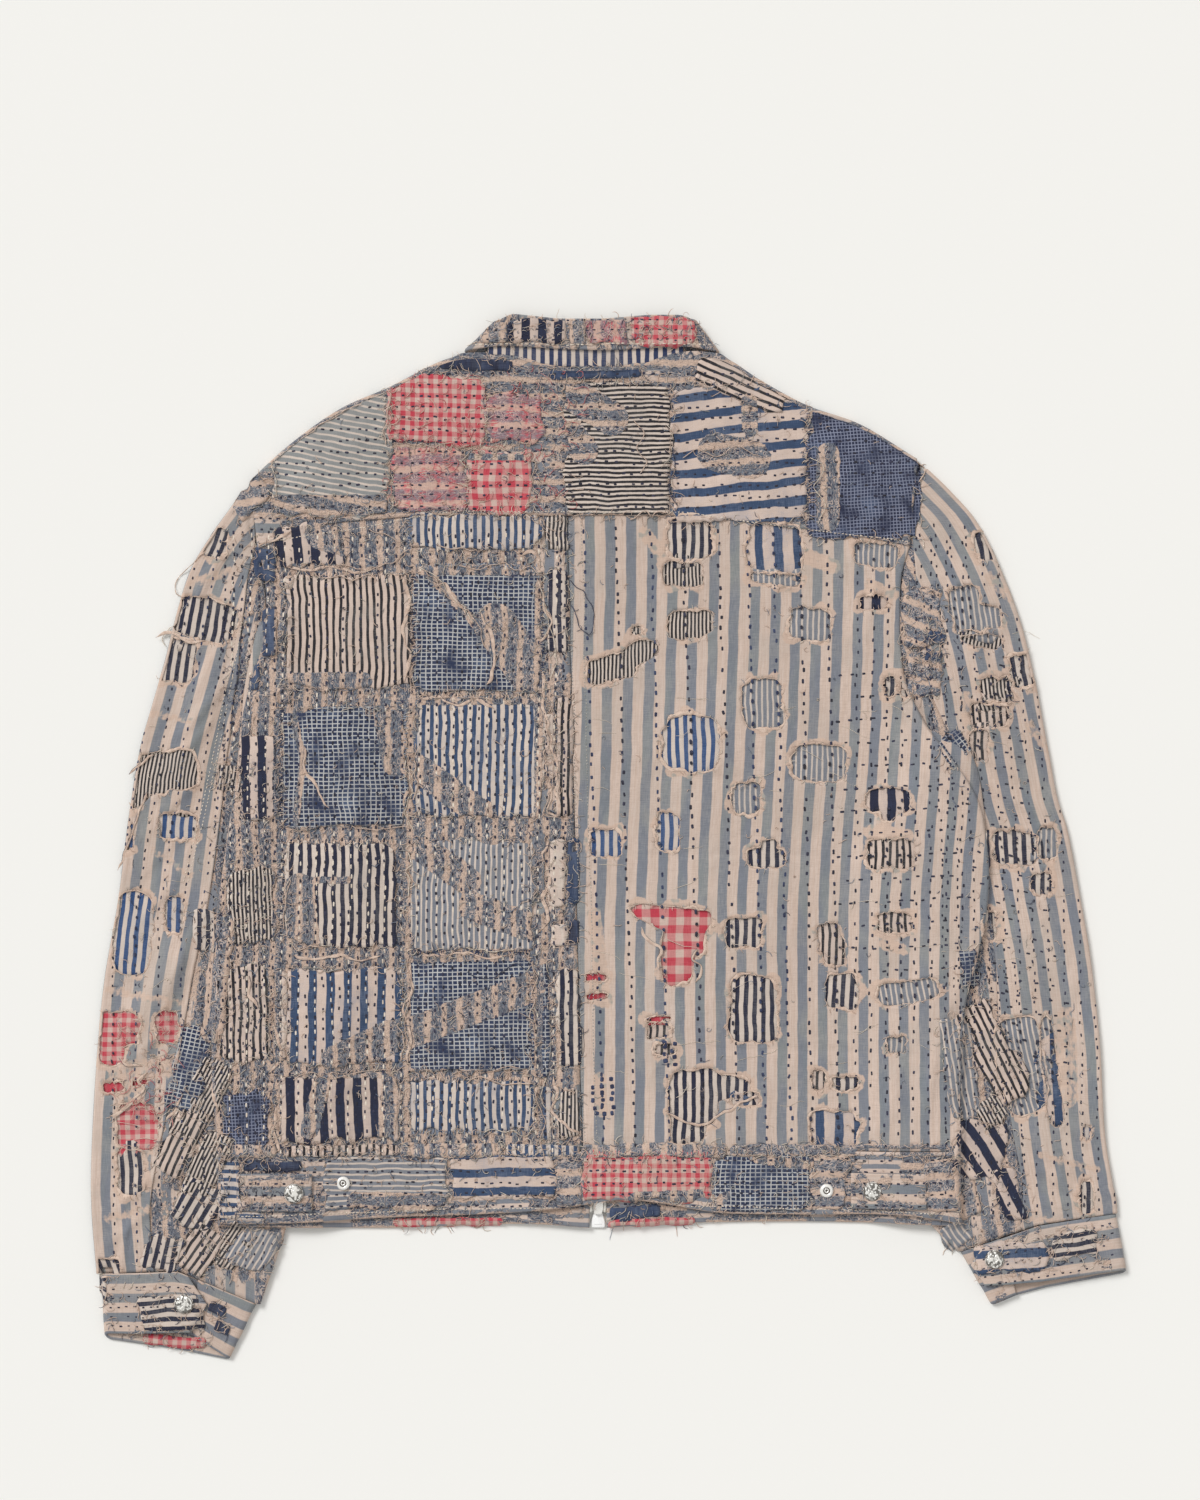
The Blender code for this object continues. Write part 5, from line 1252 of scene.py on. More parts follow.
def waistbands():
    """The back band, curled over at both ends, and the two front bands."""
    left = float(body_edge("left", WAIST_Y - 10)) + 1.5
    right = float(body_edge("right", WAIST_Y - 10)) - 1.5
    radius = 2.1
    curl = [(radius * math.sin(a), radius * (1 - math.cos(a))) for a in np.linspace(0.25, 1, 4) * math.pi / 2]
    xs = [(left + radius - reach, drop) for reach, drop in curl[::-1]]
    xs += [(x, 0.0) for x in np.linspace(left + radius, right - radius, 120)]
    xs += [(right - radius + reach, drop) for reach, drop in curl]

    def line(x, drop, low, middle):
        ends = (float(on_edge(low, x)), WAIST_Y - 0.2)
        return (*((x, y, float(rise(x, y)) + middle - drop) for y in ends), 0.0)

    mend = patchy(0.45, 0.5, 24, 64)
    band("cloth_waistband_back", [line(x, d, BACK_BAND_LOW, 5.7) for x, d in xs], 2.7, "band",
         "waistband_back", "patchwork_cotton", ["waistband_front_left", "waistband_front_right"], mend)
    for side, out in OUTWARD.items():
        xs = np.linspace(*sorted((ZIP_X + out * ZIP_EDGE, float(body_edge(side, WAIST_Y - 10)))), 60)
        band(f"cloth_waistband_front_{side}", [line(x, 0.0, FRONT_BAND_LOW, 1.5) for x in xs], 2.6, "band",
             f"waistband_front_{side}", "patchwork_cotton", ["Floor"], mend, lumps=0.1)


def cuff(side):
    """The cuff: over the top, round its outer end, back below, and lapped over itself."""
    last = np.array([SLEEVES[side][-1]], float)
    runs = {}
    for name, rows in CUFFS[side].items():
        runs[name] = []
        for row in rows:
            x, y = across_row(last, np.array([[row.along]]))
            high = (float(x[0, 0]), float(y[0, 0]) - 0.4, row.z)
            runs[name].append(((row.lower_x, row.lower_y, row.z), high, row.bow))
    over, under, lap = (runs[name] for name in ("over", "under", "lap"))
    lines = over + turn_lines(over[-1], under[0], OUTWARD[side]) + under
    lines += turn_lines(under[-1], lap[0], -OUTWARD[side]) + lap
    band(f"cloth_cuff_{side}", lines, 2.3, "main", f"cuff_{side}", "striped_cotton", ["Floor"],
         lambda x, y: 0.5 * smooth(noise(x, y, 14, 68) * 2 - 0.6), soften=1, shift=166)


def collar():
    """The stand inside the neck, and the fall: round the back of the neck and folded to the front's ends."""

    def lines(rows, z):
        return [((r.lower_x, r.lower_y, z), (r.upper_x, r.upper_y, z), 0.0) for r in rows]

    stand = []
    for x in np.linspace(-96, 58, 40):
        low = float(on_edge(SHOULDERS_AND_NECK, x)) + 0.2
        stand.append(((x, low, 5.3), (x, min(low + 22, 396.0), 5.3), 0.0))
    band("cloth_collar_stand", stand, 1.6, "stand", "collar_stand", "blue_stripe", ["back_yoke"], lumps=0.1,
         upright=True)
    left, right = lines(COLLAR_FRONT_LEFT[::-1], 1.5), lines(COLLAR_FRONT_RIGHT, 1.5)
    back = lines(COLLAR_BACK, 7.6)
    whole = left + turn_lines(left[-1], back[0], -1) + back + turn_lines(back[-1], right[0], 1) + right
    band("cloth_collar_fall", whole, 2.4, "patchwork", "collar_fall", "gingham", ["collar_stand"],
         patchy(0.6, 0.4, 16, 65), upright=True)


def tabs():
    """The adjuster tabs, on top of the back band."""
    for side, x0, x1, low, high in (("left", -293, -234, -293.5, -264), ("right", 190, 249, -292, -264)):
        lines = []
        for x in np.linspace(x0, x1, 24):
            z = max(shells.hit(x, y)[0] for y in (low + 2, (low + high) / 2, high - 2)) + 1.7
            lines.append(((x, low, z), (x, high, z), 0.0))
        band(f"cloth_waist_tab_{side}", lines, 2.6, "main", f"waist_tab_{side}", "striped_cotton",
             ["waistband_back"], patchy(0.45, 0.5, 9, 69), soften=6, shift=164)


# ---------------------------------------------------------------- patches
def turned_cut(dx, dy, turn, seed):
    """The cut of a patch: its own plane, turned, and pulled a little out of line by its stitches."""
    c, s = cos_sin(turn)
    pull = 1.1 * noise(dx, dy, 24, seed) + 0.5 * noise(dx, dy, 9, seed + 1)
    return dx * c + dy * s + pull + 300, -dx * s + dy * c + 300


def middle_of(patch):
    return (patch.x0 + patch.x1) / 2, (patch.y0 + patch.y1) / 2


def placed(patch, dx, dy):
    """Places on the jacket, from places about the patch's middle in its own plane."""
    mx, my = middle_of(patch)
    c, s = cos_sin(patch.tilt)
    return mx + dx * c - dy * s, my + dx * s + dy * c


def drawn_in(x, y, mx, my):
    """Places past the cloth's outline, drawn in towards a middle until they lie well inside it."""
    x, y = x.copy(), y.copy()
    for _ in range(14):
        off = shells.heights(mx + (x - mx) * 1.06, my + (y - my) * 1.06, OFF_CLOTH) < OFF_CLOTH / 2
        if not off.any():
            break
        x[off] += (mx - x[off]) * 0.08
        y[off] += (my - y[off]) * 0.08
    return x, y


def patch_grid(patch, seed, lift=0.75, cell=2.6, level=None, trim=None):
    """A patch's places over the cloth: wavering edges that stand up here and there, and a puckered middle."""
    w, h = patch.x1 - patch.x0, patch.y1 - patch.y0
    columns, rows = (max(int(side / cell), 3) + 1 for side in (w, h))
    s, t = np.meshgrid(np.linspace(-0.5, 0.5, columns), np.linspace(-0.5, 0.5, rows))
    corner = 1 - min(0.07, 5.0 / max(w, h)) * (16 * s * s * t * t) ** 2
    dx, dy = s * w * corner, t * h * corner
    waver = smooth((np.maximum(np.abs(s), np.abs(t)) * 2 - 0.6) / 0.4)
    waver = waver * (min(3.2, 0.12 * min(w, h)) * (0.2 if max(w, h) > 200 else 1.0))

    def strayed(along, seed_at):
        flat = along * 0
        return waver * (noise(along, flat + seed, 11, seed_at) + 0.5 * noise(along, flat + 7, 4, seed_at))

    dx = dx + strayed(dy, seed)
    dy = dy + strayed(dx, seed + 5)
    x, y = placed(patch, dx, dy)
    if trim is not None:
        y = np.minimum(y, trim(x))
    if level is not None or patch.x0 < -300 or patch.y0 > 380:
        x, y = drawn_in(x, y, *middle_of(patch))
    z = shells.heights(x, y) if level is None else level(x, y)
    gap = np.minimum((0.5 - np.abs(s)) * w, (0.5 - np.abs(t)) * h)
    curl = 1.3 * np.maximum(noise(x, y, 10, seed + 9), 0) * np.exp(-gap / 2.5)
    z = z + lift + 0.45 * noise(x, y, 8, seed + 11) + 0.3 * noise(x, y, 4.5, seed + 12) + curl * (lift > 0)
    u, v = turned_cut(dx, dy, patch.turn, seed + 20)
    return x, y, z, u, v


def shoulder_limit(x):
    return on_edge(SHOULDERS_AND_NECK, x) - 3.5


def collar_limit(x):
    return through([r.upper_x for r in COLLAR_BACK], [r.upper_y for r in COLLAR_BACK], x) - 1.6


def limit_of(patch):
    """The edge of the jacket that a patch near it is cut along."""
    if patch.y0 > 380:
        return collar_limit
    return shoulder_limit if 300 < patch.y1 < 380 else None


def lay_patches():
    for number, (node, patch) in enumerate(NAMED_PATCHES.items()):
        grid = patch_grid(patch, 200 + 31 * number, trim=limit_of(patch))
        on = "back_left" if patch.y1 < 256 else "back_yoke"
        lay(f"cloth_{node}", grid, patch.look, node, SLOT_OF[patch.look], [on],
            mend=mended(*grid[:2], MENDS), wall=PATCH_WALL)


SLOTS = {
    "striped_cotton": ("main", "cream"),
    "patchwork_cotton": ("darned",),
    "fine_stripe": ("fine", "fine_wide", "fine_yoke", "navy_mid"),
    "navy_bars": ("navy_bars", "navy_rag"),
    "blue_stripe": ("blue_mid", "blue_broad", "blue_bright", "blue_yoke", "denim"),
    "slate_stripe": ("slate", "slate_warm", "band"),
    "indigo_check": ("check", "navy_check"),
    "gingham": ("gingham", "gingham_wide", "gingham_worn", "gingham_yoke", "red", "rosy"),
}
SLOT_OF = {look: slot for slot, looks in SLOTS.items() for look in looks}


def lay_bits(name, bits, mends=(), level=None):
    """Several small patches as one piece, each in its own cloth, on the cloth or at a level below it."""
    names = sorted({b.look for b in bits})
    points, faces, cuts, which, amounts = [], [], [], [], []
    count = 0
    for number, bit in enumerate(bits):
        seed = 700 + 17 * number
        if level is None:
            trim = limit_of(bit) if bit.y1 > 330 else None
            x, y, z, u, v = patch_grid(bit, seed, lift=0.6, cell=2.8, trim=trim)
            face = quads(*x.shape)
        else:
            x, y, z, u, v = patch_grid(bit, seed, lift=0.0, cell=4.0, level=level)
            face = quads(*x.shape)
            face = face[(shells.heights(x, y, OFF_CLOTH).reshape(-1) > OFF_CLOTH / 2)[face].all(1)]
        points.append(np.stack([x, y, z], -1).reshape(-1, 3))
        faces.append(face + count)
        cuts.append(np.stack([u, v], -1).reshape(-1, 2))
        which.append(np.full(len(face), names.index(bit.look)))
        amounts.append(mended(x, y, mends).reshape(-1))
        count += x.size
    points, faces, cuts, which, amounts = (np.concatenate(a) for a in (points, faces, cuts, which, amounts))
    piece = build(name, points, faces, [LOOKS[n] for n in names], cuts, which, mend=amounts)
    if level is None:
        shells.add(points, faces)
    thicken(piece, PATCH_WALL)
    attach(piece, "jacket")


def under_bits(rings):
    """The cloths that show in the holes, each a little larger than its hole."""
    bits = []
    for ring, hole in rings:
        room = min(4.0, 0.2 * min(hole.width, hole.height))
        bits.append(Patch(*(ring.min(0) - room), *(ring.max(0) + room), hole.look, hole.turn))
    return bits


# ---------------------------------------------------------------- running stitches
stitches = {}


def dash(tone, x, y, heading, length, width, tall=0.55):
    """One stitch, where both its ends are on cloth."""
    dx, dy = math.cos(heading) * length / 2, math.sin(heading) * length / 2
    z0, n0, on0 = shells.hit(x - dx, y - dy)
    z1, n1, on1 = shells.hit(x + dx, y + dy)
    if not (on0 and on1) or abs(z1 - z0) > length * 0.9:
        return
    stitches.setdefault(tone, []).append((x - dx, y - dy, z0, x + dx, y + dy, z1, *(n0 + n1), width, tall))


def on_check(x, y):
    return any(p.look == "check" and p.x0 < x < p.x1 and p.y0 < y < p.y1 for p in PATCHES)


def run(tone, x0, y0, x1, y1, pitch=8.4, length=3.5, width=2.1, stray=0.5, gaps=0.04, where=None,
        between=None):
    """A line of running stitches, and the yarn of another colour that may show between them."""
    total = math.hypot(x1 - x0, y1 - y0)
    heading = math.atan2(y1 - y0, x1 - x0)
    steps = np.arange(rng.uniform(0.2, 0.8) * pitch, total, pitch)
    for step in steps:
        if rng.random() < gaps:
            continue
        t = (step + rng.normal(0, 0.09) * pitch) / total
        side = rng.normal(0, stray) + 0.8 * float(noise(np.array(step), np.array(x0 + y0), 40, 91))
        x = mix(x0, x1, t) - math.sin(heading) * side
        y = mix(y0, y1, t) + math.cos(heading) * side
        if where is None or where(x, y):
            lean = rng.normal(0, 0.10)
            size = (length * rng.uniform(0.75, 1.2), width * rng.uniform(0.85, 1.15))
            dash(tone, x, y, heading + lean, *size)
            if between and not on_check(x, y):
                x, y = x + math.cos(heading) * pitch / 2, y + math.sin(heading) * pitch / 2
                dash(between, x, y, heading, pitch * 0.44, width * 0.72, 0.35)


# A stitch's corners: how far along, out to the side and up, and the triangles between them
STITCH = ((-0.04, 0, -0.25), (0.14, 0.5, -0.1), (0.86, 0.5, -0.1), (1.04, 0, -0.25), (0.86, -0.5, -0.1),
          (0.14, -0.5, -0.1), (0.2, 0, 1), (0.8, 0, 1))
STITCH_FACES = ((0, 5, 6), (5, 4, 7), (5, 7, 6), (4, 3, 7), (3, 2, 7), (2, 1, 6), (2, 6, 7), (1, 0, 6))


def sew(name, tone):
    """All stitches of one yarn: each a low ridge with pointed ends."""
    rows = np.array(stitches[tone])
    a, b, n = rows[:, 0:3], rows[:, 3:6], rows[:, 6:9]
    n = n / np.linalg.norm(n, axis=1, keepdims=True)
    width, tall = rows[:, 9:10], rows[:, 10:11]
    side = np.cross(n, b - a)
    side /= np.linalg.norm(side, axis=1, keepdims=True)
    points = np.stack([a + (b - a) * t + side * width * out + n * tall * up for t, out, up in STITCH], 1)
    faces = np.arange(len(rows))[:, None, None] * len(STITCH) + np.array(STITCH_FACES)
    piece = build(name, points.reshape(-1, 3), faces.reshape(-1, 3)[:, ::-1], [YARNS[tone]])
    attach(piece, "jacket")


# ---------------------------------------------------------------- loose threads
strands = {}


def fray(tone, x, y, heading, length, curl, lift, radius=0.28):
    """One thread that lies over the cloth, curling, one end in the cloth."""
    if not shells.hit(x, y)[2]:
        return
    steps = 3 if length < 6.5 else 5
    step = length / steps
    turn = rng.normal(0, curl) * step
    px, py, pz = [x], [y], [shells.hit(x, y)[0] + 0.1]
    for k in range(steps):
        heading += turn + rng.normal(0, 0.28)
        px.append(px[-1] + math.cos(heading) * step)
        py.append(py[-1] + math.sin(heading) * step)
        z, _, on = shells.hit(px[-1], py[-1])
        arch = lift * math.sin(math.pi * (k + 1) / steps * 0.85)
        pz.append(z + 0.25 + arch * rng.uniform(0.3, 1.0) if on else max(pz[-1] - 0.45 * step, 0.4))
    strands.setdefault(tone, []).append((np.stack([px, py, pz], 1), radius * rng.uniform(0.75, 1.25)))


def spin(name, tone):
    """All threads of one yarn, as thin tubes of three sides that thin out to their ends."""
    all_points, all_faces, count = [], [], 0
    for k in sorted({len(p) for p, _ in strands[tone]}):
        paths = np.stack([p for p, _ in strands[tone] if len(p) == k])
        radius = np.array([r for p, r in strands[tone] if len(p) == k])[:, None, None]
        along = units(np.gradient(paths, axis=1))
        side = units(np.cross(along, np.array([0.0, 0.0, 1.0])))
        over = np.cross(side, along)
        taper = np.interp(np.arange(k), (0, 1, k - 2, k - 1), (0.8, 1.0, 0.85, 0.35))[None, :, None]
        corners = (math.pi / 2, -math.pi / 6, math.pi * 7 / 6)
        ring = [paths + radius * taper * (math.cos(a) * side + math.sin(a) * over) for a in corners]
        index = np.arange(len(paths) * k * 3).reshape(-1, k, 3) + count
        after = np.roll(index, -1, axis=2)
        faces = np.stack([index[:, :-1], after[:, :-1], after[:, 1:], index[:, 1:]], -1)
        all_faces.append(faces.reshape(-1, 4))
        all_points.append(np.stack(ring, 2).reshape(-1, 3))
        count += index.size
    piece = build(name, np.vstack(all_points), np.vstack(all_faces), [YARNS[tone]])
    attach(piece, "jacket")


def tone_of(*choices):
    names, shares = zip(*choices, strict=True)
    return names[int(rng.choice(len(names), p=np.array(shares) / sum(shares)))]


def cord(tone, places, radius, lift):
    """A long loose yarn through places over the cloth."""
    places = np.array(places, float)
    run_at = lengths(places)
    parts = max(int(run_at[-1] / 9.0), 1)
    at = np.linspace(0, run_at[-1], parts * 5 + 1)
    x, y = (through(run_at, places[:, k], at) for k in (0, 1))
    x, y = (way + 1.4 * noise(at, at * 0 + places[0, k], 6, 88 + k) for k, way in enumerate((x, y)))
    z = shells.heights(x, y) + radius + 0.2 + lift * np.abs(noise(at, at * 0, 7, 90))
    path = np.stack([x, y, z], 1)
    for k in range(parts):
        strands.setdefault(tone, []).append((path[5 * k:5 * k + 6], radius))


RIM_YARNS = (("ecru", 6), ("pale", 3), ("slate", 0.6))
EDGE_YARNS = (("ecru", 7), ("pale", 2.5), ("grey", 1), ("navy", 0.9), ("slate", 0.7))
DARN_YARNS = (("ecru", 5), ("pale", 1.5), ("grey", 1.6), ("navy", 1.6), ("slate", 2.0))


def frayed_ring(ring):
    """Threads round a hole, inwards and outwards."""
    centre = ring.mean(0)
    closed = np.vstack([ring, ring[:1]])
    run_at = lengths(closed)
    total = run_at[-1]
    for at in np.arange(0, total, 4.6):
        at += rng.uniform(-1.2, 1.2)
        x, y = (np.interp(at % total, run_at, closed[:, k]) for k in (0, 1))
        out = math.atan2(y - centre[1], x - centre[0])
        inward = rng.random() < 0.35
        heading = out + (math.pi if inward else 0) + rng.normal(0, 1.0)
        tone = tone_of(*RIM_YARNS)
        length = rng.uniform(1.5, 3.5) if inward else rng.uniform(2, 6)
        fray(tone, x, y, heading, length, 0.25, 0.7, 0.26)


def frayed_patch(patch, every=3.4):
    """Threads round a patch, most of them outwards."""
    w, h = patch.x1 - patch.x0, patch.y1 - patch.y0
    for at in np.arange(0, 2 * (w + h), every):
        at += rng.uniform(-1.5, 1.5)
        at %= 2 * (w + h)
        if at < w:
            dx, dy, out = at - w / 2, -h / 2, -math.pi / 2
        elif at < w + h:
            dx, dy, out = w / 2, at - w - h / 2, 0.0
        elif at < 2 * w + h:
            dx, dy, out = w / 2 - (at - w - h), h / 2, math.pi / 2
        else:
            dx, dy, out = -w / 2, h / 2 - (at - 2 * w - h), math.pi
        heading = out + math.radians(patch.tilt) + rng.normal(0, 0.9)
        heading += math.pi if rng.random() < 0.2 else 0
        fray(tone_of(*EDGE_YARNS), *placed(patch, dx, dy), heading, rng.uniform(3, 11), 0.2, 1.2, 0.3)


def rims(name, rings):
    """The torn edge round each hole: a pale crumpled strip, wide in some places and gone in others."""
    rows = ((-1.6, -0.9), (-0.6, 0.5), (0.1, 1.0), (0.8, 0.7), (1.9, 0.15))  # reach outwards, and height
    points, faces, count = [], [], 0
    for number, (ring, _) in enumerate(rings):
        closed = np.vstack([ring, ring[:1]])
        run_at = lengths(closed)
        n = max(int(run_at[-1] / 1.45), 12)
        at = np.linspace(0, run_at[-1], n, endpoint=False)
        x, y = (np.interp(at, run_at, closed[:, k]) for k in (0, 1))
        out_x, out_y = units(np.stack([x, y], 1) - ring.mean(0)).T
        tag = at * 0 + 7.7 * number
        wide = np.clip(0.05 + 1.0 * noise(at, tag, 11, 95), 0.0, 1.0) + 0.12
        base = shells.heights(x + out_x, y + out_y, OFF_CLOTH)
        on_cloth = (base > -1) & (shells.heights(x + out_x * 4, y + out_y * 4, OFF_CLOTH) > -1)
        for row, (reach, up) in enumerate(rows):
            jag = 0.55 * noise(at, tag + row * 3, 2.1, 96) + 0.35 * noise(at, tag + row * 5, 4.4, 98)
            away = (reach + jag) * wide + 0.3
            lump = 0.35 * noise(at, tag + row * 7, 1.9, 97)
            z = np.maximum(base, 0.4) + 0.05 + (0.4 * up + 0.6 * lump) * (0.2 + 0.8 * wide)
            points.append(np.stack([x + out_x * away, y + out_y * away, z], 1))
        index = np.arange(n * len(rows)).reshape(len(rows), n) + count
        after = np.roll(index, -1, axis=1)
        whole = on_cloth & np.roll(on_cloth, -1)
        face = np.stack([index[:-1], after[:-1], after[1:], index[1:]], -1)
        faces.append(face[:, whole].reshape(-1, 4))
        count += index.size
    piece = build(name, np.vstack(points), np.vstack(faces), [YARNS["rim"]])
    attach(piece, "jacket")


def ribbons(name, lines):
    """Torn folded edges of cloth that snake over the jacket, each with a dark yarn along one side."""
    rows = ((-0.5, 0.0), (-0.3, 0.8), (-0.05, 0.45), (0.25, 1.0), (0.5, 0.05))  # place across, and height
    points, faces, count = [], [], 0
    for number, places in enumerate(lines):
        places = np.array(places, float)
        run_at = lengths(places)
        n = max(int(run_at[-1] / 1.6), 6)
        at = np.linspace(0, run_at[-1], n)
        tag = at * 0 + 5.3 * number
        x, y = (through(run_at, places[:, k], at) + 1.5 * noise(at, tag, 7, 111 + k) for k in (0, 1))
        ahead_x, ahead_y = units(np.stack([np.gradient(x), np.gradient(y)], 1)).T
        ends = np.minimum(smooth(at / 5), smooth((run_at[-1] - at) / 5))
        wide = 2.7 * (0.75 + 0.45 * noise(at, tag, 9, 113)) * (0.15 + 0.85 * ends)
        base = np.maximum(shells.heights(x, y, 3.0), 0.5)
        for row, (reach, up) in enumerate(rows):
            reach = reach + 0.10 * noise(at, tag + row, 2.4, 114 + row)
            z = base + (up * (0.5 + 0.5 * noise(at, tag + row, 3.0, 120 + row)) + 0.25)
            points.append(np.stack([x - ahead_y * reach * wide, y + ahead_x * reach * wide, z], 1))
        faces.append(quads(len(rows), n) + count)
        count += len(rows) * n
        side = 0.5 * wide * (1 if number % 2 else -1)
        path = np.stack([x - ahead_y * side, y + ahead_x * side, base + 0.35], 1)
        tone = "navy" if number % 3 else "grey"
        for k in range(0, n - 5, 5):
            if (number + k // 5) % 3:
                strands.setdefault(tone, []).append((path[k:k + 6], 0.26))
    piece = build(name, np.vstack(points), np.vstack(faces), [YARNS["rim"]])
    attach(piece, "jacket")


# ---------------------------------------------------------------- metal
def nickel(name, tone, dents_and_shade, metallic):
    """Nickel, plain or dented, worn dull in spots, with the dents' hollows coloured dark: painted shade."""
    look = Look(name, 0.28, metallic, 0.0)
    where = look.node("TexCoord").outputs["Object"]
    spots = look.texture("TexNoise", where, Scale=420.0, Detail=3.0).outputs[0]
    dents = look.texture("TexVoronoi", where, {"feature": "SMOOTH_F1"}, Scale=520.0)
    lumps = look.texture("TexNoise", where, Scale=170.0)
    # painted shade: the hollows of the dents are coloured dark where shade would fall in the relief
    dark = look.step(dents.outputs["Distance"], 0.34, 0.48)
    dark = look.math("MULTIPLY", dark, look.step(lumps.outputs[0], 0.36, 0.54))
    base = look.blend(look.math("MULTIPLY", dark, 0.85 * dents_and_shade), tone, colour(62, 58, 54))
    base = look.blend(look.step(spots, 0.62, 0.9), base, colour(150, 144, 136))
    rough = look.math("MULTIPLY_ADD", spots, 0.3, 0.14)
    height = look.math("MULTIPLY_ADD", dark, -1.2 * dents_and_shade, look.math("MULTIPLY", spots, 0.3))
    return look.finish(base, height, 0.9, 0.5, rough)


METAL = {
    # cap: a near-white base under half metal, so that the caps read bright: partly painted highlight; its
    # dark dents are painted shade
    "cap": nickel("nickel_cap", colour(232, 230, 225), 1.0, 0.55),
    "plain": nickel("nickel_plain", colour(240, 238, 234), 0.0, 0.5),
    # bright: nearly white and hardly metallic, so that the pull shows burnt-out white: painted highlight
    "bright": nickel("nickel_painted_highlight", colour(253, 253, 252), 0.0, 0.05),
    # recess: a dark copy of the nickel for the studs' middles and a ring near each cap's rim: painted shade
    "recess": nickel("nickel_painted_shade", colour(104, 96, 90), 0.2, 0.6),
}


def turned(name, node, profile, rough=0.0):
    """A round piece from (radius, height) places, on the place and the slope of its CAD node."""
    low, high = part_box(node)
    mx, my = (low.x + high.x) / 2 / MM, (low.y + high.y) / 2 / MM
    base = low.z / MM
    profile = np.array(profile)
    angle = np.linspace(0, 2 * math.pi, 48, endpoint=False)[None, :]
    r, z = profile[:, 0:1], profile[:, 1:2]
    x, y = mx + r * np.cos(angle), my + r * np.sin(angle)
    z = base + z + rough * 0.16 * noise(x, y, 1.6, 99) * (r < profile[:, 0].max() * 0.82)
    points = np.stack([x, y, z], -1).reshape(-1, 3)
    faces = quads(*x.shape, closed=True)
    middle = np.hypot(*(points[faces][:, :, :2].mean(1) - (mx, my)).T)
    # the rings given the dark recess copy of the nickel are painted shade in the hollows
    dark = (middle < 0.9) | (middle > 1.9) & (middle < 2.8)
    inner = dark & (not rough) | (middle > 6.5) & (middle < 7.0) & bool(rough)
    looks = [METAL["cap" if rough else "plain"], METAL["recess"]]
    piece = build(name, points, faces, looks, which=inner.astype(int))
    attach(piece, "jacket")
    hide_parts(node)


def hardware():
    """The domed caps and the studs."""
    for place in ("waist_left", "waist_right", "cuff_left", "cuff_right"):
        dome = [(7.5 * math.sin(a), 0.9 + 2.3 * math.cos(a)) for a in np.linspace(0.01, 1.30, 16)]
        dome += [(7.35, 1.35), (7.6, 1.15), (7.65, 0.8), (7.4, 0.45), (6.9, 0.1), (0.05, 0.0)]
        turned(f"metal_cap_{place}", f"snap_cap_{place}", dome, 1.0)
    for side in ("left", "right"):
        ring = [(0.05, 0.5), (0.7, 0.5), (0.9, 1.1), (1.4, 1.4), (1.9, 1.2), (2.2, 0.9), (2.5, 1.1),
                (2.7, 2.0), (3.0, 2.35), (3.6, 2.45), (4.3, 2.3), (4.8, 1.8), (5.3, 1.4), (5.5, 1.0),
                (5.5, 0.2), (5.2, 0.0)]
        turned(f"metal_stud_{side}", f"snap_stud_{side}", ring)


def bar_along(rows):
    """A closed bar through rows of (y, x0, x1, half thickness), its cross-section a rounded rectangle."""
    points = []
    for y, x0, x1, half in rows:
        r = min(0.35, half * 0.9, (x1 - x0) * 0.45)
        corners = ((x1 - r, half - r), (x0 + r, half - r), (x0 + r, r - half), (x1 - r, r - half))
        for start, (cx, cz) in enumerate(corners):
            for angle in (start + np.linspace(0, 1, 4)) * math.pi / 2:
                points.append((cx + r * math.cos(angle), y, cz + r * math.sin(angle)))
    sides = 16
    faces = quads(len(rows), sides, closed=True)
    ends = []
    for first in (0, (len(rows) - 1) * sides):
        centre = len(points)
        points.append(tuple(np.mean(points[first:first + sides], axis=0)))
        ring = first + np.arange(sides)
        after = np.roll(ring, -1)
        ends.append(np.stack([ring, after, np.full(sides, centre), np.full(sides, centre)], 1))
    ends[0] = ends[0][:, [1, 0, 2, 3]]
    return np.array(points), faces, ends


def metal_piece(name, parts, look, body, node):
    """One metal piece from closed bars."""
    points, quad_faces, caps, count = [], [], [], 0
    for places, faces, ends in parts:
        points.append(places)
        quad_faces.append(faces + count)
        caps += [end[:, :3] + count for end in ends]
        count += len(places)
    flat = np.vstack(quad_faces)
    triangles = np.vstack([flat[:, (0, 1, 2)], flat[:, (0, 2, 3)], *caps])
    piece = build(name, np.vstack(points), triangles, [look])
    shape = bmesh.new()
    shape.from_mesh(piece.data)
    bmesh.ops.recalc_face_normals(shape, faces=shape.faces)
    shape.to_mesh(piece.data)
    shape.free()
    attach(piece, body)
    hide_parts(node)


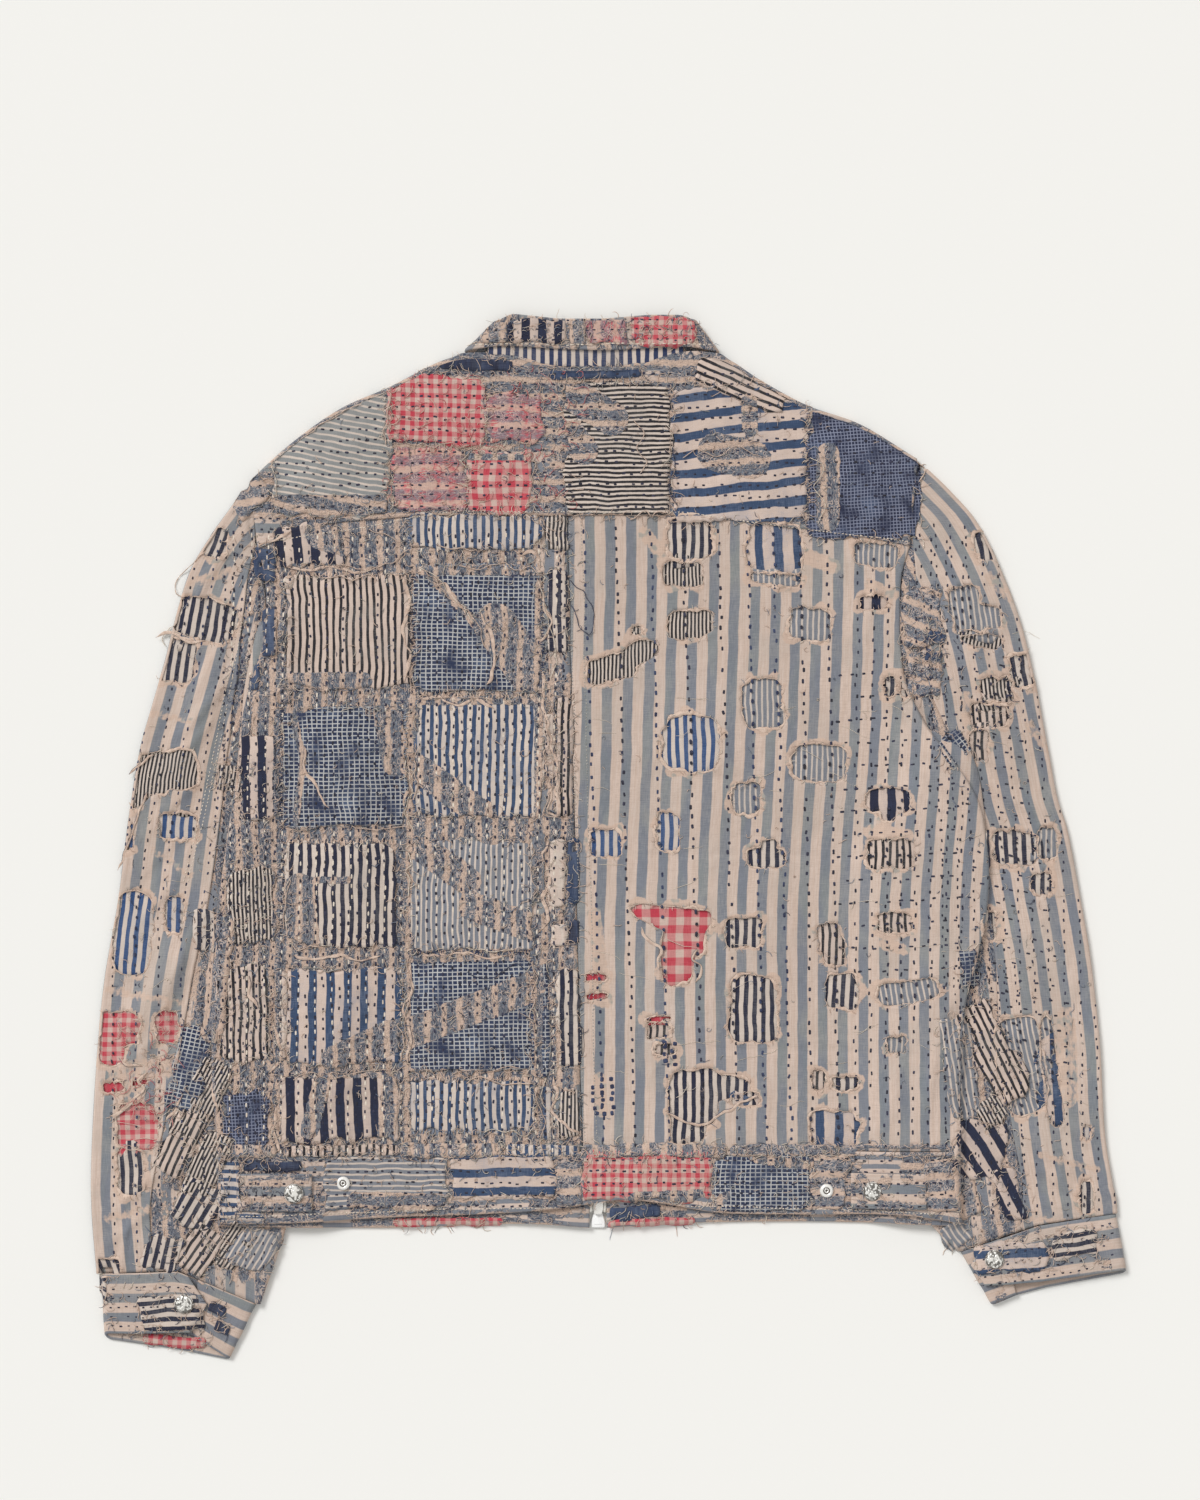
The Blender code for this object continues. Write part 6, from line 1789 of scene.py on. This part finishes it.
def slider_and_pull():
    """The slider's rounded body with its crown below, and the bell-shaped pull on its bar."""
    low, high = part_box("zip_slider")
    z0, z1 = low.z / MM, high.z / MM
    place = np.array([ZIP_X, SLIDER_Y, 0.0])
    body = []
    for y in np.linspace(-5.5, 5.5, 15):
        half = 4.0 - 0.9 * smooth((-y - 1.0) / 4.0) - 0.35 * smooth((abs(y) - 4.9) / 0.6)
        body.append((y, -half, half, 1.35 - 0.3 * smooth((abs(y) - 4.7) / 0.8)))
    crown = [(y, -1.0, 1.0, 0.4) for y in (-3.3, 0.0, 3.3)]
    posts = [[(y - 0.35, -1.0, 1.0, 1.25), (y + 0.35, -1.0, 1.0, 1.25)] for y in (-3.0, 3.0)]
    middles = (z1 - 1.35, z0 + 0.4, z0 + 1.55, z0 + 1.55)
    parts = []
    for rows, middle in zip((body, crown, *posts), middles, strict=True):
        places, faces, ends = bar_along(rows)
        parts.append((places + place + (0, 0, middle), faces, ends))
    metal_piece("metal_zip_slider", parts, METAL["plain"], "jacket", "zip_slider")
    low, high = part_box("zip_pull")
    top, tip = high.y / MM - SLIDER_Y, low.y / MM - SLIDER_Y
    thick = (high.z - low.z) / MM / 2
    wide = (high.x - low.x) / MM / 2
    bar = []
    for y in np.linspace(-thick, thick, 9):
        bar.append((y, -3.0, 3.0, max(math.sqrt(max(thick**2 - y**2, 0)), 0.15)))
    arm_ys = np.linspace(-4.6, -0.1, 6)
    arms = [[(y, x, x + 1.4, thick * 0.9) for y in arm_ys] for x in (-3.0, 1.6)]
    bell = []
    for share in np.linspace(0, 1, 26):
        y = mix(-4.2, tip, share)
        flare = mix(3.0, wide, smooth(((top - y) / (top - tip)) / 0.86 * 1.25 - 0.2))
        round_off = 1.3 * (1 - math.sqrt(max(1 - max(share - 0.9, 0) ** 2 / 0.01, 0)))
        thin = thick * (1 - 0.35 * smooth((share - 0.95) / 0.05))
        bell.append((y, -flare + round_off, flare - round_off, thin))
    raised_ys = np.linspace(-7.0, tip + 2.2, 9)
    raised = [(y, -2.2 - 0.12 * k, 2.2 + 0.12 * k, 0.18) for k, y in enumerate(raised_ys)]
    parts = []
    for rows, lift in ((bar, 0.0), (arms[0], 0.0), (arms[1], 0.0), (bell, 0.0), (raised, thick - 0.12)):
        places, faces, ends = bar_along(rows)
        parts.append((places + place + (0, 0, (low.z + high.z) / 2 / MM + lift), faces, ends))
    metal_piece("metal_zip_pull", parts, METAL["bright"], "pull", "zip_pull")


def zip_parts():
    """The zip's tapes and teeth, seen from below."""
    tape = Look("zip_tape", 0.85)
    where = tape.node("TexCoord").outputs["Object"]
    weave = tape.texture("TexWave", where, DIAGONAL_WAVE, Scale=500.0).outputs["Fac"]
    tape_look = tape.finish(tape.blend(weave, colour(222, 218, 210), colour(238, 235, 228)), weave, 0.5, 0.15)
    for side in ("left", "right"):
        node = f"zip_tape_{side}"
        low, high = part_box(node)
        across = np.linspace(low.x, high.x, 3) / MM
        x, y = np.meshgrid(across, np.linspace(low.y / MM + 8.5, high.y / MM, 220))
        z = rise(np.full(x.shape, ZIP_X), y) + 1.8
        points = np.stack([x, y, z], -1).reshape(-1, 3)
        cut = np.stack([x, y], -1).reshape(-1, 2)
        piece = build(f"cloth_{node}", points, quads(*x.shape), [tape_look], cut)
        thicken(piece, 0.9)
        declare(piece, [node], area_of(points, quads(*x.shape)), cut)
    low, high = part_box("zip_chain")
    points, faces = [], []
    block = np.array([(sx, sy, sz) for sx in (-1, 1) for sy in (-1, 1) for sz in (-1, 1)], float)
    box_faces = np.array(((0, 1, 3, 2), (4, 6, 7, 5), (0, 4, 5, 1), (2, 3, 7, 6), (0, 2, 6, 4), (1, 5, 7, 3)))
    for k, y in enumerate(np.arange(low.y / MM + 0.6, high.y / MM - 0.4, 1.5)):
        z = float(rise(ZIP_X, y)) + 1.3
        side = 1 if k % 2 else -1
        narrow = np.where(block[:, :1] * side > 0, (1, 1, 1), (1, 0.6, 0.8))
        points.append(block * (1.9, 0.5, 0.95) * narrow + (ZIP_X + side * 1.0, y, z))
        faces.append(box_faces + 8 * k)
    chain = build("metal_zip_teeth", np.vstack(points), np.vstack(faces), [METAL["plain"]])
    chain.data.polygons.foreach_set("use_smooth", np.zeros(len(chain.data.polygons), bool))
    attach(chain, "jacket")
    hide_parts("zip_chain")


# ---------------------------------------------------------------- putting it together
rng = np.random.default_rng(7)
BODY_RINGS = outlines(BODY_HOLES, 300)
SLEEVE_RINGS = {"left": outlines(LEFT_SLEEVE_HOLES, 400), "right": outlines(RIGHT_SLEEVE_HOLES, 500)}
ALL_RINGS = BODY_RINGS + SLEEVE_RINGS["left"] + SLEEVE_RINGS["right"]

for side in OUTWARD:
    sleeve_panels(side, SLEEVE_RINGS[side])
    front_panel(side)
    back_panel(side, BODY_RINGS if side == "right" else [])
yoke_panel()
waistbands()
for side in OUTWARD:
    cuff(side)
collar()
tabs()


def under_cloth(x, y):
    """The level of the cloths in the holes: below the cloth, without its raised rims."""
    return np.maximum(shells.heights(x, y, 2.0) - 1.0 - rim_lift(x, y, ALL_RINGS), 1.2)


lay_bits("cloth_under_back", under_bits(BODY_RINGS), level=under_cloth)
for side in OUTWARD:
    bits = under_bits(SLEEVE_RINGS[side])
    lay_bits(f"cloth_under_sleeve_{side}", bits, level=under_cloth)
lay_patches()
lay_bits("cloth_small_patches", SMALL_PATCHES, MENDS)
lay_bits("cloth_band_patches", BAND_PATCHES, MENDS)
lay_bits("cloth_collar_patches", COLLAR_PATCHES)
lay_bits("cloth_sleeve_patches", SLEEVE_PATCHES)
lay_bits("cloth_cuff_patches", CUFF_PATCHES)

rims("rims_back", BODY_RINGS)
rims("rims_sleeve_left", SLEEVE_RINGS["left"])
rims("rims_sleeve_right", SLEEVE_RINGS["right"])

# Running stitches: down the striped right half, over the darned left half, and along the yoke and bands
for x in (-16, 9, 36, 62, 90, 112, 132, 154, 175):
    lean = 12 if x < 140 else 6
    run("black" if x % 4 else "navy", x - 4, 246, x + lean, -244)
for k, y in enumerate(range(128, -112, -18)):
    run("black", 178 + 5 * (k % 2), y, 276, y + 5, 9.2, 3.3, 1.7, 0.6, 0.1)
for x in (195, 207, 219, 230, 241, 253, 266, 278):
    run("black", x + 1, 240, x - 2, -244, 9.0, 3.4, 1.7, 0.6, 0.12)
for x in (-13, -5.5, 1.5):
    run("navy", x, -188, x + 1, -219, 5.2, 3.8, 3.4, 0.8, 0.1)
for x in (43, 50):
    run("navy", x, -159, x + 1, -180, 5.2, 3.8, 3.4, 0.8, 0.1)


def off_fine_patch(x, y):
    return not (-254 < x < -156 and 117 < y < 206)


for k, x in enumerate(np.arange(-306, -36, 6.7)):
    where, between = (off_fine_patch, "pale") if k % 2 else (None, None)
    run("black", x + 3, 244, x, -244, 8.3, 3.0, 1.8, 0.5, 0.08, where, between)
run("black", -39, 250, -31, -244, 8.3, 2.8, 1.6, 0.4, 0.1)


def on_yoke(x, y):
    return on_edge(YOKE_SEAM, x) + 3 < y < shoulder_limit(x) - 2


for y in np.arange(234, 372, 8.8):
    run("black", -278, y, 243, y, 7.0, 2.9, 1.7, 0.6, 0.1, on_yoke)
for y in (-254, -263, -272, -281, -290):
    run("black", -306, y, 276, y, 6.8, 2.9, 1.6, 0.5, 0.12)
for k, x in enumerate((-392, -374, -356, -338, -322)):
    run("black" if k % 2 else "navy", x + 52 - k * 2, 236, x, -60, 7.5, 2.8, 1.5)
    run("navy" if k % 2 else "black", x, -60, x + 2, -336, 7.5, 2.8, 1.5)
for x in np.arange(-322, -262, 7.0):
    run("black", x + 12, 60, x, -340, 6.4, 2.4, 1.3, 0.6, 0.2)
for k, x in enumerate(np.arange(262, 396, 12.0)):
    run("black", x - 18, 250, x, -20, 8.0, 2.8, 1.5)
    run("black", x, -20, x + 4, -300, 8.0, 2.8, 1.5)
for k, y in enumerate(range(140, -190, -12)):
    run("black", 280 + 6 * (k % 2), y + 6, 340 - 0.16 * y, y - 6, 12.0, 3.4, 1.6, 0.8, 0.12)
for x in np.arange(280, 330, 7.0):
    run("black", x - 10, -100, x, -300, 6.4, 2.4, 1.3, 0.6, 0.2)
for y in (408, 400, 392):
    run("black", -106, y, 74, y, 6.4, 2.4, 1.3, 0.5, 0.2)
run("pale", -108, 388.5, 80, 388.5, 4.0, 2.8, 1.0, 0.2, 0.0)
for dy in (4, 12, 20, 28, 36):
    run("black", -402, -352 - dy * 0.9, -332, -350 - dy, 6.4, 2.4, 1.3, 0.4, 0.1)
    run("black", 292, -322 - dy * 0.9, 398, -300 - dy, 6.4, 2.4, 1.3, 0.4, 0.1)
# Closely darned edges of patches, up the cloth and across it
DARNED_UP = (
    (-155, 118, 210, "black"), (-53, 120, 212, "navy"), (-258, 12, 98, "navy"), (-161, 20, 100, "slate"),
    (-61, -180, -95, "navy"), (-163, -180, -96, "slate"), (-158, 228, 252, "slate"), (157, 240, 335, "navy"),
)
for x, y0, y1, tone in DARNED_UP:
    for y in np.arange(y0, y1, 2.3):
        place = (x + rng.normal(0, 0.6), y + rng.normal(0, 0.3))
        dash(tone, *place, rng.normal(0, 0.15), rng.uniform(2.4, 4.6), 0.9)
DARNED_ACROSS = (
    (-254, -158, 206, "ecru"), (-152, -56, 214, "slate"), (-152, -56, 112, "ecru"), (-254, -168, -3, "ecru"),
    (-158, -62, -90, "navy"), (-156, -58, -190, "ecru"), (-154, -60, -232, "slate"), (-18, 78, -249, "red"),
)
for x0, x1, y, tone in DARNED_ACROSS:
    for x in np.arange(x0, x1, 2.5):
        place = (x + rng.normal(0, 0.4), y + rng.normal(0, 0.7))
        dash(tone, *place, math.pi / 2 + rng.normal(0, 0.2), rng.uniform(2.4, 5.0), 0.9)
# Topstitching: along the centre seam, the yoke's seam, the waist seam and the sleeves' seams
for off in (1.4, 11.0):
    for y in range(250, -240, -35):
        ends = [float(body_edge("centre", at)) + off for at in (y, max(y - 35, -243))]
        run("grey", ends[0], y, ends[1], max(y - 35, -243), 2.6, 1.5, 0.8, 0.08, 0.0)
for x0, x1 in ((-278, -120), (-120, 60), (60, 240)):
    y0, y1 = (float(on_edge(YOKE_SEAM, x)) + 2 for x in (x0, x1))
    run("pale", x0, y0, x1, y1, 3.0, 2.0, 0.8, 0.1, 0.02)
run("grey", -306, -250, 276, -250, 3.0, 1.8, 0.7, 0.3, 0.25)
run("pale", -306, -298, -40, -291, 3.0, 2.0, 0.8, 0.1, 0.02)
run("pale", 60, -290, 276, -296, 3.0, 2.0, 0.8, 0.1, 0.02)
for off in (-2.0, 1.4):
    for x0, y0, x1, y1 in ((-290, 176, -312, 56), (-312, 56, -334, -34)):
        run("pale", x0 + off, y0, x1 + off, y1, 3.0, 1.7, 0.8, 0.1, 0.02)

# Frayed threads: round holes and patches, over the darned places, and past the outline, and straight pale
# threads painted as crease highlights
for ring, _ in ALL_RINGS:
    frayed_ring(ring)
for patch in PATCHES:
    frayed_patch(patch)
for patch in SMALL_PATCHES + BAND_PATCHES + SLEEVE_PATCHES + CUFF_PATCHES:
    frayed_patch(patch, 4.5)
for patch in COLLAR_PATCHES:
    frayed_patch(patch, 12.0)
Zone = namedtuple("Zone", "x0 x1 y0 y1 count bare", defaults=(False,))
ZONES = table(
    Zone,
    (-306, -24, -244, 248, 3200, True), (-276, 240, 250, 372, 1400, True), (-306, 276, -304, -250, 420),
    (-306, 276, -251, -244, 260), (-322, -262, -340, 60, 420), (-395, -330, -300, 230, 130),
    (262, 380, -300, 240, 200), (230, 264, 110, 200, 130), (-20, 270, -240, 240, 90),
    (-105, 72, 388, 408, 220), (-400, -300, -400, -350, 120), (290, 396, -345, -302, 110),
)
covered = [(p, *middle_of(p), *cos_sin(p.tilt)) for p in PATCHES + SMALL_PATCHES]


def on_patch(x, y):
    """Whether a place lies on the clean part of a patch."""
    if float(mended(np.array(x), np.array(y), MENDS)) > 0.4:
        return False
    for p, mx, my, c, s in covered:
        dx, dy = x - mx, y - my
        wide, high = p.x1 - p.x0, p.y1 - p.y0
        if abs(dx * c + dy * s) < wide / 2 - 2 and abs(-dx * s + dy * c) < high / 2 - 2:
            return True
    return False


for zone in ZONES:
    for _ in range(zone.count):
        x, y = rng.uniform(zone.x0, zone.x1), rng.uniform(zone.y0, zone.y1)
        if zone.bare and on_patch(x, y) and rng.random() < 0.85:
            continue
        fray(tone_of(*DARN_YARNS), x, y, rng.uniform(0, 2 * math.pi), rng.uniform(2.5, 9), 0.5, 0.8, 0.27)
for _ in range(260):
    tone = tone_of(("red", 3), ("ecru", 2))
    place = (rng.uniform(-176, -20), rng.uniform(256, 368))
    fray(tone, *place, rng.normal(0, 0.5), rng.uniform(5, 14), 0.2, 0.8)
for _ in range(110):
    tone = tone_of(("red", 2), ("ecru", 2))
    place = (rng.uniform(-394, -340), rng.uniform(-226, -140))
    fray(tone, *place, rng.normal(0, 1.2), rng.uniform(4, 12), 0.2, 0.8)

# Straight pale threads across the right back and the sleeves: painted highlights, pale lines that stand for
# the glint along fine creases
CREASE_GLINTS = ((-18, 276, -236, 120, 46), (-392, -340, -300, 200, 10), (290, 370, -240, 200, 14))
for x0, x1, y0, y1, count in CREASE_GLINTS:
    for _ in range(count):
        place = (rng.uniform(x0, x1), rng.uniform(y0, y1))
        fray("pale", *place, rng.normal(0, 0.05), rng.uniform(10, 26), 0.002, 0.0, 0.22)

for patch in PATCHES:
    for edge in rng.choice(4, 3, replace=False):
        share = np.sort(rng.uniform(0.02, 0.98, 2))
        if share[1] - share[0] < 0.25:
            continue
        w, h = patch.x1 - patch.x0, patch.y1 - patch.y0
        places = []
        for t in np.linspace(*share, 6) - 0.5:
            dx, dy = ((t * w, h / 2), (t * w, -h / 2), (w / 2, t * h), (-w / 2, t * h))[edge]
            x, y = placed(patch, dx + rng.normal(0, 1.6), dy + rng.normal(0, 1.6))
            places.append((x, min(y, float(shoulder_limit(x)))))
        tone = tone_of(("ecru", 5), ("pale", 2), ("navy", 1), ("grey", 1))
        cord(tone, places, rng.uniform(0.35, 0.6), 1.2)
LOOPS = (
    ("ecru", ((-318, 226), (-329, 217), (-339, 208), (-343, 200), (-342, 192), (-338, 189))),
    ("pale", ((-346, 166), (-353, 158), (-351, 150))),
    ("navy", ((-30, 202), (-18, 190), (-12, 172), (-16, 160), (-28, 176), (-31, 188))),
    ("ecru", ((-146, 212), (-134, 200), (-126, 188), (-112, 178), (-104, 168), (-98, 150))),
    ("pale", ((-150, 214), (-136, 206), (-124, 190), (-116, 182), (-106, 170))),
    ("ecru", ((-190, 243), (-170, 236), (-162, 226), (-166, 214), (-158, 206))),
    ("ecru", ((-212, 216), (-190, 212), (-170, 218), (-158, 228))),
    ("navy", ((-112, -106), (-96, -112), (-84, -106), (-74, -98), (-66, -104))),
    ("ecru", ((-118, 215), (-100, 212), (-84, 216), (-72, 210), (-62, 214), (-55, 206))),
    ("pale", ((-54, 196), (-50, 176), (-44, 160), (-42, 140), (-46, 124))),
    ("ecru", ((-52, 98), (-48, 76), (-44, 50), (-48, 30), (-52, 18), (-40, 16))),
    ("pale", ((-162, 60), (-156, 40), (-161, 20), (-155, 6))),
    ("ecru", ((-160, -96), (-156, -120), (-162, -146), (-157, -168))),
    ("ecru", ((-54, -190), (-58, -206), (-50, -222), (-54, -240), (-50, -256))),
    ("pale", ((-50, -188), (-54, -204), (-46, -220), (-48, -238))),
    ("ecru", ((20, 330), (26, 318), (22, 306), (30, 296), (24, 288))),
    ("ecru", ((58, 300), (70, 306), (86, 300), (100, 308), (118, 300))),
    ("pale", ((158, 300), (168, 292), (162, 276), (170, 262), (164, 248))),
)
for tone, places in LOOPS:
    cord(tone, places, 0.45, 1.4)

RIBBONS = (
    ((-57, 206), (-54, 193), (-49, 176), (-46, 168), (-51, 159), (-54, 153)),
    ((-140, 198), (-131, 201), (-124, 190), (-116, 182), (-112, 175)),
    ((-102, 178), (-98, 168), (-93, 162), (-92, 148), (-90, 138), (-93, 129), (-97, 120)),
    ((-71, 222), (-60, 225), (-55, 219), (-56, 211)),
    ((-54, 132), (-52, 119), (-54, 103), (-49, 88), (-47, 77), (-44, 66), (-40, 35)),
    ((-150, 110), (-134, 111), (-121, 105), (-106, 110), (-90, 100)),
    ((-48, 45), (-47, 31), (-49, 21), (-42, 18), (-40, 25), (-41, 40), (-39, 45)),
    ((-47, -3), (-54, -13), (-47, -30), (-52, -48), (-48, -66), (-56, -74)),
    ((-46, -188), (-41, -200), (-45, -214), (-37, -225), (-23, -232)),
    ((24, -70), (31, -82), (40, -86), (38, -98), (39, -106)),
    ((69, -87), (65, -96), (73, -102), (67, -114)),
    ((46, -216), (55, -222), (64, -226), (75, -225), (87, -219), (99, -212), (117, -202)),
    ((-357, 159), (-346, 162), (-332, 155), (-319, 155)),
    ((-380, 50), (-372, 56), (-359, 66)),
    ((-365, 35), (-372, 17), (-378, -4), (-389, -26)),
    ((-282, 227), (-267, 234), (-250, 242)),
    ((-241, 72), (-239, 56), (-230, 38), (-221, 24)),
    ((-282, -109), (-284, -123), (-277, -133)),
    ((-267, -140), (-261, -157), (-260, -177), (-268, -186)),
    ((-314, -186), (-312, -200), (-308, -214)),
    ((-386, -173), (-376, -180), (-369, -180)),
    ((-363, -184), (-371, -192), (-366, -197), (-375, -206), (-382, -214), (-395, -221)),
    ((-261, -209), (-264, -227), (-260, -248)),
    ((-336, -203), (-344, -217), (-350, -224)),
    ((-160, 60), (-156, 44), (-162, 30), (-157, 12)),
    ((-158, -98), (-155, -116), (-162, -134), (-157, -158), (-160, -180)),
    ((-255, 213), (-236, 210), (-220, 214), (-200, 209), (-184, 213)),
    ((-164, 206), (-158, 186), (-163, 164), (-157, 140), (-162, 122)),
    ((-250, -92), (-232, -96), (-214, -92), (-196, -97), (-180, -93)),
    ((-150, -89), (-136, -94), (-118, -90), (-98, -95), (-80, -91)),
)
ribbons("torn_edges", RIBBONS)

for tone in sorted(stitches):
    sew(f"stitches_{tone}", tone)
for tone in sorted(strands):
    spin(f"threads_{tone}", tone)
hardware()
zip_parts()
slider_and_pull()


# ---------------------------------------------------------------- floor, light and camera
floor_look = Look("floor", 0.9, 0.0, 0.0)
grainy = floor_look.node("TexNoise")
grainy.inputs["Scale"].default_value = 30.0
floor_look.finish(floor_look.blend(grainy.outputs[0], colour(243, 242, 238), colour(245, 244, 240)))
floor = bpy.data.objects.new("Floor", bpy.data.meshes.new("Floor"))
FLOOR_REACH = 60.0
corners = ((-1, -1), (1, -1), (1, 1), (-1, 1))
floor.data.from_pydata([(x * FLOOR_REACH, y * FLOOR_REACH, 0) for x, y in corners], [], [(0, 1, 2, 3)])
floor.data.materials.append(floor_look.material)
bpy.context.scene.collection.objects.link(floor)

world = bpy.data.worlds.new("Studio")
world.use_nodes = True
light = world.node_tree.nodes["Background"]
light.inputs[0].default_value = (1.0, 0.995, 0.985, 1)
light.inputs[1].default_value = 0.57
# what a camera or a mirror sees behind the floor is the floor's own pale tone
backdrop = world.node_tree.nodes.new("ShaderNodeBackground")
backdrop.inputs[0].default_value = colour(242, 241, 237)
path = world.node_tree.nodes.new("ShaderNodeLightPath")
seen = world.node_tree.nodes.new("ShaderNodeMath")
seen.operation = "MAXIMUM"
either = world.node_tree.nodes.new("ShaderNodeMixShader")
for start, end in (
    (path.outputs["Is Camera Ray"], seen.inputs[0]),
    (path.outputs["Is Glossy Ray"], seen.inputs[1]),
    (seen.outputs[0], either.inputs[0]),
    (light.outputs[0], either.inputs[1]),
    (backdrop.outputs[0], either.inputs[2]),
    (either.outputs[0], world.node_tree.nodes["World Output"].inputs[0]),
):
    world.node_tree.links.new(start, end)
bpy.context.scene.world = world

sun = bpy.data.objects.new("Key", bpy.data.lights.new("Key", "SUN"))
sun.data.energy = 2.0
sun.data.angle = math.radians(22)
sun.rotation_euler = (Vector((0.55, -0.62, -0.72))).to_track_quat("-Z", "Y").to_euler()
bpy.context.scene.collection.objects.link(sun)

camera = bpy.data.objects.new("Camera", bpy.data.cameras.new("Camera"))
camera.data.sensor_fit = "VERTICAL"
camera.data.sensor_height = 36.0
camera.data.lens = 85.0
camera.location = (-7.5 * MM, 69.1 * MM, 1.185 * 85.0 / 36.0)
bpy.context.scene.collection.objects.link(camera)
bpy.context.scene.camera = camera
bpy.context.scene.view_settings.view_transform = "Standard"
